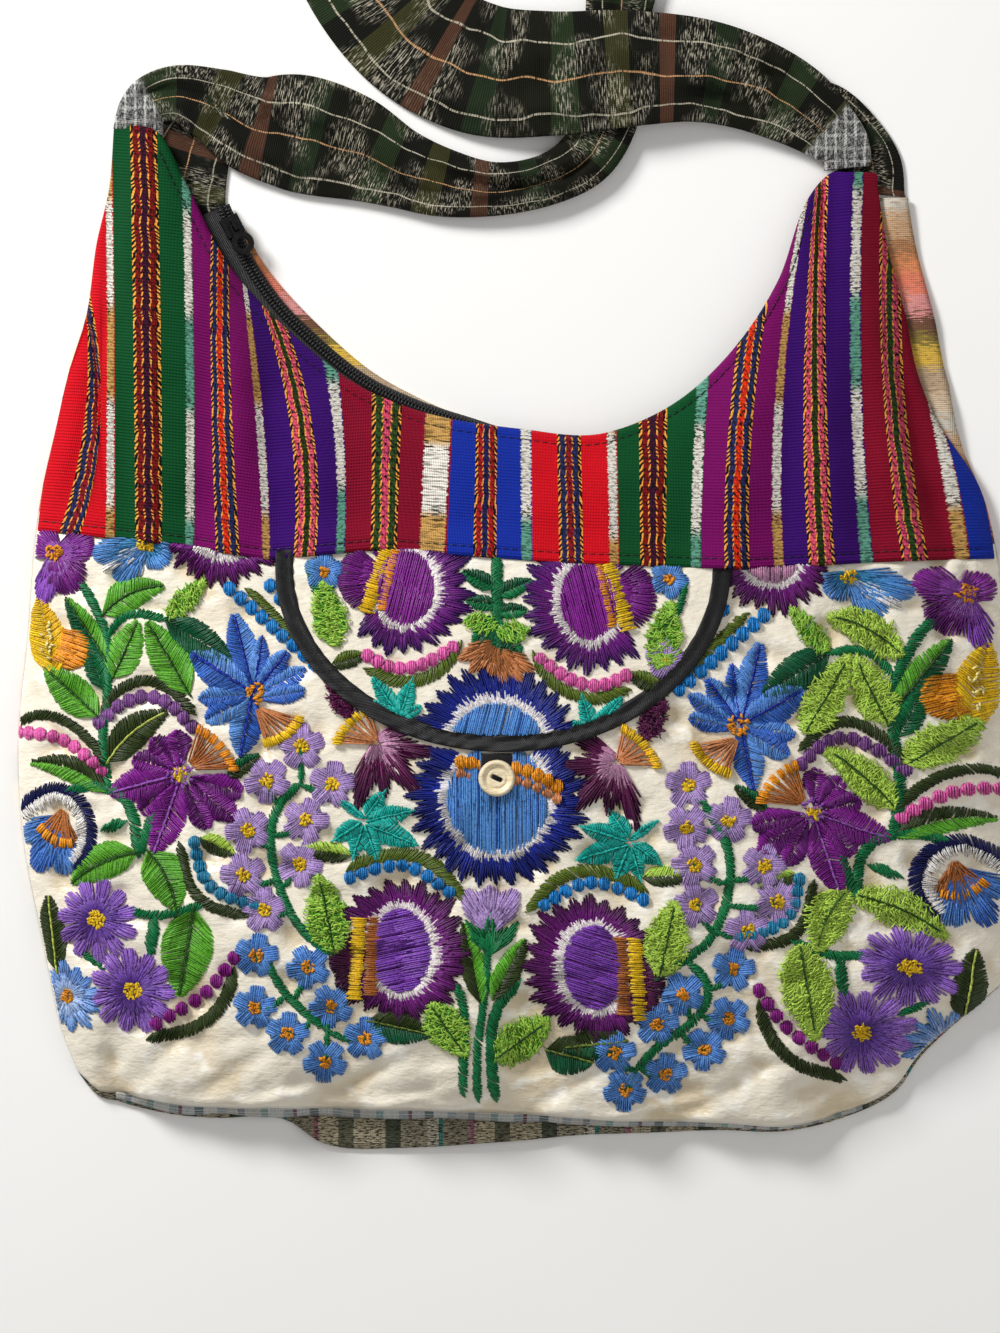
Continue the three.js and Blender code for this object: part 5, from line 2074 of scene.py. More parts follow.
@dataclass(frozen=True)
class ZipPath:
    """Places of the zip along the neckline, for an array of shares."""

    x: Array
    y: Array
    past: Array
    side: Array
    up: Array
    start: Array
    end: Array
    chain: Array
    drop: Array

    def spot(self, reach: Array, rise: float) -> Array:
        """Place at a reach past the neckline, above the tape's underside."""
        under = FORM.RIM + self.drop * (self.end - reach) / (self.end - self.start)
        return stack(self.x + self.past[..., 0] * reach, self.y + self.past[..., 1] * reach, under + rise)


@dataclass(frozen=True)
class Zip:
    """Black coil zip along the neckline, with its slider and ring pull."""

    DRAWN = (0.235, 0.28)
    TAPE_STEPS = 150
    TAPE_ROWS = 9
    start: float = 0.192
    end: float = 0.81
    tape: float = 0.9
    tape_wall: float = 0.8
    tape_wide: float = 12.0
    tuck: float = 4.0
    beyond: float = 3.2
    draw_in: float = 1.6
    chain_width: float = 5.0
    chain_rise: float = 0.35
    pitch: float = 1.45
    wire: float = 0.42
    soften: float = 0.22
    fine_steps: int = 1200

    def path(self, u: Array) -> ZipPath:
        """Frame of the zip at shares along the neckline.

        Args:
            u: Shares along the neckline.

        Returns:
            Places and ways at each share.
        """
        x, y = FORM.neck.pair(u)
        px, py = FORM.past(FORM.neck, u)
        chain = FORM.mouth.read("chain", u) - self.draw_in * ramp_up(*self.DRAWN, u)
        high = FORM.body_height(x, y) - FORM.CLOTH - 2.4 * FORM.GAP - self.tape
        first, last = np.minimum(chain, 0) - self.tuck, chain + self.beyond
        drop = np.maximum(0, high - FORM.RIM)
        side = stack(px, py, -drop / (last - first))
        side /= np.linalg.norm(side, axis=-1, keepdims=True)
        up = np.cross(stack(py, -px, 0.0), side)
        return ZipPath(x, y, stack(px, py), side, up, first, last, chain, drop)

    def build(self, finishes: Finishes) -> None:
        """Make and dress the tape, the chain, the slider and the pull.

        Args:
            finishes: The bag's finishes.
        """
        shares = np.linspace(self.start, self.end, self.TAPE_STEPS)
        u, w = np.meshgrid(shares, np.linspace(0, 1, self.TAPE_ROWS))
        path = self.path(u)
        outer = path.spot(mix(path.start, path.end, w), self.tape)
        flat = stack(w * self.tape_wide, row_run(path.x, path.y))
        tape = cloth_wall("zip_tape_black", outer, self.tape_wall, flat, FORM.RIM)
        present(tape, finishes.black_cloth, ["zip_tape"])
        self.build_chain(finishes)
        self.keep_metal("zip_slider", finishes, "bag")
        self.keep_metal("zip_pull", finishes, "zip_pull")

    def build_chain(self, finishes: Finishes) -> None:
        """Make the coil's turns by a node tree on points along the chain.

        Args:
            finishes: The bag's finishes.
        """
        def seat(path: ZipPath, rise: float) -> Array:
            """Places above the tape along the chain."""
            return path.spot(path.chain, self.tape) + path.up * (1.3 * FORM.GAP + rise)

        fine = np.linspace(self.start, self.end, self.fine_steps)
        run = run_of(seat(self.path(fine), 0.0))
        path = self.path(np.interp(np.arange(0, run[-1], self.pitch / 2), run, fine))
        hand = np.where(np.arange(len(path.x)) % 2, 1.0, -1.0)[:, None]
        points = seat(path, self.chain_rise) + path.side * hand * self.chain_width * 0.24
        mesh = bpy.data.meshes.new("zip_chain_coil")
        mesh.from_pydata((points * MM).tolist(), [], [])
        for name, values in (("across", path.side), ("upward", path.up)):
            mark_points(mesh, name, "FLOAT_VECTOR", values)
        coil = new_object("zip_chain_coil", mesh)
        sizes = {"Turn Radius": self.chain_width * 0.27 * MM, "Wire Radius": self.wire * MM}
        settle(coil, coil_tree(), {**sizes, "Finish": finishes.black_coil})
        present(coil, finishes.black_coil, ["zip_chain"])

    def keep_metal(self, node: str, finishes: Finishes, body: str) -> None:
        """Make a softened copy of a metal node in the frame.

        Args:
            node: Name of the node.
            finishes: Every finish of the bag.
            body: Body that it moves with.
        """
        shape = bmesh.new()
        shape.from_mesh(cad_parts[node].data)
        bmesh.ops.remove_doubles(shape, verts=shape.verts, dist=1e-6)
        bmesh.ops.dissolve_limit(shape, angle_limit=math.radians(2), verts=shape.verts, edges=shape.edges)
        mesh = bpy.data.meshes.new(node + "_metal")
        shape.to_mesh(mesh)
        shape.free()
        piece = new_object(node + "_metal", mesh)
        bevel = piece.modifiers.new("soft edges", "BEVEL")
        bevel.width, bevel.segments, bevel.limit_method = self.soften * MM, 2, "ANGLE"
        bake_modifiers(piece)
        present(piece, finishes.enamel, [node], body)


# Node trees for what repeats or follows a path

SHAPE = "NodeSocketGeometry"
FINISH = "NodeSocketMaterial"


def bake_modifiers(piece: Object) -> None:
    """Turn a piece's evaluated result into its plain mesh.

    Args:
        piece: Piece to change.
    """
    graph = bpy.context.evaluated_depsgraph_get()
    graph.update()
    result = bpy.data.meshes.new_from_object(piece.evaluated_get(graph))
    piece.modifiers.clear()
    piece.data = result


def settle(piece: Object, tree: Tree, sizes: dict[str, object]) -> None:
    """Run a node tree on a piece and keep its result as a plain mesh.

    Args:
        piece: The piece.
        tree: The node tree.
        sizes: Value of each named input.
    """
    modifier = piece.modifiers.new(tree.name, "NODES")
    modifier.node_group = tree
    for item in tree.interface.items_tree:
        if item.item_type == "SOCKET" and item.in_out == "INPUT" and item.name in sizes:
            modifier[item.identifier] = sizes[item.name]
    bake_modifiers(piece)


def end_tree(recipe: Recipe, shape: Wire, finish: Wire) -> Tree:
    """Realize the instances, set the material and close the tree.

    Args:
        recipe: Recipe of the tree.
        shape: Geometry to dress.
        finish: Material to set.

    Returns:
        The finished node tree.
    """
    real = recipe.out("GeometryNodeRealizeInstances", {0: shape})
    smooth = recipe.out("GeometryNodeSetShadeSmooth", {0: real})
    dressed = recipe.out("GeometryNodeSetMaterial", {"Geometry": smooth, "Material": finish})
    return end_group(recipe, {"Geometry": dressed}, SHAPE)


def coil_tree() -> Tree:
    """Half rings of wire on points, each across the chain.

    Returns:
        The finished node tree.
    """
    inputs = {"Geometry": SHAPE, "Turn Radius": 0.0, "Wire Radius": 0.0, "Finish": FINISH}
    recipe, take = start_group("zip_coil", "GeometryNodeTree", inputs)
    sweep = {"Resolution": 6, "Radius": take["Turn Radius"], "Start Angle": 0.0, "Sweep Angle": math.pi}
    arc = recipe.out("GeometryNodeCurveArc", sweep)
    ring = recipe.out("GeometryNodeCurvePrimitiveCircle", {"Resolution": 5, "Radius": take["Wire Radius"]})
    turn = recipe.out("GeometryNodeCurveToMesh", {"Curve": arc, "Profile Curve": ring, "Fill Caps": True})
    ways = {k: recipe.out("GeometryNodeInputNamedAttribute", {"Name": name}, data_type="FLOAT_VECTOR")
            for k, name in enumerate(("across", "upward"))}
    aim = recipe.out("FunctionNodeAxesToRotation", ways, primary_axis="X", secondary_axis="Y")
    points = recipe.out("GeometryNodeMeshToPoints", {"Mesh": take["Geometry"]})
    spread = {"Points": points, "Instance": turn, "Rotation": aim}
    return end_tree(recipe, recipe.out("GeometryNodeInstanceOnPoints", spread), take["Finish"])


def thread_tree() -> Tree:
    """Round threads along drawn stitches, each as thick as its own width says.

    Returns:
        The finished node tree.
    """
    inputs = {"Geometry": SHAPE, "Sides": "NodeSocketInt", "Fullness": 0.0, "Finish": FINISH}
    recipe, take = start_group("threads", "GeometryNodeTree", inputs)
    curve = recipe.out("GeometryNodeMeshToCurve", {"Mesh": take["Geometry"]})
    upright = recipe.out("GeometryNodeSetCurveNormal", {"Curve": curve}, mode="Z_UP")
    ring = recipe.out("GeometryNodeCurvePrimitiveCircle", {"Resolution": take["Sides"], "Radius": 0.5})
    width = recipe.out("GeometryNodeInputNamedAttribute", {"Name": "thread"}, data_type="FLOAT")
    sweep = {"Curve": upright, "Profile Curve": ring, "Scale": width * take["Fullness"], "Fill Caps": True}
    return end_tree(recipe, recipe.out("GeometryNodeCurveToMesh", sweep), take["Finish"])


# Embroidery, drawn on a chart of small squares and sewn on the cloth

class Floss(Enum):
    """Colours of the floss."""

    BLACK = "141216"
    WHITE = "FAF4EC"
    STEM = "0A7A44"
    PINE = "0A5A36"
    BRIGHT = "66B332"
    RIB = "245018"
    DARK = "0B6238"
    MOSS = "34431A"
    OLIVE = "5E7222"
    LIME = "B8DA56"
    LEMON = "C9D860"
    DEEP = "4A2088"
    DAISY = "A878D6"
    LILY = "861F90"
    PLUM = "661670"
    INDIGO = "2C1258"
    ORCHID = "9450AE"
    WINE = "3A0A34"
    BERRY = "6B1450"
    BEAD = "8A1C82"
    MAUVE = "7B4A8A"
    LAVENDER = "BA9CD4"
    LILAC = "8446B4"
    SKY = "6096DC"
    AZURE = "3A6CC8"
    DOME = "5A94D4"
    NAVY = "0C1250"
    ROYAL = "1B2FA4"
    ICE = "B8CCEC"
    TEAL = "18B4A6"
    BLUE = "1C80C8"
    LAKE = "2684AA"
    PINK = "E264AC"
    YELLOW = "F4C81A"
    ORANGE = "EE9A1C"
    BROWN = "B0682E"
    TAN = "CE8654"
    ROSE = "C792B2"
    CREAM = "F6E694"

    def tint(self, share: float = 1.0) -> Array:
        """Scene-linear red, green and blue, darker or lighter by a share."""
        return np.array(linear(self.value)[:3]) * share


F = Floss
Point = tuple[float, float]


@dataclass(frozen=True)
class Thread:
    """How a stitch lies: thickness, rise of its arch, height of its ends and how uneven they are."""

    width: float
    rise: float
    base: float = 0.12
    loose: float = 0.45


MIDDLE = 497
MIRROR_WIDER, MIRROR_WIDER_FROM = 0.35, 862
MIRROR_LOWER, MIRROR_SLOPE = 8, 0.095
MIRROR_TOP, MIRROR_EASE = 0.78, (570, 680)


class Threads:
    """How the stitches of each motif lie."""

    SATIN = Thread(1.05, 0.75)
    RIB = Thread(1.1, 0.45, 0.75, 0.25)
    TERRY_RIB = Thread(1.0, 0.4, 1.5, 0.25)
    TERRY_GROUND = Thread(1.4, 0.3, 0.1)
    TERRY_LOOP = Thread(0.65, 1.3, 0.35, 0.3)
    SHORT_PETAL = Thread(1.15, 0.85, 0.12, 0.2)
    PETAL_ROOT = Thread(1.1, 0.85, 0.15)
    PETAL_EDGE = Thread(1.15, 0.85, 0.2)
    SPIKE_EDGE = Thread(1.2, 0.8, 0.2)
    SPIKE_ROOT = Thread(1.1, 0.6, 0.45)
    STEM = Thread(1.05, 0.7)
    FRINGE = Thread(0.85, 0.5, 0.8)
    STALK = Thread(1.05, 0.55, 1.1)
    STAMEN = Thread(1.2, 0.8, 1.2, 0.3)
    KNOT = Thread(1.2, 0.5, 0.0)
    BEAD = Thread(1.3, 1.25, 0.0, 0.25)
    COLUMN = Thread(1.1, 0.6, 0.0)
    DOME = Thread(1.15, 0.5, 0.7)


class Stitchery:
    """Stitches drawn on the chart, kept until they are sewn on a cloth."""

    SQUARE = 0.41
    MIDDLE = (510.0, 557.0)
    PITCH = 2.0
    SHARES = np.array([0.0, 0.28, 0.72, 1.0])
    ARCH = np.array([0.0, 0.9, 0.9, 0.0])
    TAPER = np.array([0.8, 1.0, 1.0, 0.7])
    PROBES = 25
    FEWEST = 4

    def __init__(self, seed: int, chart: Sequence["Motif"], mirrored: bool = False) -> None:
        """Draw a chart.

        Args:
            seed: Seed of the hand's unevenness.
            chart: Motifs in the order of sewing.
            mirrored: Whether the drawing is laid on the right half of the cloth.
        """
        self.rng = np.random.default_rng(seed)
        self.mirrored = mirrored
        self.laid: list[tuple[Array, ...]] = []
        for motif in chart:
            motif.stitch(self)

    def lay(self, starts: Array, ends: Array, thread: Thread, first: Array, last: Array | None = None,
            lift: float = 0.0) -> None:
        """Lay straight stitches that arch off the cloth.

        Args:
            starts: First ends on the chart.
            ends: Last ends on the chart.
            thread: How the stitches lie.
            first: Colour at the first ends.
            last: Colour at the last ends, where it is another.
            lift: How much higher all of them lie.
        """
        starts, ends = (np.atleast_2d(np.asarray(side, float)) for side in (starts, ends))
        count = len(starts)
        starts, ends = (side + self.rng.normal(0, thread.loose, side.shape) for side in (starts, ends))
        tones = (first, first if last is None else last)
        first, last = (np.broadcast_to(tone, (count, 3))[:, None] for tone in tones)
        share = self.SHARES[:, None]
        tint = np.clip(mix(first, last, share) * self.rng.normal(1, 0.1, (count, 1, 1)), 0, 1)
        rise = thread.base + lift + thread.rise * self.ARCH * self.rng.uniform(0.8, 1.15, (count, 1))
        width = thread.width * self.TAPER * self.rng.uniform(0.88, 1.1, (count, 1))
        self.laid.append((mix(starts[:, None], ends[:, None], share), tint, rise, width))

    def sew(self, name: str, finish: Material, height: Callable, keep: Callable) -> Object:
        """Sew the stitches on a cloth as round threads.

        Args:
            name: Name of the piece.
            finish: The floss.
            height: Height of the cloth at places in millimetres.
            keep: Whether a place in millimetres may be sewn on.

        Returns:
            The joined threads.
        """
        line, tint, rise, width = map(np.concatenate, zip(*self.laid))
        x, y = line[..., 0], line[..., 1]
        if self.mirrored:
            x, y = self.mirror(x, y)
        x, y = (x - self.MIDDLE[0]) * self.SQUARE, (self.MIDDLE[1] - y) * self.SQUARE
        probe = np.linspace(0, 1, self.PROBES)
        inside = keep(mix(x[:, :1], x[:, -1:], probe), mix(y[:, :1], y[:, -1:], probe))
        run, longest, last = (np.zeros(len(x), int) for _ in range(3))
        for step in range(self.PROBES):
            run = (run + 1) * inside[:, step]
            last = np.where(run > longest, step, last)
            longest = np.maximum(longest, run)
        first = last - np.maximum(longest, 1) + 1
        good = longest > self.FEWEST
        share = mix(probe[first][good, None], probe[last][good, None], self.SHARES)
        x, y = (mix(side[good, :1], side[good, -1:], share) for side in (x, y))
        return sew_lines(name, stack(x, y, height(x, y) + rise[good]), tint[good], width[good], finish)

    @staticmethod
    def mirror(x: Array, y: Array) -> Pair:
        """Place on the right half of the cloth, which lies a little lower and wider.

        Args:
            x: Places across the chart.
            y: Places down the chart.

        Returns:
            Mirrored places, across and down.
        """
        across = 2 * MIDDLE - x
        across = across + MIRROR_WIDER * np.maximum(0, across - MIRROR_WIDER_FROM)
        lower = MIRROR_LOWER + MIRROR_SLOPE * (across - MIDDLE)
        return across, y + lower * mix(MIRROR_TOP, 1, ramp_up(*MIRROR_EASE, y))


def sew_lines(name: str, points: Array, tints: Array, widths: Array, finish: Material) -> Object:
    """Turn drawn threads into round ones.

    Args:
        name: Name of the piece.
        points: Places in millimetres, threads by points by 3.
        tints: Colours, threads by points by 3.
        widths: Thicknesses in millimetres, threads by points.
        finish: Material of the threads.

    Returns:
        The threads as one plain mesh.
    """
    number = np.arange(widths.size).reshape(widths.shape)
    edges = np.stack([number[:, :-1], number[:, 1:]], -1).reshape(-1, 2)
    mesh = bpy.data.meshes.new(name)
    mesh.from_pydata((points.reshape(-1, 3) * MM).tolist(), edges.tolist(), [])
    mark_points(mesh, "thread", "FLOAT", widths * MM)
    mark_points(mesh, "tint", "FLOAT_COLOR", np.concatenate([tints, np.ones_like(tints[..., :1])], axis=-1))
    piece = new_object(name, mesh)
    settle(piece, thread_tree(), {"Sides": 3, "Fullness": 1.1, "Finish": finish})
    return piece


def frame_of(base: Point, tip: Point) -> tuple[Array, Array, Array, float]:
    """Base, unit way to the tip, unit way to the left of it, and the length.

    Args:
        base: Place of the base.
        tip: Place of the tip.

    Returns:
        The base, both ways and the length.
    """
    start = np.array(base, float)
    way = np.array(tip, float) - start
    length = float(np.linalg.norm(way))
    ahead = way / length
    return start, ahead, left_of(ahead), length


def left_of(ahead: Array) -> Array:
    """Way to the left of a way on the chart, whose second axis runs down."""
    return stack(ahead[..., 1], -ahead[..., 0])


def way_at(degrees: float) -> Array:
    """Unit way on the chart at a turn from the right, counter-clockwise."""
    return np.array([math.cos(math.radians(degrees)), -math.sin(math.radians(degrees))])


def along(points: Sequence[Point], pitch: float) -> Pair:
    """Even places along a rounded path, and the ways ahead there.

    Args:
        points: Corners of the path.
        pitch: Distance between places.

    Returns:
        Places and unit ways.
    """
    rough = np.array(points, float)
    for _ in range(3 if len(rough) > 2 else 0):
        cut = np.stack([mix(rough[:-1], rough[1:], share) for share in (0.25, 0.75)], 1).reshape(-1, 2)
        rough = np.vstack([rough[:1], cut[1:-1], rough[-1:]])
    run = run_of(rough)
    steps = np.linspace(0, run[-1], max(2, int(run[-1] / pitch) + 1))
    places = stack(*(np.interp(steps, run, axis) for axis in rough.T))
    ahead = np.gradient(places, axis=0)
    return places, ahead / np.maximum(np.linalg.norm(ahead, axis=1, keepdims=True), 1e-9)


# Motifs of the chart

@dataclass(frozen=True)
class Leaf:
    """A leaf: base, tip and width, the floss of both halves and of its rib, and its form."""

    base: Point
    tip: Point
    width: float
    left: Floss
    right: Floss
    rib: Floss | None = None
    bend: float = 0.0
    terry: bool = False
    fullest: float = 0.8

    def stitch(self, hand: Stitchery) -> None:
        """Satin-stitch both halves and the rib, or tuft it as terry.

        Args:
            hand: Stitchery that lays the stitches.
        """
        start, ahead, left, length = frame_of(self.base, self.tip)

        def spine(t: Array) -> Array:
            """Place on the middle line."""
            sway = self.bend * length * 4 * t * (1 - t)
            return start + np.outer(t * length, ahead) + np.outer(sway, left)

        def side(t: Array, share: Array) -> Array:
            """Way from the middle line to the edge, by a share."""
            half = self.width / 2 * np.sin(np.pi * np.clip(t, 0, 1) ** self.fullest) ** 0.75
            return np.outer(share * half, left)

        if self.terry:
            self.tuft(hand, spine, side, left, length)
        else:
            t = np.arange(0.0, 0.96, hand.PITCH / length)
            reach = np.minimum(0.985, t + 0.2 * (1 - t))
            for share, floss in ((1, self.left), (-1, self.right)):
                ends = spine(reach) + side(reach, share)
                hand.lay(spine(t), ends, Threads.SATIN, floss.tint(0.82), floss.tint(1.08))
        if self.rib:
            low, high = (0.0, 0.85) if self.terry else (-0.04, 0.9)
            thread = Threads.TERRY_RIB if self.terry else Threads.RIB
            t = np.arange(low, high, 7 / length)
            hand.lay(spine(t), spine(t + 8 / length), thread, self.rib.tint())

    def tuft(self, hand: Stitchery, spine: Callable, side: Callable, left: Array, length: float) -> None:
        """Fill the leaf with short raised loops, each darker at one end and lighter at the other as painted
        shade and light.

        Args:
            hand: The drawing.
            spine: Place on the middle line by share.
            side: Way to the edge by share.
            left: Way to the left of the middle line.
            length: Length of the leaf.
        """
        t = np.arange(0.02, 0.97, 2.6 / length)
        for share in (0.9, -0.9):
            ground = (self.right.tint(0.85), self.right.tint(1.1))
            hand.lay(spine(t), spine(t) + side(t, share), Threads.TERRY_GROUND, *ground)
        count = int(length * self.width * 0.62 / 4.6)
        draw = hand.rng
        t = draw.uniform(0.0, 1.0, count)
        place = spine(t) + side(t, draw.uniform(-1, 1, count))
        turn = draw.normal(np.arctan2(left[1], left[0]) + 0.5, 0.6, count)
        way = stack(np.cos(turn), np.sin(turn)) * draw.uniform(2.8, 6.0, (count, 1))
        tone = mix(self.left.tint(), self.right.tint(), draw.uniform(0, 0.8, (count, 1)))
        # Painted shade and light: each loop is darker at one end and lighter at the other.
        hand.lay(place - way, place + way, Threads.TERRY_LOOP, tone * 0.82, tone * 1.15)


@dataclass(frozen=True)
class Petal:
    """A petal: base, tip and width, its floss inside and outside, how blunt it is, its root and lift."""

    base: Point
    tip: Point
    width: float
    inner: Floss
    outer: Floss
    blunt: float = 1.5
    root: float = 0.15
    lift: float = 0.15
    drop: float = 0.4

    def outline(self, hand: Stitchery) -> tuple[Array, Array, Array, float]:
        """Roots and ends of the stitches, their shares across the petal, and its length.

        Args:
            hand: Stitchery that lays the stitches.

        Returns:
            Roots, ends, shares and length.
        """
        start, ahead, left, length = frame_of(self.base, self.tip)
        s = np.linspace(-1, 1, max(4, int(self.width / hand.PITCH) + 1))
        roots = start + np.outer(s * self.width * self.root, left)
        reach = length * (1 - self.drop * np.abs(s) ** self.blunt)
        return roots, start + np.outer(reach, ahead) + np.outer(s * self.width / 2, left), s, length

    def stitch(self, hand: Stitchery) -> None:
        """Long and short stitches that fan from the base to the outline.

        Args:
            hand: Stitchery that lays the stitches.
        """
        root, edge, s, length = self.outline(hand)
        # Painted shade: the outermost stitches of each petal are darker, where petals meet.
        shade = (1 - 0.35 * np.abs(s) ** 5)[:, None]
        inner, outer = self.inner.tint() * shade, self.outer.tint() * shade
        if length < 26:
            hand.lay(root, edge, Threads.SHORT_PETAL, inner, outer, self.lift)
            return
        cut = hand.rng.uniform(0.4, 0.62, (len(s), 1))
        middle = mix(inner, outer, cut)
        hand.lay(root, mix(root, edge, cut + 0.05), Threads.PETAL_ROOT, inner, middle, self.lift)
        hand.lay(mix(root, edge, cut - 0.05), edge, Threads.PETAL_EDGE, middle, outer, self.lift)


@dataclass(frozen=True)
class Spike(Petal):
    """A pointed petal that runs from a pale root over a middle tone to a dark tip."""

    root: float = 0.4
    drop: float = 0.55
    middle: Floss = F.BERRY

    def stitch(self, hand: Stitchery) -> None:
        """Dark stitches from the middle to the tip, and pale ones over their roots.

        Args:
            hand: Stitchery that lays the stitches.
        """
        root, edge, s, _ = self.outline(hand)
        cut = hand.rng.uniform(0.08, 0.42, (len(s), 1)) + 0.3 * s[:, None] ** 2
        pale, middle = self.inner.tint(), self.middle.tint()
        hand.lay(mix(root, edge, cut - 0.1), edge, Threads.SPIKE_EDGE, middle, self.outer.tint())
        hand.lay(root, mix(root, edge, cut + 0.04), Threads.SPIKE_ROOT, pale, mix(pale, middle, 0.3))


@dataclass(frozen=True)
class Knots:
    """An oval of small knots: middle, half sizes, floss, how many, and how far off the cloth."""

    middle: Point
    half: Point
    floss: Floss
    count: int
    base: float = 1.3

    def stitch(self, hand: Stitchery) -> None:
        """Scatter the knots in the oval.

        Args:
            hand: Stitchery that lays the stitches.
        """
        turn = hand.rng.uniform(0, TURN, self.count)
        far = np.sqrt(hand.rng.uniform(0, 1, (self.count, 1)))
        place = np.array(self.middle) + stack(np.cos(turn), np.sin(turn)) * far * np.array(self.half)
        twist = hand.rng.uniform(0, np.pi, self.count)
        way = stack(np.cos(twist), np.sin(twist)) * 2.0
        tones = self.floss.tint(0.85), self.floss.tint()
        hand.lay(place - way, place + way, Threads.KNOT, *tones, self.base)


@dataclass(frozen=True)
class Flower:
    """A round flower of equal petals: middle, radius, number of petals, their floss inside and outside,
    floss and radius of the eye, turn in degrees, fatness and bluntness, and how the lengths vary."""

    middle: Point
    radius: float
    count: int
    inner: Floss
    outer: Floss
    heart: Floss
    eye: float
    turn: float
    fat: float
    blunt: float
    vary: float = 0.0

    def stitch(self, hand: Stitchery) -> None:
        """Lay the petals round the eye, then the eye's knots.

        Args:
            hand: Stitchery that lays the stitches.
        """
        centre = np.array(self.middle)
        width = 2 * self.radius * 0.72 * math.tan(math.pi / self.count) * self.fat
        root = 0.15 + 0.27 * (self.count < 7)
        for number in range(self.count):
            way = way_at(self.turn + 360 * number / self.count)
            far = self.radius * (1 + self.vary * hand.rng.uniform(-1, 0.4))
            near, tip = centre + way * self.eye * 0.6, centre + way * far
            Petal(near, tip, width, self.inner, self.outer, self.blunt, root, 0.1).stitch(hand)
        knots = int(self.eye * self.eye * 0.55) + 4
        Knots(self.middle, (self.eye, self.eye), self.heart, knots, 0.7).stitch(hand)


@dataclass(frozen=True)
class Stem:
    """A stem or arc: its points, width and floss."""

    points: Sequence[Point]
    width: float
    floss: Floss

    def stitch(self, hand: Stitchery) -> None:
        """Slanting satin stitches across the path.

        Args:
            hand: Stitchery that lays the stitches.
        """
        places, ahead = along(self.points, hand.PITCH)
        number = np.arange(len(places))
        ends = np.clip(np.minimum(number, number[::-1]) / 3, 0.5, 1)[:, None]
        slant = left_of(ahead) * self.width / 2 * ends + ahead * self.width * 0.35
        tones = self.floss.tint(0.85), self.floss.tint(1.05)
        hand.lay(places - slant, places + slant, Threads.STEM, *tones)


@dataclass(frozen=True)
class Arch(Stem):
    """A thick band with a white fringe on its inner side, which points to its middle."""

    middle: Point

    def stitch(self, hand: Stitchery) -> None:
        """Lay the band, then the fringe.

        Args:
            hand: Stitchery that lays the stitches.
        """
        super().stitch(hand)
        places, _ = along(self.points, 1.7)
        way = np.array(self.middle) - places
        way /= np.linalg.norm(way, axis=1, keepdims=True)
        reach = hand.rng.uniform(8, 14, (len(places), 1))
        hand.lay(places + way * 1.5, places + way * reach, Threads.FRINGE, F.WHITE.tint())


@dataclass(frozen=True)
class Beads:
    """A row of satin beads: its points, how many, their size and floss, and how far off the cloth."""

    points: Sequence[Point]
    count: int
    size: float
    floss: Floss
    lift: float = 0.12

    def stitch(self, hand: Stitchery) -> None:
        """Space raised beads evenly along the path.

        Args:
            hand: Stitchery that lays the stitches.
        """
        places, _ = along(self.points, 1.0)
        across = np.linspace(-0.5, 0.5, max(5, int(self.size / 2.1)))
        tall = self.size / 2 * np.sqrt(1.05 - (2 * across) ** 2 * 0.7)
        low, high = (stack(across * self.size * 0.72, end) for end in (-tall, tall))
        tones = self.floss.tint(), self.floss.tint(1.1)
        for place in places[np.linspace(0, len(places) - 1, self.count).round().astype(int)]:
            hand.lay(place + low, place + high, Threads.BEAD, *tones, self.lift)


@dataclass(frozen=True)
class Fan:
    """Stamens: where they meet, their first and last tips, how many, floss of stalks and tips."""

    apex: Point
    first: Point
    last: Point
    count: int
    stalk: Floss
    tip: Floss

    def stitch(self, hand: Stitchery) -> None:
        """Two threads for each stalk, then a padded tip for each.

        Args:
            hand: Stitchery that lays the stitches.
        """
        share = np.linspace(0, 1, self.count)[:, None]
        apex = np.array(self.apex, float)
        tips = mix(np.array(self.first, float), np.array(self.last, float), share)
        tips = tips + (tips - apex) * 0.14 * np.sin(np.pi * share)
        starts = apex + (tips - apex) * 0.12
        for shift in (-0.9, 0.9):
            hand.lay(starts + shift, tips + shift, Threads.STALK, self.stalk.tint())
        for tip in tips:
            _, way, side, _ = frame_of(apex, tip)
            for shift in (-2.2, 0.0, 2.2):
                low, high = (tip + way * reach + side * shift for reach in (-5, 4.5))
                hand.lay(low, high, Threads.STAMEN, self.tip.tint())


@dataclass(frozen=True)
class Column:
    """A padded column of short stitches: its ends, width and floss, and how far off the cloth."""

    top: Point
    bottom: Point
    width: float
    floss: Floss
    lift: float

    def stitch(self, hand: Stitchery) -> None:
        """Lay uneven stitches across the column.

        Args:
            hand: Stitchery that lays the stitches.
        """
        start, ahead, left, length = frame_of(self.top, self.bottom)
        run = np.arange(0, length, hand.PITCH)
        side = np.outer(self.width / 2 * hand.rng.uniform(0.75, 1.15, len(run)), left)
        places = start + np.outer(run, ahead)
        tones = self.floss.tint(0.85), self.floss.tint()
        hand.lay(places - side, places + side, Threads.COLUMN, *tones, self.lift)


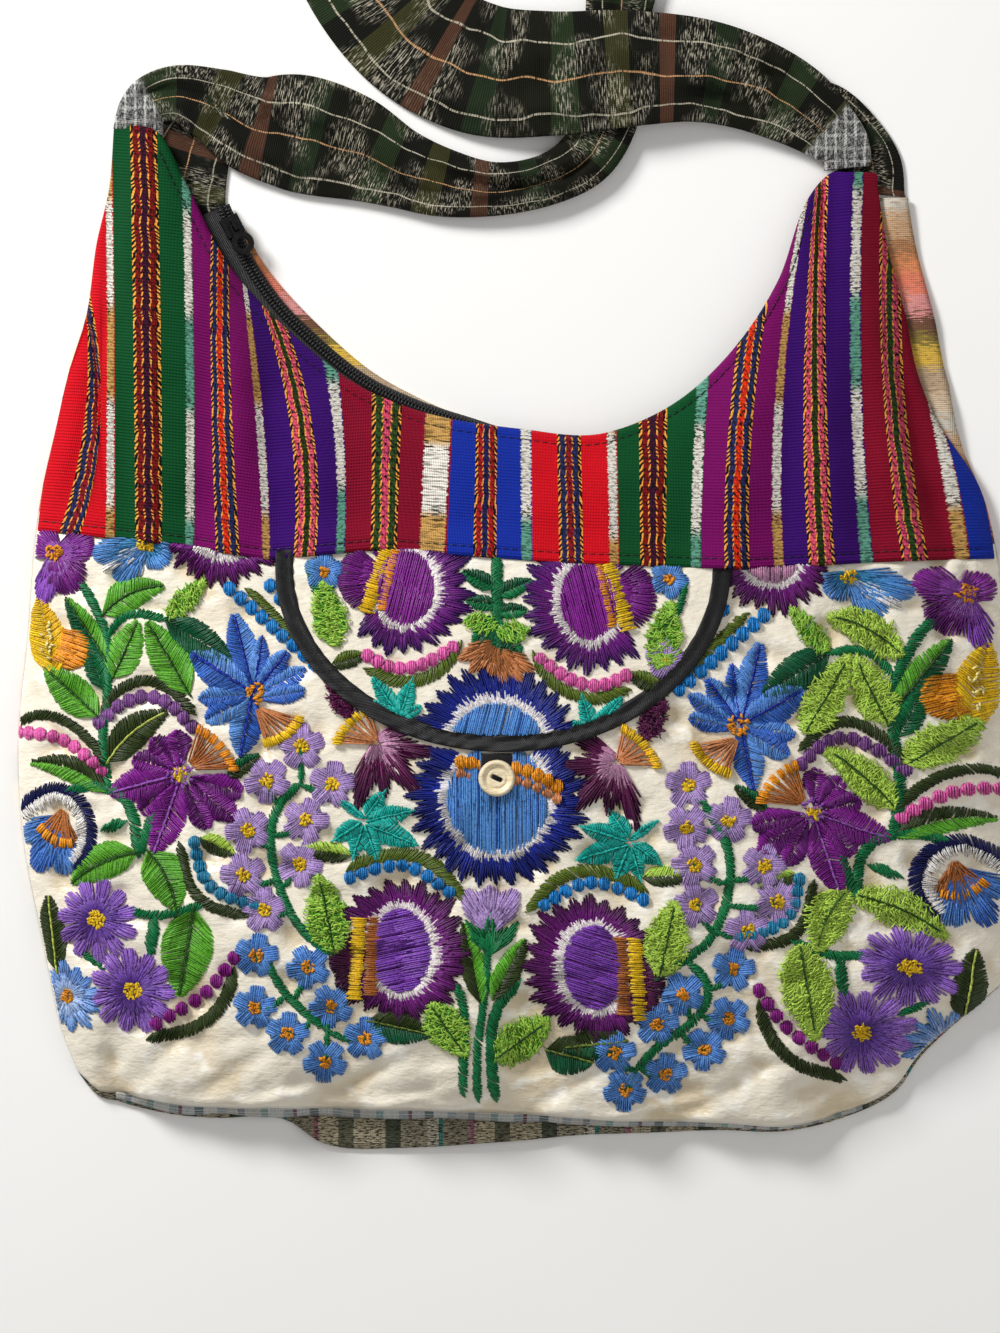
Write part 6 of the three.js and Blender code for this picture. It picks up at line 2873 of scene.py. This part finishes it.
@dataclass(frozen=True)
class Scabiosa:
    """A domed flower with a fringe: middle, half sizes, the fringe's reach and stretch in degrees,
    number of spikes, floss of dome, grooves, fringe and its inside, and the lean of the ribs."""

    middle: Point
    half: Point
    reach: float
    start: float
    end: float
    spikes: int
    dome: Floss
    groove: Floss
    fringe: Floss
    under: Floss
    lean: float

    def stitch(self, hand: Stitchery) -> None:
        """Lay the fringe of spikes with pale roots, then the dome.

        Args:
            hand: Stitchery that lays the stitches.
        """
        middle, half = np.array(self.middle), np.array(self.half)
        step = (self.end - self.start) / self.spikes
        width = math.radians(abs(step)) * self.reach * 1.2
        for number in range(self.spikes + 1):
            way = way_at(self.start + step * number)
            far = way * self.reach * hand.rng.uniform(0.96, 1.06)
            tip = middle + far + left_of(way) * hand.rng.normal(7.0, 1.5)
            root = middle + way * half * 0.92
            Spike(root, tip, width, F.WHITE, self.fringe, middle=self.under).stitch(hand)
        self.ribs(hand)

    def ribs(self, hand: Stitchery) -> None:
        """Ribs of long stitches over the dome, from edge to edge of its oval.

        Args:
            hand: Stitchery that lays the stitches.
        """
        middle, flat = np.array(self.middle), np.array(self.half)
        way = way_at(self.lean)
        side = -left_of(way)
        a, b, c = (float((first * second / flat ** 2).sum())
                   for first, second in ((way, way), (way, side), (side, side)))
        reach = 1 / math.sqrt(c - b ** 2 / a)
        s = np.arange(-reach * 0.98, reach * 0.98, hand.PITCH)
        root = np.sqrt(np.maximum(0, (b * s) ** 2 - a * (s * s * c - 1)))
        ribs = np.abs(np.sin(s / reach * np.pi * 2.6)) > 0.2
        dome = self.dome.tint()
        tone = np.where(ribs[:, None], dome, mix(dome, self.groove.tint(), 0.55))
        lines = middle + np.outer(s, side)
        first, last = (lines + np.outer((-b * s + end) / a, way) for end in (-root, root))
        cut = hand.rng.uniform(0.42, 0.6, (len(s), 1))
        halves = ((first, mix(first, last, cut + 0.05), 0.95), (mix(first, last, cut - 0.05), last, 1.08))
        for start, end, shade in halves:
            for raised in (False, True):
                pick = ribs == raised
                tones = tone[pick] * shade, tone[pick]
                hand.lay(start[pick], end[pick], Threads.DOME, *tones, 0.55 * raised)


Motif = Leaf | Petal | Knots | Flower | Stem | Beads | Fan | Column | Scabiosa


# Sets of floss that come again and again

GREEN = (F.BRIGHT, F.BRIGHT, F.RIB)
MOSSY = (F.MOSS, F.MOSS, F.LEMON)
TERRY = (F.LIME, F.BRIGHT)
LEAFLET = (F.TEAL, F.TEAL, F.TEAL)
COOL = (F.AZURE, F.SKY, F.ROYAL)
COOLER = (F.SKY, F.AZURE, F.ROYAL)
VIOLET = (F.LILY, F.LILY, F.ORCHID)
DAISY = (F.DEEP, F.DAISY, F.YELLOW)
SKY_BLOOM = (F.SKY, F.DOME, F.ORANGE)
PALE_BLOOM = (F.LAVENDER, F.LAVENDER, F.YELLOW)

# Chart of the left half, which the right half mirrors

SIDE_STEMS = (
    Stem(((78, 578), (90, 590), (103, 615), (112, 640), (113, 690), (106, 735), (112, 787)), 9, F.STEM),
    Stem(((112, 635), (125, 617), (145, 613), (170, 620)), 8, F.STEM),
    Stem(((72, 788), (95, 783), (125, 790), (140, 815), (142, 852)), 11, F.STEM),
    Stem(((158, 812), (150, 835), (142, 852)), 11, F.STEM), Stem(((128, 822), (108, 826)), 12, F.STEM),
    Stem(((128, 908), (165, 914), (206, 902)), 9, F.STEM), Stem(((160, 915), (153, 951)), 12, F.STEM),
    Stem(((86, 950), (106, 966)), 7, F.STEM), Stem(((252, 590), (314, 651)), 9, F.OLIVE),
    Stem(((105, 712), (120, 690), (150, 677), (180, 690), (197, 712)), 11, F.MOSS),
    Stem(((19, 721), (45, 712), (75, 722), (100, 745), (108, 762)), 10, F.MOSS),
    Stem(((186, 842), (190, 876), (208, 902), (250, 913)), 11, F.MOSS),
    Stem(((239, 968), (226, 1004), (195, 1028), (153, 1034)), 13, F.MOSS),
    Stem(((351, 863), (399, 847), (440, 860), (464, 896)), 13, F.OLIVE),
)
SIDE_LEAVES = (
    Leaf((107, 615), (170, 587), 34, *GREEN, 0.12),
    Leaf((110, 660), (68, 597), 26, F.DARK, F.BRIGHT, F.RIB),
    Leaf((117, 678), (143, 620), 36, *GREEN), Leaf((194, 694), (150, 620), 38, *GREEN),
    Leaf((170, 620), (240, 664), 34, F.PINE, F.PINE), Leaf((102, 716), (46, 666), 36, *GREEN),
    Leaf((112, 760), (174, 710), 34, *MOSSY, 0.08),
    Leaf((112, 790), (30, 762), 26, F.BRIGHT, F.MOSS, None, -0.1),
    Leaf((141, 850), (73, 883), 36, *GREEN, -0.08), Leaf((153, 848), (181, 909), 44, *GREEN, 0.08),
    Leaf((198, 905), (182, 996), 52, *GREEN), Leaf((58, 969), (50, 891), 28, *MOSSY),
    Leaf((205, 835), (240, 852), 20, F.LIME, F.MOSS), Leaf((232, 774), (264, 753), 18, F.DARK, F.MOSS),
    Leaf((354, 852), (303, 845), 20, F.MOSS, F.LIME),
    Leaf((337, 947), (322, 873), 42, *TERRY, F.RIB, terry=True),
    Leaf((172, 617), (208, 583), 22, *TERRY, terry=True), Leaf((108, 690), (90, 640), 22, F.DARK, F.STEM),
    Leaf((366, 816), (338, 794), 8, F.TEAL, F.TEAL), Leaf((368, 814), (386, 790), 19, *LEAFLET),
    Leaf((370, 818), (414, 808), 21, *LEAFLET), Leaf((370, 822), (420, 842), 23, *LEAFLET),
    Leaf((368, 824), (380, 858), 19, *LEAFLET), Leaf((365, 824), (356, 854), 19, *LEAFLET),
    Leaf((363, 820), (336, 838), 19, *LEAFLET), Leaf((370, 1016), (434, 1030), 34, F.MOSS, F.PINE, F.OLIVE),
    Leaf((352, 716), (334, 668), 26, F.BERRY, F.WINE, terry=True),
)
LILY_EYE = (186, 772)
LILY_LOBES = (
    (63, 20, 28), (55, 46, 28), (27, 56, 26), (-43, 40, 28), (-50, -15, 26), (-30, -36, 26), (-4, -44, 26),
)
STREAKED_PETALS = (
    ((378, 744), (358, 810), 24), ((380, 744), (388, 796), 22), ((384, 746), (424, 796), 24),
    ((380, 738), (430, 716), 20), ((384, 744), (440, 752), 22),
)


def lily_lobe(across: float, down: float, width: float) -> Leaf:
    """A lobe of the lily, from near its eye to a place across and down from it."""
    near, far = ((LILY_EYE[0] + across * share, LILY_EYE[1] + down * share) for share in (0.15, 1.0))
    return Leaf(near, far, width, F.LILY, F.PLUM, fullest=1.6)


SIDE_BLOOMS = (
    Leaf((257, 690), (237, 612), 30, *COOL, fullest=1.0),
    Leaf((258, 690), (266, 636), 20, *COOLER, fullest=1.2),
    Leaf((260, 690), (292, 650), 22, *COOLER, fullest=1.2),
    Leaf((262, 694), (310, 668), 20, F.SKY, F.AZURE, fullest=1.4),
    Leaf((262, 698), (310, 690), 20, F.SKY, F.AZURE, fullest=1.4),
    Leaf((256, 696), (244, 756), 32, *COOL, fullest=1.0),
    Leaf((254, 698), (208, 720), 24, F.SKY, F.AZURE, fullest=1.4),
    Leaf((252, 694), (202, 698), 22, F.AZURE, F.SKY, fullest=1.4),
    Leaf((254, 690), (194, 652), 36, *COOL, fullest=1.0),
    Leaf((176, 775), (112, 792), 34, *VIOLET, fullest=1.0),
    Leaf((184, 780), (158, 852), 38, *VIOLET, fullest=1.0),
    Scabiosa((402, 946), (30, 42), 72, -140, 140, 19, F.LILAC, F.PLUM, F.WINE, F.LILY, 12),
    Arch(((20, 812), (38, 796), (62, 787), (84, 800), (94, 826), (90, 850), (78, 864)), 17, F.NAVY,
         (58, 836)),
    Petal((62, 556), (36, 536), 34, F.ORCHID, F.LILY, 2.2),
    Petal((60, 554), (98, 542), 38, F.ORCHID, F.LILY, 2.2),
    Petal((58, 556), (80, 592), 44, F.LILY, F.PLUM, 2.4),
    Petal((56, 556), (44, 606), 26, F.ORCHID, F.LILAC, 2.2),
    Petal((58, 556), (64, 580), 30, F.LAVENDER, F.ORCHID, 2.4),
    Petal((150, 546), (96, 556), 34, F.LAKE, F.SKY, 2.4),
    Petal((148, 546), (120, 582), 32, F.SKY, F.DOME, 2.4),
    Petal((150, 546), (106, 572), 16, F.ICE, F.WHITE, 2.2),
    Petal((152, 546), (172, 566), 34, F.LAKE, F.SKY, 2.4),
    Petal((60, 644), (94, 656), 40, F.ORANGE, F.ORANGE, 2.6, 0.4),
    Petal((62, 818), (22, 838), 26, F.AZURE, F.SKY, 2.6),
    Petal((62, 822), (38, 870), 32, F.SKY, F.AZURE, 2.6),
    Petal((64, 824), (68, 874), 32, F.AZURE, F.SKY, 2.6),
    Petal((66, 818), (60, 850), 40, F.BROWN, F.BROWN, 2.0),
    Petal((366, 956), (332, 946), 50, F.BERRY, F.WINE, 2.2),
    Petal((364, 962), (340, 984), 30, F.BERRY, F.WINE, 2.2),
    *(lily_lobe(*lobe) for lobe in LILY_LOBES), Leaf((58, 676), (40, 596), 38, F.YELLOW, F.YELLOW),
    *(Spike(*petal, F.ROSE, F.WINE, root=0.16, drop=0.5) for petal in STREAKED_PETALS),
    Beads(((104, 722), (125, 703), (152, 694), (176, 703), (197, 726)), 10, 14, F.MAUVE),
    Beads(((19, 732), (55, 734), (83, 748), (106, 770)), 9, 13, F.PINK),
    Beads(((199, 840), (206, 876), (226, 892), (258, 902)), 9, 13, F.LAKE),
    Beads(((238, 954), (222, 976), (204, 995), (160, 1020)), 8, 14, F.BEAD),
    Beads(((234, 590), (318, 664)), 9, 14, F.BLUE), Beads(((274, 587), (294, 614)), 3, 13, F.BLUE),
    Beads(((353, 874), (385, 862), (415, 862), (450, 888)), 9, 13, F.BLUE),
    Fan((260, 706), (270, 742), (303, 718), 8, F.TAN, F.YELLOW),
    Fan((194, 766), (204, 728), (238, 766), 7, F.BROWN, F.ORANGE),
    Fan((68, 806), (44, 828), (74, 842), 5, F.BROWN, F.ORANGE),
    Fan((380, 742), (340, 740), (372, 708), 7, F.TAN, F.YELLOW),
    Column((362, 914), (356, 994), 15, F.YELLOW, 1.1), Column((376, 914), (372, 990), 14, F.BROWN, 1.1),
    Knots((57, 553), (9, 8), F.ORANGE, 26), Knots((150, 546), (9, 7), F.YELLOW, 24),
    Knots((260, 693), (10, 10), F.ORANGE, 30), Knots(LILY_EYE, (13, 13), F.ORCHID, 26),
    Knots(LILY_EYE, (7, 7), F.YELLOW, 22), Knots((50, 640), (6, 20), F.CREAM, 14),
    Flower((100, 917), 43, 11, *DAISY, 9, 12, 1.06, 3.2, 0.1),
    Flower((136, 987), 45, 11, *DAISY, 9, 30, 1.06, 3.2, 0.1),
    Flower((69, 994), 38, 12, F.ICE, F.SKY, F.ORANGE, 7, 8, 1.05, 2.0, 0.2),
)
SEAM_SCABIOSA = Scabiosa((228, 526), (30, 32), 62, 176, 364, 15, F.MAUVE, F.PLUM, F.WINE, F.LILY, 90)
LEFT_STEMS = (
    Stem(((304, 782), (280, 802), (272, 842), (284, 891), (304, 927), (336, 951)), 9, F.STEM),
    Stem(((268, 950), (276, 971), (292, 995), (330, 1026)), 8, F.STEM),
)
RIGHT_STEMS = (
    Stem(((700, 800), (722, 834), (728, 866), (722, 907), (706, 939), (682, 955), (652, 975)), 9, F.STEM),
    Stem(((686, 957), (704, 975), (706, 998), (686, 1023), (658, 1039), (634, 1067)), 9, F.STEM),
)
LEFT_LAVENDER = (
    (305, 745), (271, 779), (335, 782), (252, 828), (309, 818), (247, 872), (303, 861), (268, 906),
)
LEFT_SKY = ((260, 951), (311, 963), (258, 1003), (333, 1002), (290, 1029), (327, 1057), (367, 1034))
RIGHT_LAVENDER = (
    (685, 783), (683, 825), (725, 817), (691, 861), (760, 863), (693, 901), (773, 898), (744, 927),
)
RIGHT_SKY = (
    (730, 965), (680, 989), (655, 1019), (726, 1014), (613, 1048), (702, 1045), (664, 1070), (624, 1086),
)

# Chart of the middle below the flap

CENTRE_CHART = (
    Stem(((458, 980), (466, 1004), (463, 1090)), 9, F.STEM),
    Stem(((488, 943), (485, 994), (477, 1045), (478, 1096)), 8, F.STEM),
    Stem(((520, 978), (497, 1000), (490, 1035), (495, 1096)), 11, F.STEM),
    Leaf((432, 1000), (466, 1050), 38, *TERRY, F.RIB, terry=True),
    Leaf((482, 1000), (464, 915), 24, F.MOSS, F.BRIGHT),
    Leaf((496, 1054), (548, 1016), 40, *TERRY, F.RIB, terry=True),
    Leaf((546, 1046), (594, 1058), 40, F.MOSS, F.PINE, F.OLIVE),
    Leaf((492, 995), (526, 932), 26, F.BRIGHT, F.MOSS),
    Petal((490, 926), (466, 886), 28, F.LAVENDER, F.LAVENDER, 2.4),
    Petal((490, 924), (490, 882), 30, F.LAVENDER, F.LAVENDER, 2.4),
    Petal((490, 926), (516, 886), 28, F.LAVENDER, F.LAVENDER, 2.4),
    Petal((490, 948), (464, 914), 15, F.STEM, F.STEM, 1.0),
    Petal((490, 948), (491, 902), 17, F.STEM, F.STEM, 1.0),
    Petal((490, 948), (520, 916), 15, F.STEM, F.STEM, 1.0),
    Scabiosa((498, 797), (50, 54), 88, 140, 400, 23, F.DOME, F.AZURE, F.NAVY, F.ROYAL, 90),
    Beads(((462, 772), (483, 776)), 3, 10, F.TAN, 1.5),
    Beads(((462, 760), (483, 764)), 3, 13, F.ORANGE, 1.6),
    Beads(((516, 778), (536, 784), (556, 796)), 5, 10, F.TAN, 1.5),
    Beads(((516, 766), (536, 772), (556, 784)), 5, 13, F.ORANGE, 1.6),
)

# Chart of the left half of the flap, which its right half mirrors

FLAP_CHART = (
    Stem(((370, 668), (400, 684), (440, 675), (462, 645)), 12, F.OLIVE),
    Stem(((497, 556), (497, 640)), 11, F.STEM),
    Stem(((312, 566), (316, 588), (330, 606)), 7, F.STEM),
    Leaf((338, 646), (326, 584), 34, *TERRY, terry=True), Leaf((336, 664), (370, 654), 18, F.OLIVE, F.MOSS),
    Leaf((496, 590), (462, 572), 18, F.STEM, F.PINE), Leaf((496, 606), (466, 602), 16, F.STEM, F.PINE),
    Leaf((496, 628), (466, 620), 20, F.BRIGHT, F.LIME, terry=True),
    Leaf((498, 618), (472, 648), 22, F.PINE, F.STEM), Leaf((497, 618), (496, 652), 18, F.STEM, F.PINE),
    Leaf((402, 716), (374, 676), 18, *LEAFLET), Leaf((402, 716), (414, 678), 18, *LEAFLET),
    Leaf((402, 716), (424, 706), 14, F.TEAL, F.TEAL), Leaf((402, 716), (366, 700), 14, F.TEAL, F.TEAL),
    Scabiosa((407, 588), (28, 38), 68, -140, 120, 18, F.LILY, F.PLUM, F.INDIGO, F.LILY, 75),
    Petal((384, 580), (340, 578), 62, F.LILY, F.PLUM, 2.4),
    Petal((494, 644), (458, 660), 18, F.BROWN, F.TAN, 1.4),
    Petal((495, 644), (470, 674), 18, F.BROWN, F.TAN, 1.4),
    Petal((497, 646), (490, 678), 18, F.BROWN, F.TAN, 1.4),
    Beads(((370, 656), (395, 670), (425, 666), (454, 648)), 9, 13, F.PINK),
    Column((388, 552), (368, 614), 15, F.YELLOW, 1.2), Column((397, 552), (384, 612), 10, F.ORANGE, 1.2),
)
FLAP_LEFT = (Flower((327, 573), 20, 5, *SKY_BLOOM, 5, 15, 0.82, 2.6),)
FLAP_RIGHT = (
    Flower((332, 638), 20, 5, *PALE_BLOOM, 5, 15, 0.82, 2.6),
    Flower((328, 562), 20, 5, *SKY_BLOOM, 5, 40, 0.82, 2.6),
)
FLAP_BLOOM = Scabiosa((497, 742), (45, 40), 80, -2, 182, 15, F.DOME, F.AZURE, F.NAVY, F.ROYAL, 75)


@dataclass(frozen=True)
class Embroidery:
    """Hand-sewn flowers on the front panel and the flap."""

    panel: FrontPanel
    flap: PocketFlap
    clear: float = 0.8

    def on_panel(self, x: Array, y: Array) -> Array:
        """Whether a place is on the open part of the front panel.

        Args:
            x: Places across.
            y: Places up the bag.

        Returns:
            True where a stitch may lie.
        """
        below = FORM.seam_y(x) - y > -1.0
        tab = np.abs(x - self.flap.button_x) < self.flap.tab_width / 2 + 0.3
        tab &= y > self.flap.tab_bottom - 0.3
        return below & ~tab & (FORM.inset(x, y) > self.clear) & (FLAP.beyond(x, y) > FLAP.binding - 1.5)

    def on_flap(self, x: Array, y: Array) -> Array:
        """Whether a place is on the flap, inside its binding."""
        return (FORM.seam_y(x) - y > -1.5) & (FLAP.beyond(x, y) < 0.4)

    @staticmethod
    def right_leaves() -> list[Leaf]:
        """Leaves of the right half, where the wide ribbed ones are tufted.

        Returns:
            The leaves.
        """
        terry = {"terry": True, "left": F.LIME, "right": F.LIME, "rib": F.RIB}
        return [replace(leaf, **terry) if leaf.rib in (F.RIB, F.LEMON) and leaf.width > 30 else leaf
                for leaf in SIDE_LEAVES]

    @staticmethod
    def small_flowers(stems: Sequence[Stem], lavender: Sequence[Point],
                      sky: Sequence[Point]) -> list[Motif]:
        """Chart small five-petalled flowers at their own places, each with a branch to its stem.

        Args:
            stems: The stem of the lavender flowers, then that of the sky-blue ones.
            lavender: Middles of the lavender flowers.
            sky: Middles of the sky-blue flowers.

        Returns:
            The motifs.
        """
        chart: list[Motif] = []
        for stem, middles in zip(stems, (lavender, sky)):
            chart.append(stem)
            places, _ = along(stem.points, Stitchery.PITCH)
            for middle in middles:
                gap = np.linalg.norm(places + np.array([0, -16]) - middle, axis=1)
                near = places[int(gap.argmin())]
                bow = mix(near, np.array(middle), 0.5) + np.array([0, 7])
                chart.append(Stem((near, bow, middle), 6, F.STEM))
        chart += [Flower(middle, 23, 5, *PALE_BLOOM, 6.5, 20 + 31 * number, 0.78, 6.0)
                  for number, middle in enumerate(lavender)]
        chart += [Flower(middle, 22, 5, F.SKY, F.SKY, F.ORANGE, 6, 8 + 37 * number, 0.78, 6.0)
                  for number, middle in enumerate(sky)]
        return chart

    def build(self, finishes: Finishes) -> None:
        """Sew every part and dress it.

        Args:
            finishes: The bag's finishes.
        """
        right_seam = replace(SEAM_SCABIOSA, dome=F.ROSE)
        small_left = self.small_flowers(LEFT_STEMS, LEFT_LAVENDER, LEFT_SKY)
        small_right = self.small_flowers(RIGHT_STEMS, RIGHT_LAVENDER, RIGHT_SKY)
        panel, flap = (self.panel.height, self.on_panel), (self.flap.height, self.on_flap)
        parts = {
            "embroidery_left_leaves": (panel, Stitchery(101, (*SIDE_STEMS, *SIDE_LEAVES))),
            "embroidery_left_flowers": (panel, Stitchery(131, (*SIDE_BLOOMS, SEAM_SCABIOSA)),
                                        Stitchery(111, small_left)),
            "embroidery_right_leaves": (panel, Stitchery(202, (*SIDE_STEMS, *self.right_leaves()), True)),
            "embroidery_right_flowers": (panel, Stitchery(232, (*SIDE_BLOOMS, right_seam), True),
                                         Stitchery(212, small_right)),
            "embroidery_centre": (panel, Stitchery(303, CENTRE_CHART)),
            "embroidery_flap": (flap, Stitchery(505, (*FLAP_CHART, *FLAP_LEFT)),
                                Stitchery(606, (*FLAP_CHART, *FLAP_RIGHT), True),
                                Stitchery(404, (FLAP_BLOOM,))),
        }
        for name, (cloth, *hands) in parts.items():
            sewn = [hand.sew(f"{name}_{k}", finishes.floss, *cloth) for k, hand in enumerate(hands)]
            piece = join(*sewn)
            piece.name = name
            present(piece, finishes.floss)


@dataclass(frozen=True)
class StitchLines:
    """Black running stitches along the yoke's hem and neckline, and the thread in the button."""

    HEM_IN = 3
    NECK_RUN = (0.145, 0.825)
    STEPS = 600
    yoke: FrontYoke
    flap: PocketFlap
    stitch: float = 2.7
    pitch: float = 3.5
    thread: float = 0.5

    def line(self, x: Array, y: Array) -> Array:
        """Stitches along a path on the yoke, as threads of four places.

        Args:
            x: Places along the path, across.
            y: Places along the path, up the bag.

        Returns:
            Places in millimetres, threads by points by 3.
        """
        run = run_of(stack(x, y))
        starts = np.arange(0, run[-1] - self.pitch, self.pitch)[:, None]
        at = starts + self.stitch * Stitchery.SHARES
        px, py = np.interp(at, run, x), np.interp(at, run, y)
        z = self.yoke.surface(px, py) + 0.25 * Stitchery.ARCH + 0.05
        return stack(px, py, z)

    def slot(self) -> Array:
        """Threads through the button's slot.

        Returns:
            Places, threads by points by 3.
        """
        way, side = self.flap.button_ways()
        shift = np.linspace(-0.55, 0.55, 3)[:, None, None]
        reach = np.linspace(-2.0, 2.0, 4)[None, :, None]
        place = np.array([self.flap.button_x, self.flap.button_y]) + way * reach + side * shift
        level = self.flap.seat() + self.flap.tab_thick + 2 * FORM.GAP + 0.58 * self.flap.button_thick - 0.45
        return stack(place[..., 0], place[..., 1], level + 0.4 * Stitchery.ARCH)

    def build(self, finishes: Finishes) -> None:
        """Make and dress the stitches.

        Args:
            finishes: The bag's finishes.
        """
        first, last = FORM.seam.values[[0, -1], 0]
        x = np.linspace(first + self.HEM_IN, last - self.HEM_IN, self.STEPS)
        hem = self.line(x, FORM.seam_y(x) + self.yoke.stitch_gap)
        u = np.linspace(*self.NECK_RUN, self.STEPS)
        nx, ny = FORM.neck.pair(u)
        px, py = FORM.past(FORM.neck, u)
        neck = self.line(nx - px * self.yoke.stitch_gap, ny - py * self.yoke.stitch_gap)
        for name, points, width in (("yoke_stitches", np.concatenate([hem, neck]), self.thread),
                                    ("button_thread", self.slot(), 0.8)):
            tints = np.broadcast_to(F.BLACK.tint(), points.shape)
            piece = sew_lines(name, points, tints, np.full(points.shape[:2], width), finishes.floss)
            present(piece, finishes.floss)


# Studio

@dataclass(frozen=True)
class Studio:
    """Pale floor, soft lights and a camera straight above."""

    pixel: float = 0.41
    image_high: int = 1333
    centre: tuple[float, float] = (-4.1, -44.9)
    distance: float = 2000.0
    sensor: float = 36.0
    floor_size: float = 6000.0
    floor_drop: float = 0.2

    def build(self) -> None:
        """Make the floor, the lights, the world and the camera."""
        half = self.floor_size / 2
        points = np.array([(-half, -half, 0), (half, -half, 0), (half, half, 0), (-half, half, 0)], float)
        points[:, 2] = -self.floor_drop
        floor = to_object("floor", points, [(0, 1, 2, 3)])
        mat = Finish("pale_floor", Roughness=0.9)
        mottle = mat.noise(mat.place(), 0.006)
        mat.put(mat.inputs["Base Color"], mat.blend(mottle, "F7F6F3", "FCFBF9"))
        floor.data.materials.append(mat.material)
        self.light("key", (-1000, 1050, 900), 480, 32.0)
        self.light("fill", (900, -300, 1000), 1200, 2.6)
        self.light("top", (0, -100, 1900), 1500, 4.2)
        world = bpy.data.worlds.new("soft_room")
        world.use_nodes = True
        sky = world.node_tree.nodes["Background"].inputs
        sky["Color"].default_value = (1.0, 0.99, 0.97, 1.0)
        sky["Strength"].default_value = 0.25
        bpy.context.scene.world = world
        bpy.context.scene.view_settings.view_transform = "Standard"
        self.camera()

    def light(self, name: str, place: tuple[float, float, float], size: float, power: float) -> None:
        """Hang one square soft light that points at the bag's middle.

        Args:
            name: Name of the light.
            place: Where it hangs.
            size: Length of its side.
            power: Its power in watts.
        """
        lamp = bpy.data.lights.new(name, "AREA")
        lamp.size, lamp.energy = size * MM, power
        holder = new_object(name, lamp)
        holder.location = Vector(place) * MM
        aim = Vector((*self.centre, 0)) - Vector(place)
        holder.rotation_euler = aim.to_track_quat("-Z", "Y").to_euler()

    def camera(self) -> None:
        """Set the camera above the middle of the picture, with +Y up in the frame."""
        lens = bpy.data.cameras.new("camera")
        lens.sensor_width = self.sensor
        lens.lens = self.sensor * self.distance / (self.image_high * self.pixel)
        lens.clip_end = 20.0
        holder = new_object("camera", lens)
        holder.location = Vector((*self.centre, self.distance)) * MM
        bpy.context.scene.camera = holder


def main() -> None:
    """Build the bag's pieces in order."""
    logging.basicConfig(level=logging.INFO, format="%(name)s: %(message)s")
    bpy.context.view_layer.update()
    Studio().build()
    finishes = Finishes()
    panel = FrontPanel()
    BackPanel().build(finishes)
    panel.build(finishes)
    BaseStrip(panel).build(finishes)
    yoke = FrontYoke()
    yoke.build(finishes)
    flap = PocketFlap()
    flap.build(finishes)
    Strap().build(finishes)
    Zip().build(finishes)
    Embroidery(panel, flap).build(finishes)
    StitchLines(yoke, flap).build(finishes)


if __name__ == "__main__":
    main()
